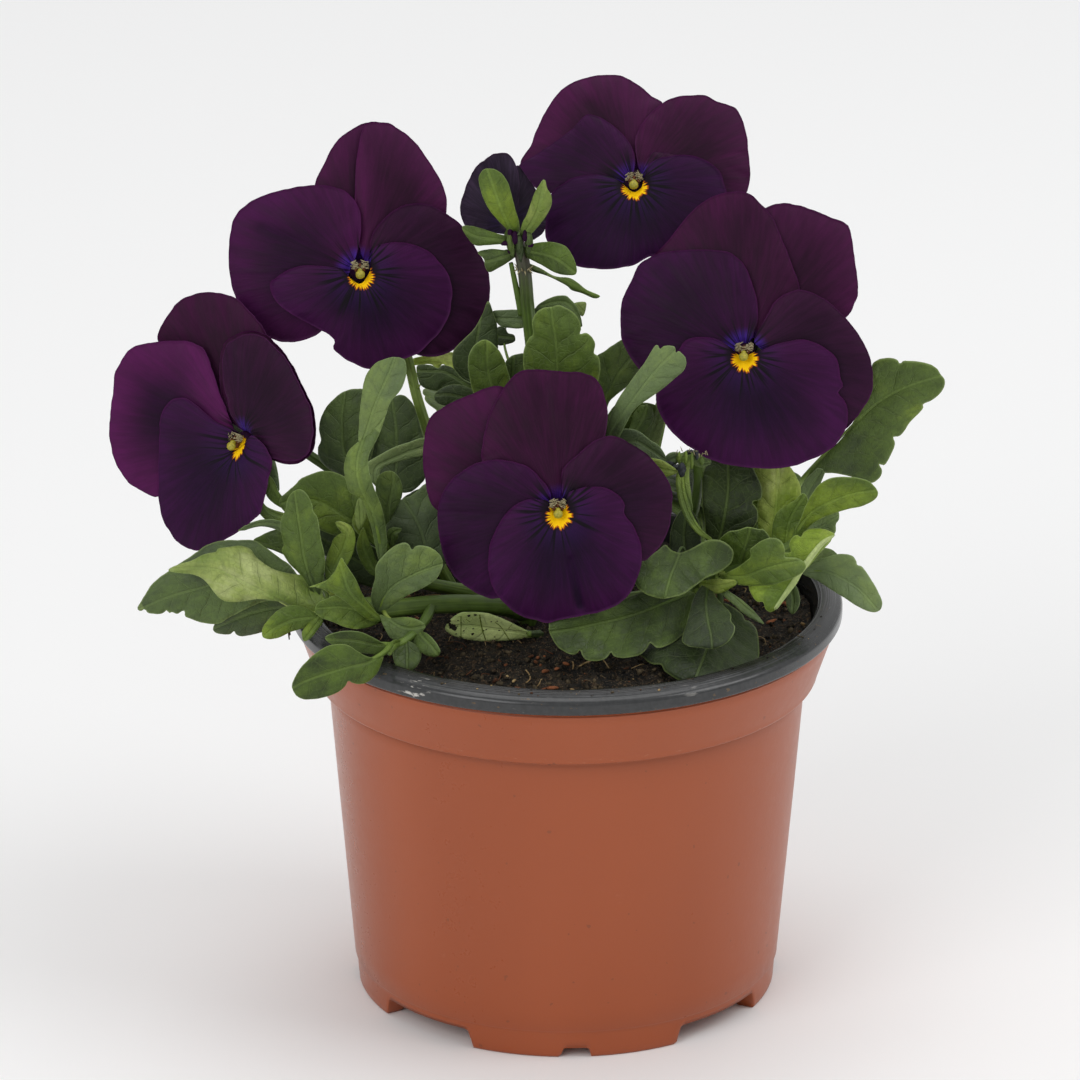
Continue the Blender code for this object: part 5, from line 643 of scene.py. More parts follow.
def drawn_leaf(build, rows, margins=(0, 0), tone=0.5, grey=0.2, teeth=0, depth=0.1, seed=0, count=44, across=11, slot=0, swap=False, thick=0.42, waves=0.5, smooth_tip=1.0):
    """A leaf laid out in the elevation, with crenate margins, a grooved midrib and a gently waved blade."""
    ts = np.linspace(0, 1, count)
    at = smooth(rows, ts)
    step = np.gradient(at[:, :2], axis=0)
    step /= np.linalg.norm(step, axis=1)[:, None]
    left = np.stack([step[:, 1], -step[:, 0]], axis=1)
    wl, wr = np.maximum(at[:, 3], 1.6), np.maximum(at[:, 4], 1.6)
    close = np.clip((1 - ts) / 0.035, 0, 1) ** 0.5
    wl, wr = wl * close + 0.3, wr * close + 0.3
    if teeth:
        fade = np.clip((ts - 0.22) / 0.1, 0, 1) * np.clip((1.0 - ts) / 0.05, 0, 1)
        for w, phase in ((wl, 0.13 * seed), (wr, 0.37 + 0.21 * seed)):
            lobe = np.abs(np.sin(math.pi * (teeth * ts + phase)))
            w *= 1 + depth * fade * (lobe**0.45 - 0.8)
    widest = max(wl.max(), wr.max())
    s = np.linspace(-1, 1, across)
    s = np.sign(s) * (1 - (1 - np.abs(s)) ** 1.25)
    wide = np.where(s[None, :] < 0, wl[:, None], wr[:, None])
    u = at[:, 0][:, None] - left[:, 0][:, None] * wide * s[None, :]
    v = at[:, 1][:, None] - left[:, 1][:, None] * wide * s[None, :]
    margin = np.where(s[None, :] < 0, margins[0], margins[1]) * (wide / widest) * np.abs(s[None, :]) ** 1.5
    y = at[:, 2][:, None] + margin
    size = np.clip(widest / 30, 0.15, 1.2)
    y += waves * size * (0.45 * np.abs(s[None, :]) ** 2 * wobble(ts * 9, seed + 5)[:, None] * np.where(s[None, :] < 0, 1, -0.8))
    y += 0.22 * size * np.exp(-((s[None, :] / 0.12) ** 2))
    # side veins lift the blade between them
    mm = widest / 5.27
    y -= 0.10 * size * np.abs(np.sin(math.pi * (ts[:, None] * max(3, teeth) * 0.9 - np.abs(s[None, :]) * 0.9))) * np.sin(np.abs(s[None, :]) * math.pi) * min(1, mm / 3)
    grid = place(u, v, y)
    widths = wide * s[None, :] / 5.27
    leaf_sheet(build, grid, thick, slot, tone, grey, widths, face_towards=(0, -0.93, 0.36), swap=swap)


def outlined_leaf(build, outline, rows, margins=(0, 0), tone=0.5, grey=0.2, seed=0, slot=0, thick=0.42, waves=0.5, veins=5, fine=1.0, lift=0.0, slope=0.0, dark_base=0.0):
    """A leaf of any drawn outline: its depth follows the midrib's stations, and its blade puckers between the veins."""
    size_px = np.ptp(np.array(outline, float), axis=0).max()
    count = int(np.clip(size_px * 1.7, 60, 190))
    edge = closed_outline(outline, count)
    turn = np.linspace(0, 2 * math.pi, count, endpoint=False)
    centre = edge.mean(0)
    edge = centre + (edge - centre) * (1 + fine * 0.006 * wobble(turn * 14, seed + 40, 4))[:, None]
    step = max(1.9, size_px / 36)
    low_, high_ = edge.min(0), edge.max(0)
    gx, gy = np.meshgrid(np.arange(low_[0], high_[0], step), np.arange(low_[1], high_[1], step * 0.87))
    gx = gx + (np.arange(gx.shape[0]) % 2)[:, None] * step / 2
    inner = np.stack([gx.ravel(), gy.ravel()], axis=1)
    nearest = np.sqrt(((inner[:, None] - edge[None]) ** 2).sum(2)).min(1)
    a, b = edge, np.roll(edge, -1, 0)
    crossing = ((a[None, :, 1] > inner[:, None, 1]) != (b[None, :, 1] > inner[:, None, 1])) & (
        inner[:, None, 0] < (b - a)[None, :, 0] * (inner[:, None, 1] - a[None, :, 1]) / ((b - a)[None, :, 1] + 1e-9) + a[None, :, 0]
    )
    inner = inner[(crossing.sum(1) % 2 == 1) & (nearest > step * 0.55)]
    flat = np.vstack([edge, inner])
    verts, _, tris, _, _, _ = mathutils.geometry.delaunay_2d_cdt(
        [mathutils.Vector(q) for q in flat.tolist()], [], [list(range(count))], 1, 1e-5
    )
    flat = np.array([[q.x, q.y] for q in verts])
    tris = [tuple(t) for t in tris]
    spine = smooth(rows, np.linspace(0, 1, 90))
    gap = flat[:, None, :] - spine[None, :, :2]
    far = (gap**2).sum(2)
    # a soft nearest point keeps the depth smooth on the inside of a bend
    weight = np.exp(-(far - far.min(1, keepdims=True)) / (14.0 + 0.03 * far.min(1, keepdims=True)))
    weight /= weight.sum(1, keepdims=True)
    t = weight @ np.linspace(0, 1, 90)
    depth = weight @ spine[:, 2]
    k = far.argmin(1)
    heading = np.gradient(spine[:, :2], axis=0)
    heading /= np.linalg.norm(heading, axis=1)[:, None]
    left = np.stack([heading[k, 1], -heading[k, 0]], axis=1)
    side = -(gap[np.arange(len(flat)), k] * left).sum(1)
    half = max(spine[:, 3].max(), spine[:, 4].max(), 4)
    s = np.clip(side / half, -1.4, 1.4)
    size = np.clip(half / 30, 0.15, 1.2)
    y = depth + np.where(s < 0, margins[0], margins[1]) * np.abs(s) ** 1.5
    y += waves * size * (0.75 * np.abs(s) ** 2 * wobble(t * 9, seed + 5) * np.where(s < 0, 1, -0.8) + 0.45 * wobble(t * 6 + s * 3, seed + 15))
    y += 0.24 * size * np.exp(-((side / 3.0) ** 2))
    y -= 0.10 * size * np.abs(np.sin(math.pi * (t * veins - np.abs(s) * 0.9 + 0.15 * wobble(t * 7, seed + 9)))) * np.clip(np.abs(s) * 2.2, 0, 1)
    p = place(flat[:, 0], flat[:, 1], y)
    q = np.array([p[t[1]] - p[t[0]] for t in tris])
    r = np.array([p[t[2]] - p[t[0]] for t in tris])
    fn = np.cross(q, r)
    flip = (fn @ np.array([0, -0.93, 0.36])).sum() < 0
    if flip:
        tris = [f[::-1] for f in tris]
        fn = -fn
    n = np.zeros_like(p)
    for c in range(3):
        np.add.at(n, [f[c] for f in tris], fn)
    n /= np.linalg.norm(n, axis=1)[:, None] + 1e-12
    rim = {}
    for f in tris:
        for i in range(3):
            e = (f[i], f[(i + 1) % 3])
            if (e[1], e[0]) in rim:
                del rim[(e[1], e[0])]
            else:
                rim[e] = True
    border = sorted({i for e in rim for i in e})
    near = np.sqrt(((flat[:, None] - flat[border][None]) ** 2).sum(2)).min(1)
    thin = np.clip(0.35 + near / 5.0, 0.35, 1)[:, None]
    total = len(p)
    faces = tris + [tuple(i + total for i in f[::-1]) for f in tris] + [(b_, a_, a_ + total, b_ + total) for a_, b_ in rim]
    plan = np.stack([t * np.linalg.norm(np.diff(place(*spine[:, :3].T), axis=0), axis=1).sum() / 60, side / 5.27 / 60 + 0.5], axis=1)
    out = 1 - np.clip(near / max(half, 6), 0, 1)
    tone = np.clip(tone + slope * (t - 0.5) - dark_base * np.exp(-((t / 0.2) ** 2)), 0, 1)
    tone = np.concatenate([tone, tone])
    build.add(
        np.vstack([p + n * thick / 2 * thin, p - n * thick / 2 * thin]), faces, slot, np.vstack([plan, plan]),
        tone=tone, grey=grey, under=np.concatenate([np.zeros(total), np.ones(total)]), edge=np.concatenate([out, out]), halo=lift,
    )

    def surface(u, v):
        """The point of the upper face that is seen at (u, v), and the way it faces."""
        k = ((flat - np.array([u, v])) ** 2).sum(1).argsort()[:4]
        w = 1 / (((flat[k] - np.array([u, v])) ** 2).sum(1) + 0.5)
        w /= w.sum()
        facing = w @ n[k]
        facing /= np.linalg.norm(facing)
        at = w @ (p[k] + n[k] * thick / 2 * thin[k])
        line = sight_lines(np.array(u, float), np.array(v, float))
        return EYE + line * (((at - EYE) @ facing) / (line @ facing)), facing

    return surface


def any_leaf(build, key, rows, margins, tone, grey, teeth, depth, seed, count, across, lift=0.0):
    if key in OUTLINES:
        return outlined_leaf(build, OUTLINES[key], rows, margins, tone, grey, seed=seed, veins=max(4, teeth), lift=lift, slope=SLOPE.get(key, 0.0))
    else:
        drawn_leaf(build, rows, margins, tone, grey, teeth, depth, seed=seed, count=count, across=across)


# how much lighter a leaf's tip is than its base
SLOPE = {"leaf_big_right": 0.30, "leaf_pale_left": 0.0, "shoot_right:1": 0.15, "leaf_twisted": 0.1, "leaf_kidney": -0.1, "shoot_left_upright:1": 0.1}


def nearest_on(path, point):
    best, found = 1e9, None
    for a, b in zip(path[:-1], path[1:]):
        k = np.clip((point - a) @ (b - a) / ((b - a) @ (b - a)), 0, 1)
        q = a + (b - a) * k
        if np.linalg.norm(q - point) < best:
            best, found = np.linalg.norm(q - point), q
    return best, found


def petiole(build, path, rows, slot, tone, grey, thick=0.62, into=0.45, behind=0.45, rise=0.12):
    """The leaf's stalk: out of the stem, along the back of the midrib."""
    base = place(*rows[0][:3])
    _, root = nearest_on(path, base)
    at = smooth(rows, np.linspace(0, into, 6))
    rib = place(at[:, 0], at[:, 1], at[:, 2]) + np.array([0, behind, 0])
    reach = np.linalg.norm(base - root)
    points = [root]
    if reach > 1.5:
        bow = np.array([0, 0, rise * reach])
        points += [root * 0.66 + base * 0.34 + bow, root * 0.33 + base * 0.67 + bow]
    points += list(rib)
    points = np.array(points)
    s = np.concatenate([[0], np.cumsum(np.linalg.norm(np.diff(points, axis=0), axis=1))])
    at = np.linspace(0, s[-1], 18)
    fine = np.stack([np.interp(at, s, points[:, i]) for i in range(3)], axis=1)
    for _ in range(3):
        fine[1:-1] = (fine[:-2] + 2 * fine[1:-1] + fine[2:]) / 4
    tube(build, fine, np.linspace(thick, 0.16, len(fine)), slot, sides=8, tone=tone, grey=grey)


def open_blade(base, compass, rise, length, width, droop, count=30, across=9, seed=0, teeth=5):
    """A leaf in the open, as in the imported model: it leaves its base at a compass direction and rise, and bends down."""
    point = np.array(base, float)
    out = np.array([math.cos(math.radians(compass)), math.sin(math.radians(compass)), 0])
    side = np.array([-out[1], out[0], 0])
    s = np.linspace(-1, 1, across)
    grid, mid = [], []
    for i in range(count):
        k = i / (count - 1)
        angle = math.radians(rise - droop * k)
        half = 0.45 + (width / 2) * math.sin(math.pi * min(1, k**1.4 * 1.02)) ** 0.8 * min(1.0, 0.3 + k * 2.2)
        if k > 0.3:
            half *= 1 + 0.09 * min(1, (1 - k) / 0.1) * (abs(math.sin(math.pi * (teeth * k + seed * 0.3))) ** 0.5 - 0.7)
        half = max(half, 0.12)
        lift = (0.18 * np.abs(s) ** 1.4 * half + 0.3 * np.abs(s) ** 2 * math.sin(9 * k + seed) - 0.25 * np.exp(-((s / 0.15) ** 2)))[:, None] * np.array([0, 0, 1.0])
        grid.append(point - side * half * s[:, None] + lift)
        mid.append(point.copy())
        point = point + (out * math.cos(angle) + np.array([0, 0, math.sin(angle)])) * length / (count - 1)
    return np.array(grid), np.array(mid)


# ---------------------------------------------------------------- flowers
def face_frame(flower):
    throat = place(*flower["throat"])
    n = np.array(flower["face"], float)
    n /= np.linalg.norm(n)
    aside = np.cross([0, 0, 1.0], n)
    aside /= np.linalg.norm(aside)
    return throat, n, aside, np.cross(n, aside)


def relief(flower, across, along):
    bend = flower.get("bend", {})
    return (
        -flower.get("dome", DOME) * (across**2 + along**2)
        + bend.get("left", 0) * np.minimum(across, 0) ** 2
        + bend.get("right", 0) * np.maximum(across, 0) ** 2
        + bend.get("lower", 0) * np.minimum(along, 0) ** 2
        + bend.get("upper", 0) * np.maximum(along, 0) ** 2
    )


def on_face(u, v, flower, frame, layer):
    throat, n, aside, up = frame
    line = sight_lines(u, v)
    middle = ((throat - EYE) @ n) / (line @ n)
    sign = np.where(line @ n < 0, 1.0, -1.0)
    near, far = middle - 45, middle + 45
    for _ in range(30):
        half = (near + far) / 2
        d = EYE + line * half[..., None] - throat
        over = (d @ n - layer * LAYER - relief(flower, d @ aside, d @ up)) * sign
        near = np.where(over > 0, half, near)
        far = np.where(over > 0, far, half)
    return EYE + line * half[..., None]


def petal(build, flower, frame, side, layer, outline, seed, slot):
    throat, n, aside, up = frame
    count, rings = 144, 18
    edge = closed_outline(outline, count)
    x, y = edge[:, 0], edge[:, 1]
    cross = x * np.roll(y, -1) - np.roll(x, -1) * y
    centre = np.array([((x + np.roll(x, -1)) * cross).sum(), ((y + np.roll(y, -1)) * cross).sum()]) / (3 * cross.sum())
    turn = np.linspace(0, 2 * math.pi, count, endpoint=False)
    rng = np.random.default_rng(seed)
    # a rim with small irregular scallops
    edge = centre + (edge - centre) * (1 + 0.006 * wobble(turn * 9, seed, 4) + 0.004 * wobble(turn * 23, seed + 1, 3))[:, None]
    rho = np.linspace(0, 1, rings + 1)[1:] ** 0.9
    plan = centre + (edge[None] - centre) * rho[:, None, None]
    u = np.concatenate([[centre[0]], plan[..., 0].ravel()])
    v = np.concatenate([[centre[1]], plan[..., 1].ravel()])
    r01 = np.concatenate([[0], np.repeat(rho, count)])
    spin = np.concatenate([[0], np.tile(turn, rings)])
    p = on_face(u, v, flower, frame, layer)
    d = p - throat
    a, b = d @ aside, d @ up
    r = np.hypot(a, b)
    phi = np.arctan2(b, a)
    hidden_side = 1 if flower["face"][1] < 0 else -1
    ruffle = 0.30 * r01**4 * wobble(spin * 5.0, seed + 3, 3) + 0.16 * r01**5 * wobble(spin * 13.0, seed + 4, 3)
    folds = 0.16 * wobble(phi * 6.0, seed + 6, 3) * np.clip(r / 12, 0, 1) * (1 - 0.4 * r01)
    curl = -0.45 * r01**7
    funnel = -1.9 * np.exp(-((r / 2.6) ** 2)) if hidden_side == 1 else 0
    lift = (ruffle + folds + curl + funnel)
    shade = np.ones_like(r01)
    for start, end, depth, wide in CREASE.get((flower["name"], side), ()):
        run = np.array(end, float) - start
        share = ((u - start[0]) * run[0] + (v - start[1]) * run[1]) / (run @ run)
        off = np.hypot(u - start[0] - np.clip(share, 0, 1) * run[0], v - start[1] - np.clip(share, 0, 1) * run[1])
        lift = lift + depth * np.exp(-((off / wide) ** 2))
        # painted shade: each crease also darkens the petal's colour along its line
        shade = shade * (1 - min(0.95, 1.6 * abs(depth)) * np.exp(-((off / (0.75 * wide)) ** 2)))
    p = p + n * lift[:, None]
    thick = 0.14 - 0.085 * r01**3
    top, bottom = p + n * thick[:, None], p - n * thick[:, None]
    faces = [(0, 1 + (j + 1) % count, 1 + j) for j in range(count)]
    for i in range(rings - 1):
        for j in range(count):
            k = (j + 1) % count
            q, w = 1 + i * count, 1 + (i + 1) * count
            faces.append((q + j, q + k, w + k, w + j))
    total = len(p)
    # the outline may run either way round
    area = (edge[:, 0] * np.roll(edge[:, 1], -1) - np.roll(edge[:, 0], -1) * edge[:, 1]).sum()
    if (area > 0) == (hidden_side == 1):
        faces = [f[::-1] for f in faces]
    rim_start = 1 + (rings - 1) * count
    under = [tuple(i + total for i in f[::-1]) for f in faces]
    rim = []
    for j in range(count):
        k = (j + 1) % count
        f = (rim_start + j, rim_start + k, rim_start + k + total, rim_start + j + total)
        rim.append(f if (area > 0) == (hidden_side == 1) else f[::-1])
    squeeze = 1 + flower.get("narrow", 0) * np.exp(-(r**2) / 14)
    spot = np.stack([a * squeeze / 80 + 0.5, b / 80 + 0.5], axis=1)
    build.add(
        np.vstack([top, bottom]), faces + under + rim, slot, np.vstack([spot, spot]),
        under=np.concatenate([np.zeros(total), np.ones(total)]), edge=np.concatenate([r01 * shade, r01 * shade]),
        tone=rng.uniform(0, 1), grey=MAGENTA_AND_SHEEN.get((flower["name"], side), 0.03), halo=HALO[flower["name"]],
    )


# creases: from, to, how deep in mm, how wide in pixels; each also darkens the petal's colour along its line as painted
# shade
CREASE = {
    ("front_flower", "lower"): [((570, 560), (580, 606), -0.75, 4.5)],
    ("front_flower", "right"): [((600, 470), (640, 450), -0.25, 9.0)],
    ("front_flower", "upper_right"): [((560, 455), (540, 392), -0.25, 8.0)],
    ("upper_left_flower", "left"): [((330, 262), (262, 228), -0.30, 9.0)],
    ("top_flower", "upper_left"): [((628, 165), (590, 105), -0.30, 8.0)],
    ("right_flower", "left"): [((728, 340), (660, 270), -0.30, 9.0)],
}
# how much magenta each petal shows through its dark velvet, partly its own colour and partly a painted sheen, and how
# strong the violet flush at each throat is
MAGENTA_AND_SHEEN = {
    ("left_flower", "left"): 0.45, ("left_flower", "lower"): 0.08, ("upper_left_flower", "left"): 0.17, ("upper_left_flower", "upper_right"): 0.2, ("upper_left_flower", "upper_left"): 0.18,
    ("upper_left_flower", "lower"): 0.14, ("front_flower", "upper_left"): 0.16, ("front_flower", "lower"): 0.12, ("right_flower", "lower"): 0.14,
    ("right_flower", "upper_right"): 0.15, ("top_flower", "upper_left"): 0.22, ("top_flower", "upper_right"): 0.1,
}
HALO = {"front_flower": 0.62, "left_flower": 0.9, "upper_left_flower": 1.0, "top_flower": 0.8, "right_flower": 1.0, "turned_flower": 0.2}


# ---------------------------------------------------------------- node helpers
def srgb(*c):
    return tuple(((x / 255 + 0.055) / 1.055) ** 2.4 if x > 10 else x / 255 / 12.92 for x in c) + (1.0,)


class Nodes:
    def __init__(self, name):
        self.mat = bpy.data.materials.new(name)
        self.mat.use_nodes = True
        self.tree = self.mat.node_tree
        self.shader = self.tree.nodes["Principled BSDF"]

    def new(self, kind, **values):
        node = self.tree.nodes.new(kind)
        for k, v in values.items():
            setattr(node, k, v)
        return node

    def link(self, a, b):
        self.tree.links.new(a, b)

    def put(self, value, socket):
        if isinstance(value, bpy.types.NodeSocket):
            self.link(value, socket)
        else:
            socket.default_value = value

    def math(self, op, a, b=0.0, c=0.0, clamp=False):
        node = self.new("ShaderNodeMath", operation=op, use_clamp=clamp)
        for i, x in enumerate((a, b, c)):
            if i < len(node.inputs):
                self.put(x, node.inputs[i])
        return node.outputs[0]

    def mix(self, factor, a, b, blend="MIX"):
        node = self.new("ShaderNodeMix", data_type="RGBA", blend_type=blend)
        node.clamp_factor = True
        self.put(factor, node.inputs["Factor"])
        self.put(a, node.inputs[6])
        self.put(b, node.inputs[7])
        return node.outputs[2]

    def ramp(self, x, low, high, a=0.0, b=1.0, kind="SMOOTHSTEP"):
        node = self.new("ShaderNodeMapRange", interpolation_type=kind)
        self.put(x, node.inputs["Value"])
        for k, val in (("From Min", low), ("From Max", high), ("To Min", a), ("To Max", b)):
            self.put(val, node.inputs[k])
        return node.outputs["Result"]

    def noise(self, vector, scale, detail=3.0, rough=0.5, distortion=0.0):
        node = self.new("ShaderNodeTexNoise")
        if vector is not None:
            self.link(vector, node.inputs["Vector"])
        node.inputs["Scale"].default_value = scale
        node.inputs["Detail"].default_value = detail
        node.inputs["Roughness"].default_value = rough
        node.inputs["Distortion"].default_value = distortion
        return node.outputs["Fac"]

    def number(self, name):
        node = self.new("ShaderNodeAttribute", attribute_name=name)
        return node.outputs["Fac"]

    def combine(self, x, y, z=0.0):
        node = self.new("ShaderNodeCombineXYZ")
        for i, val in enumerate((x, y, z)):
            self.put(val, node.inputs[i])
        return node.outputs[0]

    def bump(self, height, strength, distance):
        node = self.new("ShaderNodeBump")
        self.link(height, node.inputs["Height"])
        node.inputs["Strength"].default_value = strength
        node.inputs["Distance"].default_value = distance
        self.link(node.outputs[0], self.shader.inputs["Normal"])
        return node

    def place(self):
        node = self.new("ShaderNodeTexCoord")
        return node.outputs["Object"]

    def plan(self):
        node = self.new("ShaderNodeUVMap", uv_map="plan")
        split = self.new("ShaderNodeSeparateXYZ")
        self.link(node.outputs[0], split.inputs[0])
        return split.outputs[0], split.outputs[1]

    def set(self, **values):
        for k, v in values.items():
            self.put(v, self.shader.inputs[k.replace("_", " ")])


def petal_material(name, core, rim, kind, sheen=0.25, reverse=(92, 56, 98)):
    """Velvety petal. Colour runs from core to rim, with fine veins fanning out of the throat."""
    m = Nodes(name)
    x, y = m.plan()
    a = m.math("MULTIPLY", m.math("SUBTRACT", x, 0.5), 80.0)
    b = m.math("MULTIPLY", m.math("SUBTRACT", y, 0.5), 80.0)
    r = m.math("SQRT", m.math("ADD", m.math("MULTIPLY", a, a), m.math("MULTIPLY", b, b)))
    phi = m.math("ARCTAN2", a, m.math("MULTIPLY", b, -1.0 if kind == "lower" else 1.0))
    edge, tone, under = m.number("edge"), m.number("tone"), m.number("under")
    fan = m.noise(m.combine(m.math("MULTIPLY", phi, 13.0), m.math("MULTIPLY", r, 0.10), m.math("MULTIPLY", tone, 40.0)), 1.0, 5.0, 0.62)
    fine = m.noise(m.combine(m.math("MULTIPLY", phi, 34.0), m.math("MULTIPLY", r, 0.22), tone), 1.0, 3.0, 0.6)
    cloud = m.noise(m.combine(a, b, m.math("MULTIPLY", tone, 30.0)), 0.11, 2.0, 0.5)
    out = m.math("POWER", edge, 2.2)
    share = m.math("ADD", m.math("MULTIPLY", out, 0.75), m.math("MULTIPLY", m.ramp(cloud, 0.35, 0.7), 0.35), clamp=True)
    colour = m.mix(share, srgb(*core), srgb(*rim))
    haze = m.noise(m.combine(a, b, m.math("ADD", 7.0, m.math("MULTIPLY", tone, 50.0))), 0.085, 3.0, 0.55, 0.6)
    colour = m.mix(m.ramp(haze, 0.46, 0.66, 0.0, 0.0 if kind == "lower" else 0.6), colour, srgb(40, 10, 33) if kind == "upper" else srgb(34, 8, 35))
    streak = m.ramp(fan, 0.36, 0.66, 0.84, 1.16)
    thread = m.ramp(fine, 0.3, 0.7, 0.86, 1.14)
    bright = m.math("MULTIPLY", streak, thread)
    grey = m.combine(bright, bright, bright)
    colour = m.mix(1.0, colour, grey, "MULTIPLY")
    # partly painted sheen: the grey number lightens each petal towards magenta along its streaks, most towards the rim;
    # the rest is the petal's own colour
    colour = m.mix(m.math("MULTIPLY", m.number("grey"), m.math("MULTIPLY", m.ramp(edge, 0.15, 0.95), streak)), colour, srgb(104, 30, 92))
    # the very rim is thin and catches the light: a painted highlight lightens it a little
    colour = m.mix(m.ramp(edge, 0.97, 1.0, 0.0, 0.4), colour, srgb(84, 26, 80))
    if kind == "lower":
        # black guide lines run out of the yellow, of uneven length
        wave = m.noise(m.combine(m.math("MULTIPLY", phi, 6.5), 0.0, m.math("MULTIPLY", tone, 9.0)), 1.0, 2.0, 0.5)
        reach = m.ramp(wave, 0.3, 0.7, 6.0, 11.0)
        colour = m.mix(m.ramp(r, 3.0, 9.0, 0.34, 0.0), colour, srgb(42, 20, 76))
        lines = m.ramp(m.noise(m.combine(m.math("MULTIPLY", phi, 8.0), m.math("MULTIPLY", r, 0.02), m.math("ADD", 3.0, m.math("MULTIPLY", tone, 5.0))), 1.0, 1.0, 0.5), 0.48, 0.56)
        guide = m.math("MULTIPLY", lines, m.ramp(r, m.math("MULTIPLY", reach, 0.6), reach, 1.0, 0.0))
        near = m.ramp(r, 2.8, 4.2, 0.85, 0.0)
        colour = m.mix(m.math("MAXIMUM", m.math("MULTIPLY", guide, 0.95), near), colour, srgb(13, 8, 13))
        # the yellow throat, ragged and orange at its rim
        c = m.math("ADD", b, 0.95)
        q = m.math("SQRT", m.math("ADD", m.math("POWER", m.math("DIVIDE", m.math("SUBTRACT", a, 0.2), 2.0), 2.0), m.math("POWER", m.math("DIVIDE", c, 2.0), 2.0)))
        swirl = m.math("ARCTAN2", a, m.math("MULTIPLY", c, -1.0))
        ragged = m.noise(m.combine(m.math("MULTIPLY", swirl, 7.5), 0.0, tone), 1.0, 1.0, 0.5)
        q = m.math("SUBTRACT", q, m.ramp(ragged, 0.35, 0.65, -0.14, 0.20))
        colour = m.mix(m.ramp(q, 1.0, 1.2, 1.0, 0.0), colour, srgb(190, 96, 10))
        colour = m.mix(m.ramp(q, 0.90, 1.04, 1.0, 0.0), colour, srgb(255, 204, 6))
    else:
        flush = m.math("MULTIPLY", m.math("MULTIPLY", m.ramp(r, 2.0, 5.4, 1.0, 0.0), m.number("halo")), m.ramp(fan, 0.36, 0.6, 0.25, 1.0))
        colour = m.mix(m.math("MULTIPLY", flush, 0.9), colour, srgb(70, 48, 165))
        if kind == "side":
            lines = m.ramp(m.noise(m.combine(m.math("MULTIPLY", phi, 8.5), m.math("MULTIPLY", r, 0.02), m.math("MULTIPLY", tone, 7.0)), 1.0, 1.0, 0.5), 0.5, 0.57)
            dark = m.math("MULTIPLY", m.ramp(r, 4.5, 8.5, 0.85, 0.0), lines)
            colour = m.mix(dark, colour, srgb(14, 8, 14))
        colour = m.mix(m.ramp(r, 0.6, 2.0, 0.5, 0.0), colour, srgb(150, 138, 110))
    # the back is duller and paler
    back = m.mix(1.0, m.mix(0.5, colour, srgb(*reverse)), grey, "MULTIPLY")
    colour = m.mix(under, colour, back)
    m.set(Base_Color=colour, Roughness=m.ramp(fan, 0.3, 0.7, 0.5, 0.64))
    m.shader.inputs["Specular IOR Level"].default_value = 0.115
    m.shader.inputs["Sheen Weight"].default_value = sheen
    m.shader.inputs["Sheen Roughness"].default_value = 0.45
    m.shader.inputs["Sheen Tint"].default_value = srgb(190, 120, 175)
    height = m.math("ADD", m.math("MULTIPLY", fan, 0.7), m.math("MULTIPLY", fine, 0.35))
    m.bump(height, 0.35, 0.0005)
    return m.mat


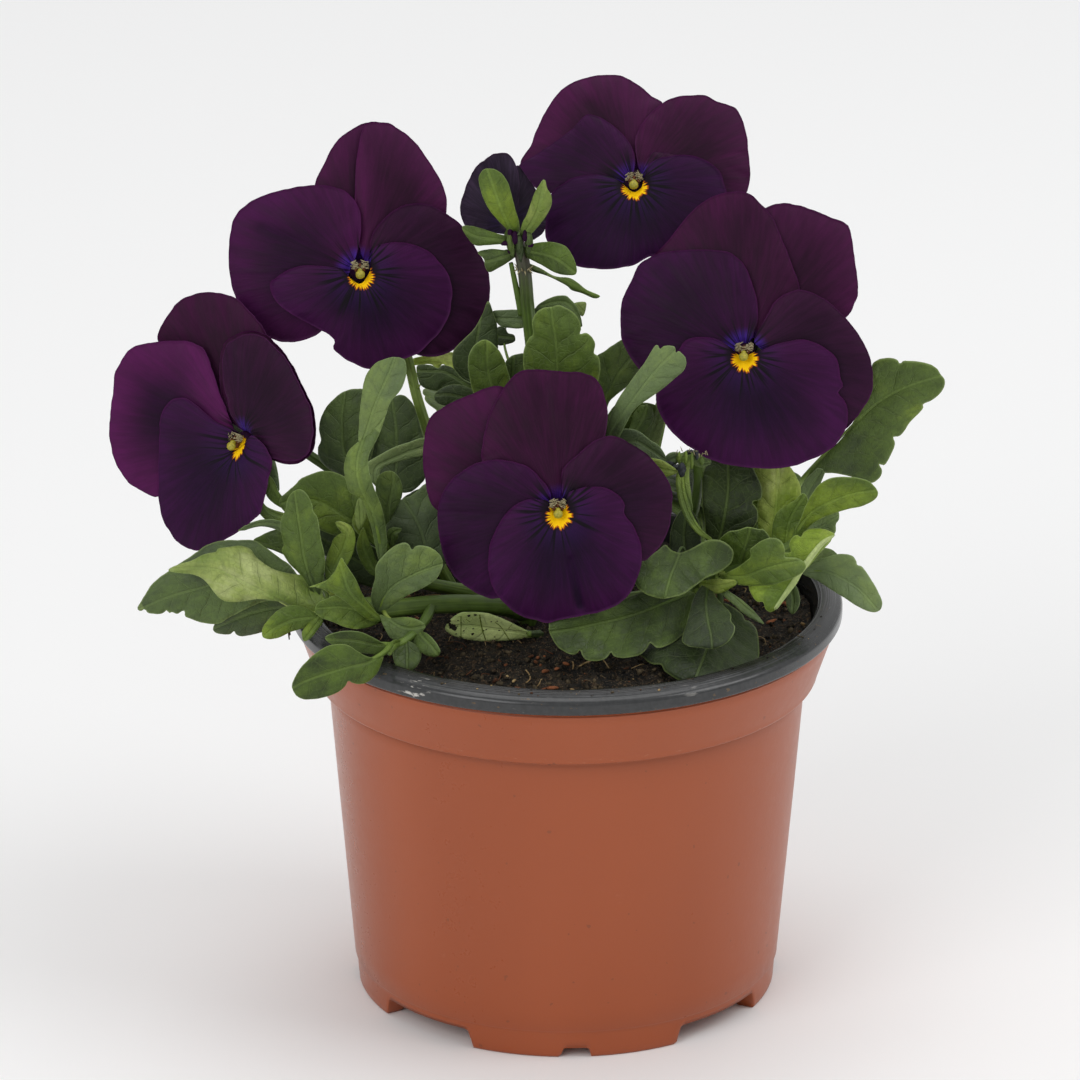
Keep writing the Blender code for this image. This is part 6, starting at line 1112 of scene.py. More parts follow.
def leaf_material(name="leaf_skin"):
    """Satin leaf: tone picks the green, veins branch from the midrib, margins are pale."""
    m = Nodes(name)
    x, y = m.plan()
    along = m.math("MULTIPLY", x, 60.0)
    across = m.math("MULTIPLY", m.math("SUBTRACT", y, 0.5), 60.0)
    away = m.math("ABSOLUTE", across)
    tone, grey, under, edge, lift = m.number("tone"), m.number("grey"), m.number("under"), m.number("edge"), m.number("halo")
    spot = m.place()
    green = m.new("ShaderNodeValToRGB")
    green.color_ramp.interpolation = "EASE"
    stops = [(0.0, (30, 39, 20)), (0.25, (50, 64, 28)), (0.5, (78, 98, 36)), (0.72, (110, 130, 42)), (0.88, (144, 158, 76)), (1.0, (172, 182, 112))]
    while len(green.color_ramp.elements) < len(stops):
        green.color_ramp.elements.new(0.5)
    for e, (at, c) in zip(green.color_ramp.elements, stops):
        e.position, e.color = at, srgb(*c)
    patch = m.noise(spot, 190.0, 3.0, 0.55)
    broad = m.noise(spot, 55.0, 2.0, 0.5)
    shade = m.math("ADD", tone, m.math("ADD", m.ramp(patch, 0.3, 0.7, -0.06, 0.06), m.ramp(broad, 0.3, 0.7, -0.13, 0.13)), clamp=True)
    streaks = m.noise(m.combine(m.math("MULTIPLY", along, 0.12), m.math("MULTIPLY", across, 0.75), tone), 1.0, 3.0, 0.55)
    shade = m.math("ADD", shade, m.ramp(streaks, 0.3, 0.7, -0.05, 0.05), clamp=True)
    # side veins: slanted lines that bend forwards towards the margin
    warp = m.noise(spot, 260.0, 2.0, 0.5)
    slant = m.math("SUBTRACT", m.math("SUBTRACT", along, m.math("MULTIPLY", away, 0.95)), m.math("MULTIPLY", m.math("MULTIPLY", away, away), -0.03))
    comb = m.math("ADD", m.math("MULTIPLY", slant, 0.25), m.math("MULTIPLY", warp, 0.55))
    saw = m.math("ABSOLUTE", m.math("SUBTRACT", m.math("FRACT", comb), 0.5))
    vein = m.math("MULTIPLY", m.ramp(saw, 0.0, 0.06, 1.0, 0.0), m.ramp(away, 0.25, 0.8))
    vein = m.math("MULTIPLY", vein, m.ramp(edge, 0.62, 0.98, 1.0, 0.15))
    rib = m.ramp(away, 0.16, 0.42, 1.0, 0.0)
    net = m.new("ShaderNodeTexVoronoi", feature="DISTANCE_TO_EDGE")
    net.inputs["Scale"].default_value = 900.0
    m.link(spot, net.inputs["Vector"])
    mesh = m.ramp(net.outputs["Distance"], 0.0, 0.09, 1.0, 0.0)
    m.link(shade, green.inputs[0])
    colour = green.outputs["Color"]
    # the green's own random speckle and mottle, and painted shade beside the veins
    beside = m.math("MULTIPLY", m.math("MULTIPLY", m.ramp(saw, 0.05, 0.17, 1.0, 0.0), m.ramp(away, 0.5, 1.4)), m.ramp(edge, 0.6, 0.95, 1.0, 0.2))
    speck = m.noise(spot, 1500.0, 3.0, 0.65)
    mottle = m.noise(spot, 420.0, 4.0, 0.65)
    mottle_and_vein_shade = m.math("MULTIPLY", m.ramp(speck, 0.3, 0.7, 0.90, 1.10), m.math("MULTIPLY", m.ramp(mottle, 0.3, 0.7, 0.88, 1.12), m.math("SUBTRACT", 1.0, m.math("MULTIPLY", beside, 0.16))))
    colour = m.mix(1.0, colour, m.combine(mottle_and_vein_shade, mottle_and_vein_shade, mottle_and_vein_shade), "MULTIPLY")
    lines = m.math("MAXIMUM", m.math("MULTIPLY", vein, 0.22), m.math("MULTIPLY", rib, 0.30))
    lines = m.math("MAXIMUM", lines, m.math("MULTIPLY", mesh, 0.11))
    pale = m.mix(0.5, colour, srgb(150, 176, 92))
    colour = m.mix(lines, colour, pale)
    colour = m.mix(m.ramp(edge, 0.955, 1.0, 0.0, 0.45), colour, srgb(148, 168, 96))
    colour = m.mix(grey, colour, m.mix(0.6, colour, srgb(112, 126, 100)))
    back = m.mix(0.5, colour, srgb(120, 140, 108))
    colour = m.mix(under, colour, back)
    # painted light: the halo number lightens a leaf's colour to stand for the light it catches
    raised = m.math("ADD", 1.0, lift)
    colour = m.mix(1.0, colour, m.combine(raised, raised, m.math("ADD", 1.0, m.math("MULTIPLY", lift, 0.8))), "MULTIPLY")
    m.set(Base_Color=colour, Roughness=m.ramp(patch, 0.3, 0.7, 0.42, 0.56))
    m.shader.inputs["Specular IOR Level"].default_value = 0.25
    m.shader.inputs["Subsurface Weight"].default_value = 0.0
    pillow = m.math("MULTIPLY", m.ramp(saw, 0.0, 0.42), m.ramp(away, 0.4, 2.2))
    height = m.math("ADD", m.math("MULTIPLY", patch, 0.35), m.math("ADD", m.math("MULTIPLY", pillow, 0.5), m.math("MULTIPLY", mottle, 0.22)))
    height = m.math("SUBTRACT", height, m.math("ADD", m.math("MULTIPLY", vein, 0.45), m.math("ADD", m.math("MULTIPLY", rib, 0.6), m.math("MULTIPLY", mesh, 0.2))))
    m.bump(height, 0.6, 0.0005)
    return m.mat


def stem_material(name="stem_skin"):
    m = Nodes(name)
    spot = m.place()
    tone, grey = m.number("tone"), m.number("grey")
    x, y = m.plan()
    ribs = m.noise(m.combine(m.math("MULTIPLY", x, 4.0), m.math("MULTIPLY", y, 22.0), 0.0), 1.0, 2.0, 0.5)
    mottle = m.noise(spot, 320.0, 3.0, 0.6)
    green = m.new("ShaderNodeValToRGB")
    stops = [(0.0, (40, 54, 26)), (0.5, (88, 112, 44)), (0.8, (128, 150, 62)), (1.0, (166, 178, 96))]
    while len(green.color_ramp.elements) < len(stops):
        green.color_ramp.elements.new(0.5)
    for e, (at, c) in zip(green.color_ramp.elements, stops):
        e.position, e.color = at, srgb(*c)
    m.link(m.math("ADD", tone, m.math("ADD", m.ramp(ribs, 0.3, 0.7, -0.1, 0.1), m.ramp(mottle, 0.3, 0.7, -0.07, 0.07)), clamp=True), green.inputs[0])
    colour = m.mix(m.math("MULTIPLY", grey, 0.8), green.outputs["Color"], srgb(70, 40, 60))
    m.set(Base_Color=colour, Roughness=m.ramp(mottle, 0.3, 0.7, 0.42, 0.55))
    m.shader.inputs["Specular IOR Level"].default_value = 0.4
    m.bump(m.math("ADD", ribs, m.math("MULTIPLY", mottle, 0.4)), 0.4, 0.0004)
    return m.mat


def plain_material(name, colour, second, rough, scale=900.0, bump=0.3, distance=0.0003, spec=0.4):
    m = Nodes(name)
    spot = m.place()
    grain = m.noise(spot, scale, 3.0, 0.6)
    m.set(Base_Color=m.mix(m.ramp(grain, 0.3, 0.7), srgb(*colour), srgb(*second)), Roughness=m.ramp(grain, 0.3, 0.7, rough - 0.06, rough + 0.06))
    m.shader.inputs["Specular IOR Level"].default_value = spec
    m.bump(grain, bump, distance)
    return m.mat


def terracotta_material():
    m = Nodes("terracotta_plastic_skin")
    spot = m.place()
    stretched = m.new("ShaderNodeMapping")
    stretched.inputs["Scale"].default_value = (1.0, 1.0, 0.25)
    m.link(spot, stretched.inputs["Vector"])
    broad = m.noise(stretched.outputs[0], 26.0, 2.0, 0.5)
    grain = m.noise(spot, 1500.0, 2.0, 0.5)
    dust = m.noise(spot, 420.0, 4.0, 0.7)
    specks = m.noise(spot, 620.0, 1.0, 0.4)
    colour = m.mix(m.ramp(broad, 0.3, 0.7), srgb(152, 72, 33), srgb(160, 78, 39))
    colour = m.mix(m.ramp(grain, 0.3, 0.7, 0.0, 0.12), colour, srgb(150, 74, 42))
    colour = m.mix(m.ramp(dust, 0.66, 0.8, 0.0, 0.14), colour, srgb(200, 140, 108))
    colour = m.mix(m.ramp(specks, 0.765, 0.79, 0.0, 0.5), colour, srgb(104, 56, 34))
    parts = m.new("ShaderNodeSeparateXYZ")
    m.link(spot, parts.inputs[0])
    level = parts.outputs[2]
    flat = m.new("ShaderNodeMapping")
    flat.inputs["Scale"].default_value = (1.0, 1.0, 3.5)
    m.link(spot, flat.inputs["Vector"])
    scrape = m.noise(flat.outputs[0], 520.0, 4.0, 0.7)
    at_step = m.ramp(m.math("ABSOLUTE", m.math("SUBTRACT", level, BAND_LOW_Z * 0.001 + 0.0004)), 0.0003, 0.0016, 1.0, 0.0)
    on_band = m.ramp(level, BAND_LOW_Z * 0.001, BAND_LOW_Z * 0.001 + 0.001, 0.0, 0.10)
    colour = m.mix(m.math("MULTIPLY", m.math("MAXIMUM", at_step, on_band), m.ramp(scrape, 0.62, 0.74, 0.0, 0.55)), colour, srgb(206, 158, 130))
    m.set(Base_Color=colour, Roughness=m.ramp(m.math("ADD", m.math("MULTIPLY", dust, 0.5), m.math("MULTIPLY", broad, 0.5)), 0.35, 0.65, 0.27, 0.37))
    m.shader.inputs["Specular IOR Level"].default_value = 0.45
    height = m.math("ADD", m.math("MULTIPLY", broad, 1.0), m.math("MULTIPLY", grain, 0.05))
    m.bump(height, 0.22, 0.0012)
    return m.mat


def grey_material():
    m = Nodes("grey_plastic_skin")
    spot = m.place()
    grain = m.noise(spot, 900.0, 3.0, 0.6)
    # scuffs run round the rim
    split = m.new("ShaderNodeSeparateXYZ")
    m.link(spot, split.inputs[0])
    px = m.math("SUBTRACT", split.outputs[0], float(SHIFT[0] * 0.001))
    turn = m.math("ARCTAN2", split.outputs[1], px)
    radius = m.math("SQRT", m.math("ADD", m.math("MULTIPLY", px, px), m.math("MULTIPLY", split.outputs[1], split.outputs[1])))
    rings = m.noise(m.combine(m.math("MULTIPLY", turn, 3.0), m.math("MULTIPLY", radius, 5200.0), 0.0), 1.0, 2.0, 0.6)
    scratch = m.noise(m.combine(m.math("MULTIPLY", turn, 16.0), m.math("MULTIPLY", radius, 2400.0), m.math("MULTIPLY", split.outputs[2], 900.0)), 1.0, 3.0, 0.6)
    worn = m.noise(m.combine(m.math("MULTIPLY", turn, 5.0), 0.0, 2.0), 1.0, 2.0, 0.5)
    colour = m.mix(m.ramp(grain, 0.3, 0.7), srgb(42, 43, 44), srgb(52, 53, 54))
    here = m.math("MULTIPLY", m.ramp(m.math("ABSOLUTE", m.math("ADD", turn, 2.14)), 0.03, 0.09, 1.0, 0.0), m.ramp(radius, 0.0498, 0.0503))
    worn = m.math("MAXIMUM", m.math("MULTIPLY", here, m.ramp(scratch, 0.56, 0.66)), m.math("MULTIPLY", m.ramp(scratch, 0.60, 0.70), m.ramp(worn, 0.56, 0.66, 0.0, 0.3)))
    colour = m.mix(worn, colour, srgb(188, 184, 178))
    # painted shade: the inner slope of the lip is darkened to near-black, most at the front, standing in for the shade
    # and dark reflection of the plants above it
    shade_edge_noise = m.noise(spot, 260.0, 4.0, 0.65)
    plant_shade_mask = m.math("MULTIPLY", m.ramp(m.math("ADD", radius, m.math("MULTIPLY", m.math("SUBTRACT", shade_edge_noise, 0.5), 0.002)), 0.0499, 0.0510, 0.85, 0.0), m.ramp(split.outputs[1], -0.018, 0.012, 1.0, 0.2))
    colour = m.mix(plant_shade_mask, colour, srgb(20, 19, 16))
    crumb = m.noise(spot, 700.0, 2.0, 0.7)
    colour = m.mix(m.ramp(crumb, 0.68, 0.72, 0.0, 0.7), colour, srgb(96, 74, 44))
    m.set(Base_Color=colour, Roughness=m.ramp(rings, 0.3, 0.7, 0.16, 0.28))
    m.shader.inputs["Specular IOR Level"].default_value = 0.5
    m.bump(m.math("ADD", m.math("MULTIPLY", rings, 0.8), m.math("MULTIPLY", grain, 0.2)), 0.12, 0.0003)
    return m.mat


def soil_material():
    m = Nodes("peat_skin")
    spot = m.place()
    a = m.noise(spot, 260.0, 6.0, 0.72)
    b = m.noise(spot, 1100.0, 4.0, 0.7)
    cells = m.new("ShaderNodeTexVoronoi")
    cells.inputs["Scale"].default_value = 480.0
    m.link(spot, cells.inputs["Vector"])
    c = m.noise(spot, 2300.0, 3.0, 0.7)
    colour = m.mix(m.ramp(a, 0.38, 0.64), srgb(12, 12, 10), srgb(47, 41, 33))
    colour = m.mix(m.ramp(b, 0.52, 0.66, 0.0, 0.8), colour, srgb(96, 76, 56))
    colour = m.mix(m.ramp(c, 0.58, 0.67, 0.0, 0.75), colour, srgb(132, 114, 88))
    colour = m.mix(m.ramp(c, 0.28, 0.40, 0.8, 0.0), colour, srgb(7, 6, 5))
    colour = m.mix(m.ramp(cells.outputs["Distance"], 0.0, 0.25, 0.25, 0.0), colour, srgb(8, 7, 6))
    m.set(Base_Color=colour, Roughness=m.ramp(b, 0.3, 0.7, 0.72, 0.95))
    m.shader.inputs["Specular IOR Level"].default_value = 0.25
    m.bump(m.math("ADD", a, m.math("MULTIPLY", b, 0.7)), 1.0, 0.0016)
    return m.mat


# ---------------------------------------------------------------- materials
MAT = {
    "leaf": leaf_material(),
    "stem": stem_material(),
    "terracotta": terracotta_material(),
    "grey": grey_material(),
    "peat": soil_material(),
    "bark": plain_material("bark_skin", (104, 64, 40), (58, 38, 26), 0.8, 700.0, 0.6, 0.0006, 0.2),
    "crumb": plain_material("crumb_skin", (92, 80, 60), (22, 20, 16), 0.85, 620.0, 0.7, 0.0006, 0.2),
    "chip": plain_material("chip_skin", (150, 92, 58), (92, 56, 36), 0.8, 900.0, 0.6, 0.0006, 0.2),
    "straw": plain_material("straw_skin", (176, 150, 104), (120, 94, 58), 0.7, 900.0, 0.3, 0.0003, 0.3),
    "stigma": plain_material("stigma_skin", (176, 162, 44), (138, 134, 40), 0.45, 2600.0, 0.3, 0.0001, 0.5),
    "anther": plain_material("anther_skin", (108, 60, 28), (70, 36, 18), 0.6, 2600.0, 0.4, 0.0001, 0.3),
    "hair": plain_material("beard_skin", (176, 166, 132), (128, 116, 84), 0.6, 2600.0, 0.2, 0.0001, 0.3),
    "spot": plain_material("spot_skin", (26, 24, 18), (44, 40, 26), 0.7, 2600.0, 0.2, 0.0001, 0.3),
    "withered": plain_material("withered_skin", (58, 62, 66), (30, 30, 34), 0.6, 1600.0, 0.4, 0.0002, 0.3),
    "upper": petal_material("petal_upper", (39, 6, 33), (53, 9, 45), "upper", 0.08),
    "side": petal_material("petal_side", (32, 4, 34), (48, 8, 51), "side", 0.07),
    "side_brown": petal_material("petal_side_brown", (33, 8, 31), (45, 12, 41), "side", 0.08),
    "turned": petal_material("petal_turned", (30, 16, 34), (42, 26, 48), "side", 0.08, (64, 56, 72)),
    "lower": petal_material("petal_lower", (27, 5, 34), (44, 8, 51), "lower", 0.05),
}


# ---------------------------------------------------------------- pot
def make_pot():
    build = Build()
    turns = 480
    theta = np.linspace(0, 2 * math.pi, turns, endpoint=False)
    # feet: raised gaps with rounded shoulders, and a small arch in each foot
    foot = np.zeros(turns)
    for i in range(4):
        for kind, half, top in (("gap", 15.0, 4.0), ("arch", 2.6 / FOOT_R * 57.3, 2.0)):
            at = math.radians(-90 + 2.5 + 90 * i + (45 if kind == "gap" else 0))
            off = np.degrees(np.abs((theta - at + math.pi) % (2 * math.pi) - math.pi))
            shape = np.clip((half + (1.2 if kind == "gap" else 0.5) - off) / (2.4 if kind == "gap" else 1.2), 0, 1)
            shape = 1 - (1 - shape) ** 2.2
            foot = np.maximum(foot, top * shape)
    # (radius, height, material, share of the foot's lift)
    profile = []

    def arc(cx, cz, r, start, stop, steps, mat):
        for k in np.linspace(0, 1, steps):
            t = math.radians(start + (stop - start) * k)
            profile.append((cx + r * math.cos(t), cz + r * math.sin(t), mat, 0.0))

    profile.append((BODY_LOW_R - WALL - 4.0, BASE_UNDER_Z + WALL, 1, 0))
    profile.append((BODY_LOW_R - WALL - 0.6, BASE_UNDER_Z + WALL, 1, 0))
    profile.append((BODY_LOW_R - WALL, BODY_LOW_Z + 1.0, 1, 0))
    profile.append((BODY_TOP_R - WALL, BAND_LOW_Z - 1.6, 1, 0))
    profile.append((BAND_LOW_R - WALL, BAND_LOW_Z, 1, 0))
    profile.append((LIP_INNER_R - 1.2, LIP_TOP_Z - 4.0, 1, 0))
    profile.append((LIP_INNER_R - 0.45, LIP_TOP_Z - 1.0, 1, 0))
    profile.append((LIP_INNER_R - 0.2, LIP_TOP_Z - 0.3, 1, 0))
    arc(LIP_INNER_R + 0.75, LIP_TOP_Z - 0.55, 0.85, 170, 85, 6, 1)
    # the flat of the lip carries fine rings
    for k in np.linspace(0, 1, 26):
        r = LIP_INNER_R + 0.95 + k * 2.2
        profile.append((r, LIP_TOP_Z + 0.27 - 0.75 * k**1.8 + 0.035 * math.sin(k * 2 * math.pi * 5), 1, 0))
    arc(LIP_R - 1.15, LIP_TOP_Z - 1.75, 1.15, 70, -10, 8, 1)
    profile.append((LIP_R, LIP_LOW_Z + 0.55, 1, 0))
    arc(LIP_R - 0.6, LIP_LOW_Z + 0.15, 0.58, 0, -100, 6, 1)
    edge_of_lip = len(profile)
    profile.append((LIP_R - 1.0, LIP_LOW_Z - 0.40, 2, 0))
    profile.append((LIP_R - 1.25, LIP_LOW_Z - 0.55, 2, 0))
    profile.append((LIP_R - 1.30, LIP_LOW_Z - 0.85, 2, 0))
    profile.append((LIP_R - 1.62, LIP_LOW_Z - 0.95, 2, 0))
    profile.append((LIP_R - 1.62, LIP_LOW_Z - 1.10, 2, 0))
    profile.append((LIP_R - 1.22, LIP_LOW_Z - 1.20, 2, 0))
    profile.append((LIP_R - 1.42, LIP_LOW_Z - 1.30, 2, 0))
    profile.append((LIP_R - 1.40, LIP_LOW_Z - 1.60, 2, 0))
    profile.append((LIP_R - 1.75, LIP_LOW_Z - 3.0, 2, 0))
    for k in np.linspace(0.1, 1, 8):
        profile.append((LIP_R - 1.75 + k * (BAND_LOW_R + 0.15 - LIP_R + 1.75), LIP_LOW_Z - 3.0 + k * (BAND_LOW_Z + 0.75 - LIP_LOW_Z + 3.0), 2, 0))
    profile.append((BAND_LOW_R + 0.12, BAND_LOW_Z + 0.45, 2, 0))
    profile.append((BAND_LOW_R - 0.05, BAND_LOW_Z + 0.15, 2, 0))
    profile.append((BAND_LOW_R - 0.5, BAND_LOW_Z - 0.05, 2, 0))
    profile.append((BODY_TOP_R + 0.7, BAND_LOW_Z - 0.12, 2, 0))
    profile.append((BODY_TOP_R + 0.05, BAND_LOW_Z - 0.35, 2, 0))
    profile.append((BODY_TOP_R - 0.22, BAND_LOW_Z - 0.8, 2, 0))
    profile.append((BODY_TOP_R - 0.12, BAND_LOW_Z - 1.3, 2, 0))
    profile.append((BODY_TOP_R, BAND_LOW_Z - 1.9, 2, 0))
    for k in np.linspace(0.03, 1, 14):
        profile.append((BODY_TOP_R + k * (BODY_LOW_R - BODY_TOP_R), BAND_LOW_Z - 1.8 + k * (BODY_LOW_Z + 0.25 - BAND_LOW_Z + 1.8), 2, 0))
    profile.append((BODY_LOW_R - 0.22, BODY_LOW_Z - 0.05, 2, 0.0))
    profile.append((FOOT_R + 0.42, BODY_LOW_Z - 0.3, 2, 0.1))
    profile.append((FOOT_R + 0.38, BODY_LOW_Z - 0.9, 2, 0.3))
    profile.append((FOOT_R + 0.28, 3.6, 2, 0.45))
    profile.append((FOOT_R + 0.18, 1.8, 2, 0.75))
    profile.append((FOOT_R + 0.08, 0.5, 2, 0.96))
    profile.append((FOOT_R - 0.1, 0.12, 2, 1.0))
    profile.append((FOOT_R - 0.45, 0.0, 2, 1.0))
    profile.append((FOOT_R - 1.8, 0.0, 2, 1.0))
    profile.append((FOOT_INNER_R + 0.3, 0.0, 2, 1.0))
    profile.append((FOOT_INNER_R, 0.3, 2, 0.98))
    profile.append((FOOT_INNER_R - 0.3, 2.0, 2, 0.6))
    profile.append((FOOT_INNER_R - 0.6, BASE_UNDER_Z, 2, 0.02))
    for r in (33.0, 30.2, 30.0, 28.2, 28.0, 20.0, 12.0, 7.0):
        profile.append((r, BASE_UNDER_Z + (0.5 if r in (30.0, 28.2) else 0.0), 2, 0))
    profile.append((4.5, BASE_UNDER_Z, 2, 0))
    profile.append((4.5, BASE_UNDER_Z + WALL, 2, 0))
    profile.append((8.0, BASE_UNDER_Z + WALL, 1, 0))
    n = len(profile)
    points = []
    for r, z, mat, share in profile:
        zz = z + (np.maximum(foot - z, 0) * min(1, share * 1.4) if share > 0 else 0)
        # the thermoformed wall is a little out of round
        bend = 0.10 * np.sin(2 * theta + 0.6) + 0.05 * np.sin(5 * theta + 2)
        rr = r + (bend * np.clip((z - 8) / 30, 0, 1) if mat == 2 and 6 < z < 62 else 0)
        points.append(np.stack([rr * np.cos(theta), rr * np.sin(theta), np.broadcast_to(zz, theta.shape)], axis=1))
    points = np.vstack(points)
    faces, slots = [], []
    for i in range(n):
        k = (i + 1) % n
        for j in range(turns):
            l = (j + 1) % turns
            faces.append((i * turns + j, i * turns + l, k * turns + l, k * turns + j))
        slots += [0 if profile[i][2] == 2 or (i >= edge_of_lip - 1 and profile[i][2] == 2) else 1] * turns
    build.add(points, [f[::-1] for f in faces], slots)
    return build.finish("pot_shell", [MAT["terracotta"], MAT["grey"]], "pot")


# ---------------------------------------------------------------- soil
def soil_height(x, y):
    r = np.hypot(x, y)
    base = SOIL_EDGE_Z + SOIL_MOUND * np.clip(1 - (r / (LIP_INNER_R - 1)) ** 2, 0, 1)
    rng = np.random.default_rng(7)
    h = np.zeros_like(base)
    for scale, size in ((0.16, 0.55), (0.37, 0.45), (0.8, 0.30), (1.7, 0.20), (3.2, 0.12)):
        for _ in range(5):
            a = rng.uniform(0, 6.28)
            h += size / 2.2 * np.sin((x * math.cos(a) + y * math.sin(a)) * scale * rng.uniform(0.7, 1.3) + rng.uniform(0, 6.28))
    # the peat is banked against the wall at the right
    bank = 2.9 * np.exp(-((46.9 - r) / 3.2) ** 2) * np.exp(-((np.arctan2(y, x) + 0.30) / 0.75) ** 2)
    return base + h * 0.85 - 0.35 - 0.9 * np.exp(-((46.8 - r) / 1.6) ** 2) + bank


def on_peat(u, v, above):
    """The point just above the peat that stands at (u, v) in the elevation."""
    line = sight_lines(u, v)
    height = 72.5
    for _ in range(3):
        spot = EYE + line * ((height - EYE[2]) / line[2])
        height = float(soil_height(spot[:1], spot[1:2])[0]) + above
    return spot


def make_soil():
    build = Build()
    rings, turns = 92, 300
    theta = np.linspace(0, 2 * math.pi, turns, endpoint=False)
    radius = np.linspace(0, 46.55, rings + 1)[1:]
    rng = np.random.default_rng(3)
    x = (radius[:, None] * np.cos(theta)).ravel()
    y = (radius[:, None] * np.sin(theta)).ravel()
    z = soil_height(x, y) + 0.16 * rng.standard_normal(len(x))
    top = np.vstack([[0, 0, float(soil_height(np.array([0.0]), np.array([0.0]))[0])], np.stack([x, y, z], axis=1)])
    faces = [(0, 1 + j, 1 + (j + 1) % turns) for j in range(turns)]
    for i in range(rings - 1):
        for j in range(turns):
            k = (j + 1) % turns
            a, b = 1 + i * turns, 1 + (i + 1) * turns
            faces.append((a + j, b + j, b + k, a + k))
    # sides and bottom follow the pot's inside
    low = []
    for r, zz in ((46.3, 64.0), (43.8, 61.0), (39.1, 7.2), (38.0, 5.75)):
        low.append(np.stack([r * np.cos(theta), r * np.sin(theta), np.full(turns, zz)], axis=1))
    low.append(np.array([[0, 0, 5.75]]))
    points = np.vstack([top] + low)
    start = 1 + (rings - 1) * turns
    for i in range(4):
        for j in range(turns):
            k = (j + 1) % turns
            faces.append((start + j, start + turns + j, start + turns + k, start + k))
        start += turns
    last = len(points) - 1
    faces += [(start + j, last, start + (j + 1) % turns) for j in range(turns)]
    build.add(points, faces, 0)
    # crumbs, bark chips and fibres
    for i in range(2600):
        r, a = 46.2 * math.sqrt(rng.uniform(0.05, 1)), rng.uniform(0, 6.283)
        px, py = r * math.cos(a), r * math.sin(a)
        pz = float(soil_height(np.array([px]), np.array([py]))[0])
        q = rng.standard_normal((3, 3))
        axes, _ = np.linalg.qr(q)
        size = (0.16 + 0.72 * rng.uniform() ** 2.6) * np.array([1, rng.uniform(0.5, 1), rng.uniform(0.4, 0.9)])
        slot = 0 if rng.uniform() < 0.35 else (3 if rng.uniform() < 0.86 else (1 if rng.uniform() < 0.6 else 4))
        if i % 23 == 0:
            slot, size = 2, size * 0.6
        blob(build, (px, py, pz + 0.1), axes, size, slot, 3, 6, bumpy=0.18, seed=i)
    for i in range(64):
        r, a = 44.5 * math.sqrt(rng.uniform(0.05, 1)), rng.uniform(0, 6.283)
        px, py = r * math.cos(a), r * math.sin(a)
        pz = float(soil_height(np.array([px]), np.array([py]))[0])
        t = rng.uniform(0, 3.14)
        tip = rng.uniform(-0.35, 0.35)
        e = np.array([math.cos(t), math.sin(t), tip]); e /= np.linalg.norm(e)
        f = np.cross([0, 0, 1], e); f /= np.linalg.norm(f)
        axes = np.array([e, f, np.cross(e, f)])
        blob(build, (px, py, pz + 0.3), axes, (rng.uniform(0.6, 1.6), rng.uniform(0.3, 0.6), rng.uniform(0.15, 0.3)), (1, 4, 4, 1)[i % 4], 4, 6, bumpy=0.12, seed=900 + i)
    for i in range(170):
        r, a = 44.5 * math.sqrt(rng.uniform(0.03, 1)), rng.uniform(0, 6.283)
        px, py = r * math.cos(a), r * math.sin(a)
        pz = float(soil_height(np.array([px]), np.array([py]))[0])
        t = rng.uniform(0, 6.28)
        length = rng.uniform(1.5, 4.5)
        ks = np.linspace(0, 1, 7)
        path = np.stack([px + length * ks * math.cos(t) + 0.5 * np.sin(ks * 4 + i), py + length * ks * math.sin(t), pz + 0.25 + 0.5 * np.sin(ks * math.pi)], axis=1)
        inside = np.hypot(path[:, 0], path[:, 1]) < 46.0
        if inside.all() and (np.hypot(path[:, 0], path[:, 1]) < 45.0).all():
            tube(build, path, 0.06 + 0.05 * rng.uniform(), 2 if rng.uniform() < 0.3 else (1 if rng.uniform() < 0.5 else 3), sides=4)
    # pale roots lie on the peat in front of the leaf
    for row, wide in ((((577, 669), (581, 665.5), (587, 662.5), (593, 661), (600, 660)), 0.19), (((603, 660), (605, 662), (607, 665), (609, 668)), 0.12), (((572.5, 660), (573.5, 666), (572.5, 671), (573, 677)), 0.15), (((526, 670), (529, 674), (530, 679), (526, 683)), 0.13)):
        spots = [on_peat(u, v, 0.35) for u, v in row]
        tube(build, smooth(np.array(spots), np.linspace(0, 1, 20)), wide, 2, sides=6)
    # larger chips near the front wall
    for i, (u, v, long, wide, high, slot, turn) in enumerate((
        (552, 688, 1.35, 0.55, 0.4, 4, 0.12), (572, 690.5, 0.7, 0.45, 0.35, 2, 0.9), (545.5, 671, 0.85, 0.45, 0.35, 4, 0.1), (500, 683.5, 0.95, 0.7, 0.4, 3, 0.0),
        (476, 677, 1.1, 0.8, 0.45, 3, 0.5), (506, 665, 0.45, 0.35, 0.3, 4, 0.3), (514, 681, 0.6, 0.3, 0.3, 2, 1.1), (536, 662, 0.7, 0.3, 0.3, 1, 2.2), (559, 676, 0.5, 0.35, 0.3, 3, 0.4),
    )):
        e = np.array([math.cos(turn), math.sin(turn), 0.05]); e /= np.linalg.norm(e)
        f = np.cross([0, 0, 1], e); f /= np.linalg.norm(f)
        blob(build, on_peat(u, v, 0.3), np.array([e, f, np.cross(e, f)]), (long, wide, high), slot, 5, 8, bumpy=0.12, seed=3000 + i)
    # crumbs left lying on the lip
    for i in range(60):
        a = rng.uniform(-2.9, 0.35)
        r = rng.uniform(LIP_INNER_R + 0.5, LIP_R - 1.6)
        size = 0.09 + 0.24 * rng.uniform() ** 3
        blob(build, (r * math.cos(a), r * math.sin(a), LIP_TOP_Z + 0.20 - 0.75 * max(0.0, (r - LIP_INNER_R - 0.95) / 2.2) ** 1.8 + size * 0.5), np.eye(3), (size * 1.3, size, size * 0.7), (1, 3, 3, 3, 0, 2)[i % 6], 4, 6, bumpy=0.2, seed=2000 + i)
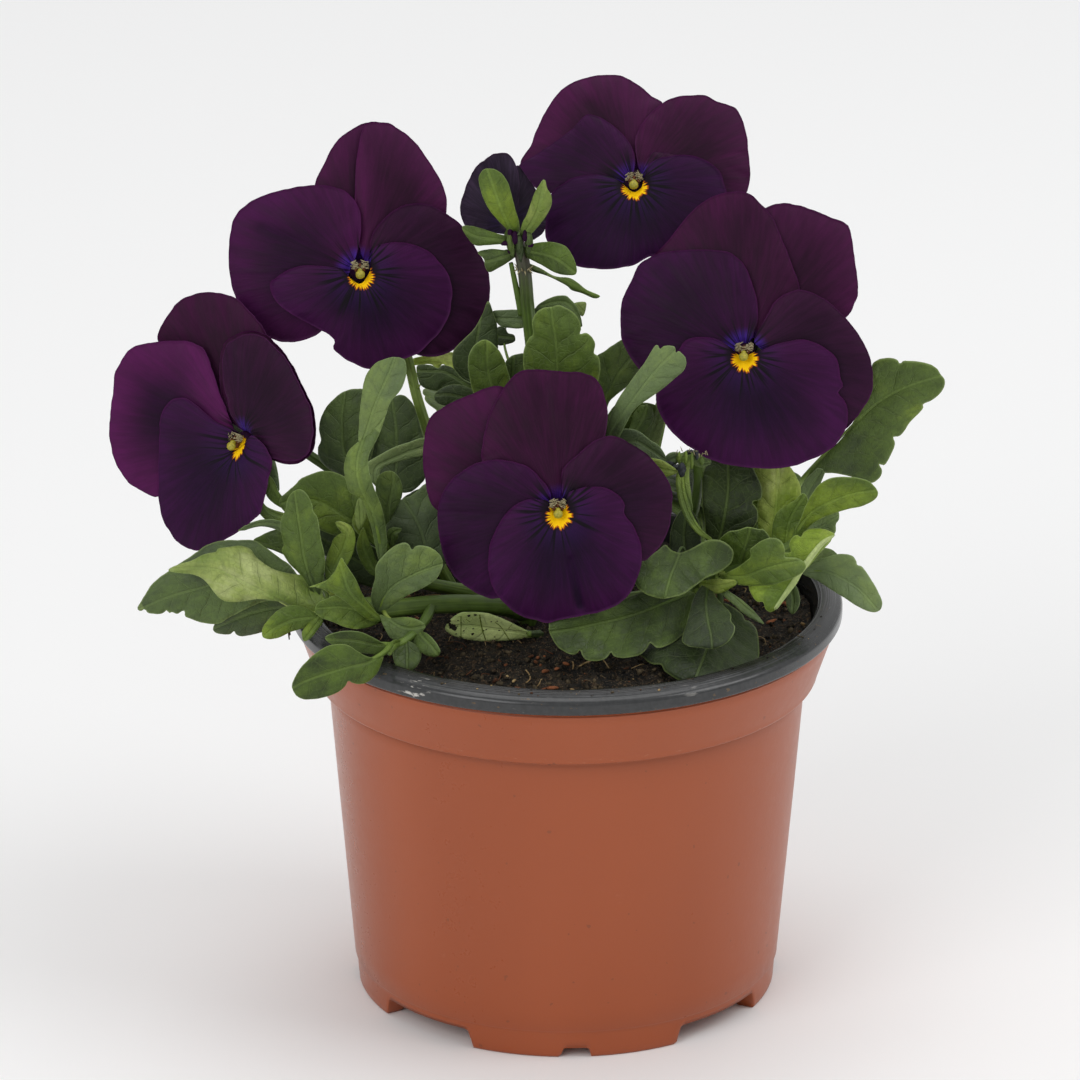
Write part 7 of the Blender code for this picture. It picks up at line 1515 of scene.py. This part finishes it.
    # a few fine roots hang over the lip at the left
    for i, (a, length, side) in enumerate(((3.05, 6.0, 0.5), (3.12, 7.6, -0.4), (3.16, 6.8, 0.7), (3.20, 4.6, 0.9))):
        out = np.array([math.cos(a), math.sin(a), 0.0])
        aside = np.array([-out[1], out[0], 0.0])
        drop = np.array([
            out * (LIP_INNER_R - 2.6) + [0, 0, 72.9], out * (LIP_INNER_R - 0.6) + [0, 0, 77.0], out * (LIP_INNER_R + 0.8) + [0, 0, LIP_TOP_Z + 0.55],
            out * (LIP_R - 1.2) + [0, 0, LIP_TOP_Z + 0.1], out * (LIP_R + 0.35) + [0, 0, LIP_TOP_Z - 1.6] + aside * side * 0.4,
            out * (LIP_R + 0.5) + [0, 0, LIP_TOP_Z - 1.8 - length * 0.55] + aside * side, out * (LIP_R + 0.3) + [0, 0, LIP_TOP_Z - 1.8 - length] + aside * side * 2,
        ])
        tube(build, smooth(drop, np.linspace(0, 1, 26)), np.linspace(0.32, 0.14, 26) * (1 + 0.3 * wobble(np.linspace(0, 30, 26), i + 4)), 3, sides=6)
    return build.finish("peat", [MAT["peat"], MAT["bark"], MAT["straw"], MAT["crumb"], MAT["chip"]], "soil")


# ---------------------------------------------------------------- flower parts
def make_petals(flower_name, flower):
    flower["name"] = flower_name
    if flower_name == "left_flower":
        flower["narrow"] = 1.7
        flower["cap"] = (-1.1, -0.5)
    frame_ = face_frame(flower)
    for k, (side, (layer, outline)) in enumerate(flower["petals"].items()):
        build = Build()
        kind = "lower" if side == "lower" else ("upper" if side.startswith("upper") else "side")
        if kind == "side" and side == "right":
            mat = MAT["side_brown"]
        else:
            mat = MAT[kind]
        if flower_name == "turned_flower":
            mat = MAT["turned"]
        petal(build, flower, frame_, side, layer, outline, sum(map(ord, flower_name + side)) % 1000, 0)
        build.finish(f"{flower_name}_{side}_petal", [mat], f"{flower_name}_petal_{side}")


def make_stalk(flower_name, flower):
    """Stalk, calyx and spur, and the pistil, anthers and beards in the throat, as one growth."""
    throat, n, aside, up = face_frame(flower)
    cap = aside * flower.get("cap", (0, 0))[0] + up * flower.get("cap", (0, 0))[1]
    rows = STALKS[flower_name]
    at = smooth(rows, np.linspace(0, 1, 60))
    path = place(at[:, 0], at[:, 1], at[:, 2])
    root = path[0].copy()
    down = np.stack([root + (root * [1, 1, 0] + [0, 0, 71.5] - root) * k for k in np.linspace(1, 0.15, 5)])
    path = np.vstack([down, path])
    build = Build()
    radius = np.linspace(1.15, 0.82, len(path))
    radius[-5:] = np.linspace(0.82, 1.5, 5)
    grey = np.zeros(len(path))
    if flower_name == "turned_flower":
        radius = np.linspace(1.15, 1.25, len(path))
        grey[-14:] = np.linspace(0, 0.85, 14)
    tone = np.clip((0.70 if flower_name == "upper_left_flower" else 0.5) + 0.12 * np.sin(np.linspace(0, 5, len(path))) - 0.45 * grey, 0, 1)
    tube(build, path, radius, 1, sides=20, ribs=5, rib_depth=0.12, tone=tone, grey=grey)
    # a pair of small bracts on the stalk
    low_at = path[int(len(path) * 0.62)]
    for s in (-1, 1):
        tip = low_at + np.array([1.4 * s, -0.3, 2.6])
        ks = np.linspace(0, 1, 7)[:, None]
        tube(build, low_at * (1 - ks) + tip * ks, np.linspace(0.35, 0.05, 7), 1, sides=6, tone=0.8, grey=0.0)
    top = path[-1]
    axes = np.array([aside, up, n])
    if flower_name == "turned_flower":
        blob(build, top, axes, (1.7, 1.7, 1.9), 1, tone=0.42, grey=0.1)
        for i, sepal in enumerate(TURNED_SEPALS):
            outlined_leaf(build, OUTLINES[f"sepal:{i}"], sepal, (0.8, 0.8), tone=(0.57, 0.62, 0.46, 0.38, 0.50, 0.42)[i], grey=(0.0, 0.3, 0.1, 0.1, 0.0, 0.0)[i], seed=i, thick=0.4, waves=0.8, veins=3, dark_base=(0.45, 0.4, 0.3, 0.25, 0.3, 0.2)[i])
        # the ears of the sepals point back along the neck
        for i, (u0, v0, u1, v1) in enumerate(((509, 235, 513, 257), (529, 233, 529, 254), (519, 236, 521, 262))):
            ks = np.linspace(0, 1, 10)
            tube(build, place(u0 + (u1 - u0) * ks, v0 + (v1 - v0) * ks, 3.6 + 1.0 * np.sin(ks * 2.6)), 0.75 * np.sin(0.35 + ks * 2.7) + 0.1, 0, sides=8, tone=(0.5, 0.4, 0.16)[i], grey=0.2)
        # the sepals are nearly black where they meet the neck
        for k, (u, v, y, wide, tall) in enumerate(((510, 234, 4.0, 0.55, 1.5), (515, 238, 3.6, 0.6, 1.3), (525, 236, 3.8, 0.5, 1.2), (506, 243, 4.2, 1.1, 0.5), (507, 252, 4.4, 0.9, 0.45), (530, 245, 4.2, 0.9, 0.5))):
            blob(build, place(u, v, y), np.eye(3), (wide, 0.45, tall), 2, 8, 10, bumpy=0.08, seed=k + 5)
        # a second, thinner stalk stands beside the first
        ks = np.linspace(0, 1, 16)
        tube(build, place(511 + 11 * ks, 263 + 52 * ks, 5.2 + 1.2 * ks), np.linspace(0.42, 0.72, 16), 1, sides=12, ribs=3, tone=0.42, grey=0.0)
        near = path[np.abs(path[:, 2] - place(523.0, 268.0, 5.0)[2]).argmin()]
        ring = near.copy()
        for i in range(14):
            t = i * 0.4488
            root = ring + np.array([1.1 * math.cos(t), 1.1 * math.sin(t), 0])
            tip = ring + np.array([1.9 * math.cos(t), 1.9 * math.sin(t), 0.8 - 1.4 * (i % 2)])
            ks = np.linspace(0, 1, 4)[:, None]
            tube(build, root * (1 - ks) + tip * ks, (0.22, 0.16, 0.10, 0.04), 5, sides=5)
    else:
        blob(build, top, axes, (1.75, 1.75, 1.7), 1, tone=0.45, grey=0.05)
        # the spur of the lower petal pokes back under the calyx
        spur = np.array([top + n * 1.5 - up * 1.2, top - n * 0.8 - up * 2.4, top - n * 3.4 - up * 3.2, top - n * 4.8 - up * 2.9])
        fine = np.array([smooth(np.hstack([spur]), np.linspace(0, 1, 12))])[0]
        tube(build, fine, np.array([1.0, 1.05, 1.1, 1.1, 1.05, 1.0, 0.95, 0.9, 0.8, 0.65, 0.45, 0.2]), 1, sides=12, tone=0.3, grey=0.9)
        for i in range(5):
            turn = math.radians(90 + 72 * i)
            out = aside * math.cos(turn) + up * math.sin(turn)
            across = np.cross(n, out)
            ks = np.linspace(0, 1, 22)
            reach = 0.6 + 10.5 * ks
            sheet = throat - n * (3 * LAYER + 0.9)
            middle = np.where((ks < 0.18)[:, None], top * (1 - ks / 0.18)[:, None] + sheet * (ks / 0.18)[:, None], sheet)
            middle = middle + out * reach[:, None] + n * relief(flower, reach * math.cos(turn), reach * math.sin(turn))[:, None]
            half = 0.5 + 1.6 * np.sin(math.pi * np.clip(ks * 1.02, 0, 1) ** 0.7) ** 0.8
            half[-1] = 0.1
            s = np.linspace(-1, 1, 7)
            grid = middle[:, None, :] + across * (half[:, None] * s[None, :])[..., None] - n * (0.3 * (s[None, :] ** 2) * half[:, None])[..., None]
            leaf_sheet(build, grid, 0.4, 0, 0.55, 0.15, None, face_towards=-n)
        # tube of the throat: closes the funnel between the petals and the receptacle
        mouth = throat - n * 1.2
        ks = np.linspace(0, 1, 9)[:, None]
        tube(build, top * (1 - ks) + mouth * ks, np.linspace(1.5, 1.9, 9), 2, sides=16, tone=0.3, grey=0.6)
        # anthers round the style, then the stigma's globe
        for i in range(5):
            t = math.radians(90 + 72 * i)
            c = throat + cap - n * 0.2 + (aside * math.cos(t) + up * math.sin(t)) * 0.75 + up * 0.35
            blob(build, c, axes, (0.42, 0.62, 0.8), 3, 6, 8, seed=i)
        blob(build, throat + cap + n * 1.1 - up * 0.45, axes, (0.92, 0.84, 0.8), 4, 10, 14, bumpy=0.02, seed=3)
        blob(build, throat + cap + n * 0.6 + up * 0.25, axes, (0.5, 0.5, 0.9), 4, 6, 10, seed=4)
        # beards: short clubbed hairs on the bases of the side petals
        rng = np.random.default_rng(sum(map(ord, flower_name)))
        for side in (-1, 1):
            for i in range(34):
                base = throat + cap + aside * side * rng.uniform(0.7, 1.75) + up * rng.uniform(0.6, 1.9) + n * (0.1 + rng.uniform(-0.3, 0.1))
                lean = (-aside * side * rng.uniform(0.3, 1.0) + up * rng.uniform(-0.2, 0.6) + n * rng.uniform(0.4, 0.9)) * rng.uniform(0.7, 1.1)
                ks = np.linspace(0, 1, 4)[:, None]
                tube(build, base + lean * ks, (0.11, 0.09, 0.10, 0.04), 5, sides=5)
    extra = MAT["side"]
    build.finish(f"{flower_name}_growth", [MAT["leaf"], MAT["stem"], extra, MAT["anther"], MAT["stigma"], MAT["hair"]], f"{flower_name}_stalk")


# ---------------------------------------------------------------- foliage
# how each drawn leaf looks: tone (dark to light), grey, teeth along a side, depth of the teeth, extra depth of the two margins
LOOK = {
    "leaf_pale_left": (0.87, 0.35, 5, 0.05, (-1.5, 2.5)),
    "leaf_low_left": (0.42, 0.35, 7, 0.12, (-1, 1)),
    "leaf_over_rim": (0.44, 0.0, 3, 0.10, (-1.5, 0.5)),
    "leaf_round_left": (0.57, 0.5, 3, 0.07, (-1.5, -1)),
    "leaf_upright_left": (0.43, 0.1, 4, 0.07, (1.5, -1.5)),
    "leaf_twisted": (0.49, 0.35, 4, 0.05, (1, -1)),
    "leaf_big_right": (0.50, 0.1, 6, 0.12, (-2, 1.5)),
    "leaf_right": (0.56, 0.0, 5, 0.10, (-1.5, 0)),
    "leaf_low_right": (0.52, 0.85, 5, 0.10, (-1.5, 0.5)),
    "leaf_folded": (0.66, 0.0, 5, 0.12, (0, 0)),
    "leaf_kidney": (0.29, 0.12, 4, 0.05, (-1, 1)),
    "leaf_crenate_front": (0.33, 0.12, 7, 0.09, (-1, 0.5)),
    "leaf_dark_front": (0.11, 0.1, 6, 0.08, (-0.5, 0.5)),
    "leaf_crenate_back": (0.58, 0.05, 5, 0.12, (-1, -1)),
}
SHOOT_LOOK = {
    "shoot_left": [(0.34, 0.3, 4), (0.62, 0.0, 3), (0.72, 0.0, 2), (0.65, 0.35, 3), (0.5, 0.1, 3), (0.45, 0.4, 0), (0.6, 0.1, 2), (0.86, 0.0, 3), (0.48, 0.1, 3), (0.42, 0.2, 3), (0.5, 0.2, 3), (0.6, 0.0, 0), (0.66, 0.0, 4)],
    "shoot_left_upright": [(0.30, 0.35, 4), (0.34, 0.3, 4), (0.46, 0.1, 4), (0.66, 1.0, 3), (0.42, 0.3, 3), (0.3, 0.6, 4), (0.5, 0.2, 0), (0.55, 0.1, 2), (0.58, 0.1, 2), (0.2, 0.2, 3)],
    "leaf_spotted": [(1.0, 0.85, 3)],
    "shoot_middle": [(0.56, 0.1, 3), (0.4, 0.4, 4), (0.2, 0.2, 5), (0.3, 0.2, 3), (0.28, 0.2, 3), (0.24, 0.3, 3), (0.52, 0.7, 5), (0.54, 0.3, 4), (0.44, 0.2, 3), (0.22, 0.6, 3), (0.66, 0.1, 2), (0.3, 0.1, 2), (0.86, 0.0, 2)],
    "shoot_right": [(0.15, 0.0, 5), (0.80, 0.0, 4), (0.48, 0.6, 0), (0.60, 0.7, 3), (0.64, 0.15, 4), (0.74, 0.0, 2), (0.72, 0.8, 3), (0.5, 0.6, 0), (0.46, 0.3, 2), (0.07, 0.2, 4), (0.44, 0.0, 5), (0.56, 0.0, 3), (0.14, 0.2, 3)],
    "spent_calyx": [(0.60, 0.35, 0), (0.58, 0.15, 0), (0.46, 0.6, 0), (0.3, 0.8, 0)],
}


def stem_paths():
    """Every stem's route, so that each leaf can find the stem that carries it."""
    paths = []
    for shoot in SHOOTS.values():
        for rows, _ in shoot["stems"]:
            at = smooth(rows, np.linspace(0, 1, 40))
            paths.append(place(at[:, 0], at[:, 1], at[:, 2]))
    for rows in STALKS.values():
        at = smooth(rows, np.linspace(0, 1, 40))
        paths.append(place(at[:, 0], at[:, 1], at[:, 2])[:30])
    return paths


def make_single_leaves():
    paths = stem_paths()
    for i, (name, (rows, left, right)) in enumerate(LEAVES.items()):
        tone, grey, teeth, depth, extra = LOOK[name]
        build = Build()
        if name == "leaf_twisted":
            # beyond the twist it shows its pale back
            outlined_leaf(build, OUTLINES["leaf_twisted:end"], rows, (1, -1), 0.60, 0.65, seed=i + 3, veins=3)
            outlined_leaf(build, OUTLINES["leaf_twisted:bract"], [(362, 528, -14.6, 3, 3), (360, 498, -14.8, 3, 3)], (0, 0), 0.62, 0.5, seed=i + 4, veins=3)
        any_leaf(build, name, rows, (left + extra[0], right + extra[1]), tone, grey, teeth, depth, seed=i, count=64, across=15, lift=LIFT.get((name, 0), 0.0))
        if name == "leaf_folded":
            outlined_leaf(build, OUTLINES["leaf_folded:edge"], [(834, 536, -16.4, 2, 2), (823, 546, -17.9, 2, 2), (807, 566, -20.4, 2, 2), (791, 590, -22.4, 2, 2), (777, 609, -23.9, 2, 2)], (0, 0), 1.0, 0.9, seed=i, veins=2, thick=0.5, waves=0.2, lift=0.55)
        base = place(*rows[0][:3])
        path = min(paths, key=lambda p: nearest_on(p, base)[0])
        petiole(build, path, rows, 1, 0.2 if name == "leaf_kidney" else min(1, tone + 0.12), 0.0, thick=0.5 if name == "leaf_kidney" else 0.75, behind=1.5 if name == "leaf_kidney" else 0.45, rise=-0.1 if name == "leaf_kidney" else 0.12)
        build.finish(f"{name}_blade", [MAT["leaf"], MAT["stem"]], name)


# painted light: leaves lightened beyond their green, standing in for the light they catch
LIFT = {("leaf_folded", 0): 0.35, ("leaf_low_right", 0): 0.25, ("shoot_right", 11): 0.2, ("leaf_right", 0): 0.05, ("shoot_right", 1): 0.2, ("shoot_right", 3): 0.2, ("leaf_spotted", 0): 0.95, ("shoot_middle", 12): 1.1, ("shoot_right", 4): 0.1, ("shoot_right", 10): 0.15, ("shoot_left_upright", 3): 0.25, ("shoot_middle", 6): 0.15}
# blades that belong to one drawn leaf: (stations of their own, tone, grey)
EXTRA = {
    ("shoot_left", 7): {
        "shoot_left:7:fold": ([(381, 620, -25.8, 3, 4), (364, 606, -27.2, 8, 10), (350, 592, -27.8, 12, 12), (341, 566, -27.4, 6, 6)], 0.68, 0.0),
    },
    ("shoot_left_upright", 2): {
        "tip:a": ([(262, 490, -11, 3, 3), (268, 510, -10.5, 4, 4), (288, 518, -10, 3, 3)], 0.66, 0.3),
        "tip:b": ([(270, 478, -9.5, 3, 3), (278, 494, -9.5, 4, 4), (290, 506, -9.5, 3, 3)], 0.58, 0.0),
        "tip:c": ([(240, 529, -11.5, 2, 2), (262, 522, -11, 4, 4), (290, 521, -10, 3, 3)], 0.62, 0.1),
    },
    ("shoot_right", 1): {
        "shoot_right:1:back": ([(752, 556, 1.0, 8, 8), (760, 520, 1.5, 8, 8), (770, 480, 2, 8, 8)], 0.5, 0.0),
    },
    ("shoot_middle", 8): {
        "shoot_middle:8:blade": ([(646, 440, -2, 6, 6), (636, 418, -1.5, 12, 12), (612, 410, -1, 10, 10)], 0.46, 0.0),
        "shoot_middle:8:band": ([(646, 446, -1.5, 5, 5), (655, 424, -0.5, 6, 6), (662, 398, 1, 5, 5)], 0.72, 0.8),
    },
    ("shoot_middle", 1): {
        "shoot_middle:1:back": ([(496, 318, 9, 5, 5), (521, 319, 8, 7, 7)], 0.6, 0.8),
        "shoot_middle:1:tip": ([(576, 304, 7, 4, 4), (584, 312, 7, 5, 5)], 0.8, 0.6),
        "shoot_middle:1:dark": ([(498, 336, 8, 6, 6), (514, 338, 8, 5, 5)], 0.12, 0.2),
    },
}


def mark_spots(build, surface):
    """Dark veins, holes and specks of the yellowing leaf, laid on its face."""
    for line, size in (
        ([(461, 616), (461, 624), (461, 638)], 0.11), ([(479.5, 614.5), (481, 624), (483, 632), (485.5, 639.5)], 0.15),
        ([(495, 622), (501, 627), (505, 633), (509.5, 640)], 0.13), ([(470, 622), (466, 619)], 0.08), ([(513, 623), (508, 629)], 0.07),
    ):
        fine = smooth([list(q) + [0] for q in line], np.linspace(0, 1, 14))
        path = np.array([surface(u, v)[0] for u, v, _ in fine])
        tube(build, path, size * 0.8, 0, sides=5, tone=0.78, grey=0.0)
    rng = np.random.default_rng(31)
    marks = [(449, 622, 0.75, 0.5), (452, 626, 0.8, 0.55), (454, 629, 0.5, 0.4), (469, 616, 0.3, 0.25), (475, 615, 0.3, 0.2), (472.5, 634, 0.32, 0.25)]
    marks += [(rng.uniform(455, 515), rng.uniform(617, 637), 0.12 + 0.1 * rng.uniform(), 0.1) for _ in range(16)]
    for i, (u, v, wide, tall) in enumerate(marks):
        at, facing = surface(u, v)
        e = np.cross([0, 0, 1.0], facing)
        e /= np.linalg.norm(e)
        blob(build, at, np.array([e, np.cross(facing, e), facing]), (wide, tall, 0.05), 2, 5, 9, bumpy=0.25, seed=i + 50)


def make_shoots():
    for name, shoot in SHOOTS.items():
        build = Build()
        paths = []
        for i, (rows, radius) in enumerate(shoot["stems"]):
            at = smooth(rows, np.linspace(0, 1, 44))
            path = place(at[:, 0], at[:, 1], at[:, 2])
            paths.append(path)
            if i == 0:
                root = path[0]
                down = np.stack([root * (1 - k) + np.array([root[0], root[1] * 0.9 + 0.5, 70.8]) * k for k in np.linspace(1, 0.2, 4)])
                path = np.vstack([down, path])
            size = np.linspace(1.0, 0.72, len(path)) * radius
            size = size * (1 + 0.04 * wobble(np.linspace(0, 14, len(path)), 4 + i))
            if name == "shoot_left" and i == 0:
                # the swollen joint where the left leaves spread
                size = size * (1 + 0.75 * np.exp(-((np.linspace(0, 1, len(path)) - 0.84) / 0.10) ** 2))
            if name == "spent_calyx":
                size = size * 1.4
            # painted shade: the left shoot's stems are darker towards their base
            shade = np.linspace(0.34, 0.56, len(path)) if name == "shoot_left" else np.full(len(path), {"leaf_spotted": 0.12, "spent_calyx": 0.38}.get(name, 0.52))
            tube(build, path, size, 1, sides=20, ribs=5, rib_depth=0.06, tone=shade, grey=0.02)
            # the growing tip tapers off
            blob(build, path[-1], np.eye(3), (size[-1], size[-1], size[-1]), 1, 6, 10, tone=0.6, grey=0.0)
        for i, (rows, left, right) in enumerate(shoot["leaves"]):
            tone, grey, teeth = SHOOT_LOOK[name][i]
            widest = max(max(r[3], r[4]) for r in rows)
            rng = np.random.default_rng(sum(map(ord, name)) + i)
            extra = rng.uniform(-1.2, 1.2, 2) * min(1, widest / 18)
            surface = any_leaf(build, f"{name}:{i}", rows, (left + extra[0], right + extra[1]), tone, grey, teeth, 0.09 if teeth else 0, seed=i, count=48 if widest > 12 else 30, across=11 if widest > 12 else 7, lift=LIFT.get((name, i), 0.0))
            if name == "leaf_spotted":
                mark_spots(build, surface)
            for key, (rows_, tone_, grey_) in EXTRA.get((name, i), {}).items():
                outlined_leaf(build, OUTLINES[key], rows_, (0, 0), tone_, grey_, seed=i + 21, veins=3)
            base = place(*rows[0][:3])
            path = min(paths, key=lambda p: nearest_on(p, base)[0])
            petiole(build, path, rows, 1, 0.15 if name == "leaf_spotted" else min(1, tone + 0.15), 0.0, thick=0.62 if widest > 10 else 0.42)
        if name == "spent_calyx":
            # dried remains round the hooked tip
            for k, (u, v, y, wide, tall, slot_) in enumerate((
                (682, 470, -12.6, 0.75, 1.5, 2), (677, 467, -11.2, 0.9, 0.55, 2), (690, 452, -9.6, 0.9, 0.5, 2), (697, 455, -9.9, 0.5, 1.0, 2), (668, 464, -10.4, 1.1, 0.6, 2),
                (686, 458, -10.8, 0.36, 1.5, 0), (692, 461, -10.8, 0.34, 1.7, 0), (679, 458, -10.6, 0.4, 1.2, 0), (702, 461, -10.0, 0.5, 0.9, 0), (699, 457, -9.8, 0.5, 0.6, 0),
            )):
                blob(build, place(u, v, y), np.eye(3), (wide, 0.45, tall), slot_, 6, 9, tone=0.5, grey=0.2, bumpy=0.12, seed=k + 70)
            for k in range(16):
                root_ = place(676 + 2.1 * k, 454 + 3 * math.sin(k * 1.7), -10.2)
                tube(build, np.array([root_ + np.array([0.12 * q * math.cos(k), -0.1 * q, (0.35 - 0.3 * (k % 3)) * q]) for q in range(4)]), (0.12, 0.09, 0.07, 0.03), 3, sides=5)
        skins = [MAT["leaf"], MAT["stem"]] + ([MAT["spot"]] if name == "leaf_spotted" else []) + ([MAT["withered"], MAT["hair"]] if name == "spent_calyx" else [])
        build.finish(f"{name}_growth", skins, name)
    for k, (name, shoot) in enumerate(REAR.items()):
        build = Build()
        path = smooth(shoot["stem"], np.linspace(0, 1, 30))
        down = np.stack([path[0] * (1 - q) + np.array([path[0][0], path[0][1], 70.8]) * q for q in np.linspace(1, 0.2, 4)])
        full = np.vstack([down, path])
        tube(build, full, np.linspace(1.4, 1.0, len(full)), 1, sides=16, ribs=5, rib_depth=0.06, tone=0.5, grey=0.02)
        blob(build, path[-1], np.eye(3), (1.0, 1.0, 1.1), 1, 6, 10, tone=0.6)
        for i, (compass, rise, length, width, droop) in enumerate(shoot["leaves"]):
            base = smooth(shoot["stem"], [1 - 0.1 * i])[0]
            grid, mid = open_blade(base, compass, rise, length, width, droop, 44, 11, seed=i + k)
            leaf_sheet(build, grid, 0.42, 0, (0.5, 0.42, 0.58, 0.46, 0.36, 0.4, 0.48, 0.54, 0.44)[i], 0.15, None, face_towards=(0, 0, 1))
            tube(build, mid[: len(mid) // 2] - [0, 0, 0.35], np.linspace(0.65, 0.2, len(mid) // 2), 1, sides=8, tone=0.6)
        build.finish(f"{name}_growth", [MAT["leaf"], MAT["stem"]], name)


# ---------------------------------------------------------------- stage, light and camera
def make_stage():
    bpy.ops.mesh.primitive_plane_add(size=8.0, location=(0, 1.0, 0))
    floor = bpy.context.object
    floor.name = "floor"
    m = Nodes("floor_paper")
    m.set(Base_Color=srgb(246, 246, 246), Roughness=0.9)
    m.shader.inputs["Specular IOR Level"].default_value = 0.1
    floor.data.materials.append(m.mat)

    world = bpy.data.worlds.new("studio")
    bpy.context.scene.world = world
    world.use_nodes = True
    world.node_tree.nodes["Background"].inputs["Color"].default_value = (0.985, 0.988, 0.99, 1)
    world.node_tree.nodes["Background"].inputs["Strength"].default_value = 0.57

    def area(name, spot, aim, size, power, colour=(1, 1, 1)):
        light = bpy.data.lights.new(name, "AREA")
        light.shape = "RECTANGLE"
        light.size, light.size_y = size
        light.energy = power
        light.color = colour
        obj = bpy.data.objects.new(name, light)
        bpy.context.scene.collection.objects.link(obj)
        from mathutils import Vector
        obj.location = spot
        obj.rotation_euler = (Vector(aim) - Vector(spot)).to_track_quat("-Z", "Y").to_euler()
        return obj

    area("key", (1.0, -0.24, 1.15), (0, 0, 0.08), (0.8, 0.8), 5.6)
    area("fill", (-0.95, -1.20, 1.0), (0, 0, 0.08), (1.0, 1.0), 8.6)
    area("top", (0.0, 0.5, 1.7), (0, 0, 0.08), (1.2, 1.2), 7.0)

    camera = bpy.data.cameras.new("camera")
    camera.lens = FOCAL / 1080 * 36
    camera.sensor_width = 36
    camera.clip_end = 20
    eye = bpy.data.objects.new("camera", camera)
    bpy.context.scene.collection.objects.link(eye)
    eye.location = (EYE + SHIFT) * 0.001
    eye.rotation_euler = (math.pi / 2 - ELEVATION, 0, 0)
    bpy.context.scene.camera = eye
    bpy.context.scene.view_settings.view_transform = "Standard"


make_stage()
make_pot()
make_soil()
for flower_name, flower in FLOWERS.items():
    make_petals(flower_name, flower)
    make_stalk(flower_name, flower)
make_single_leaves()
make_shoots()
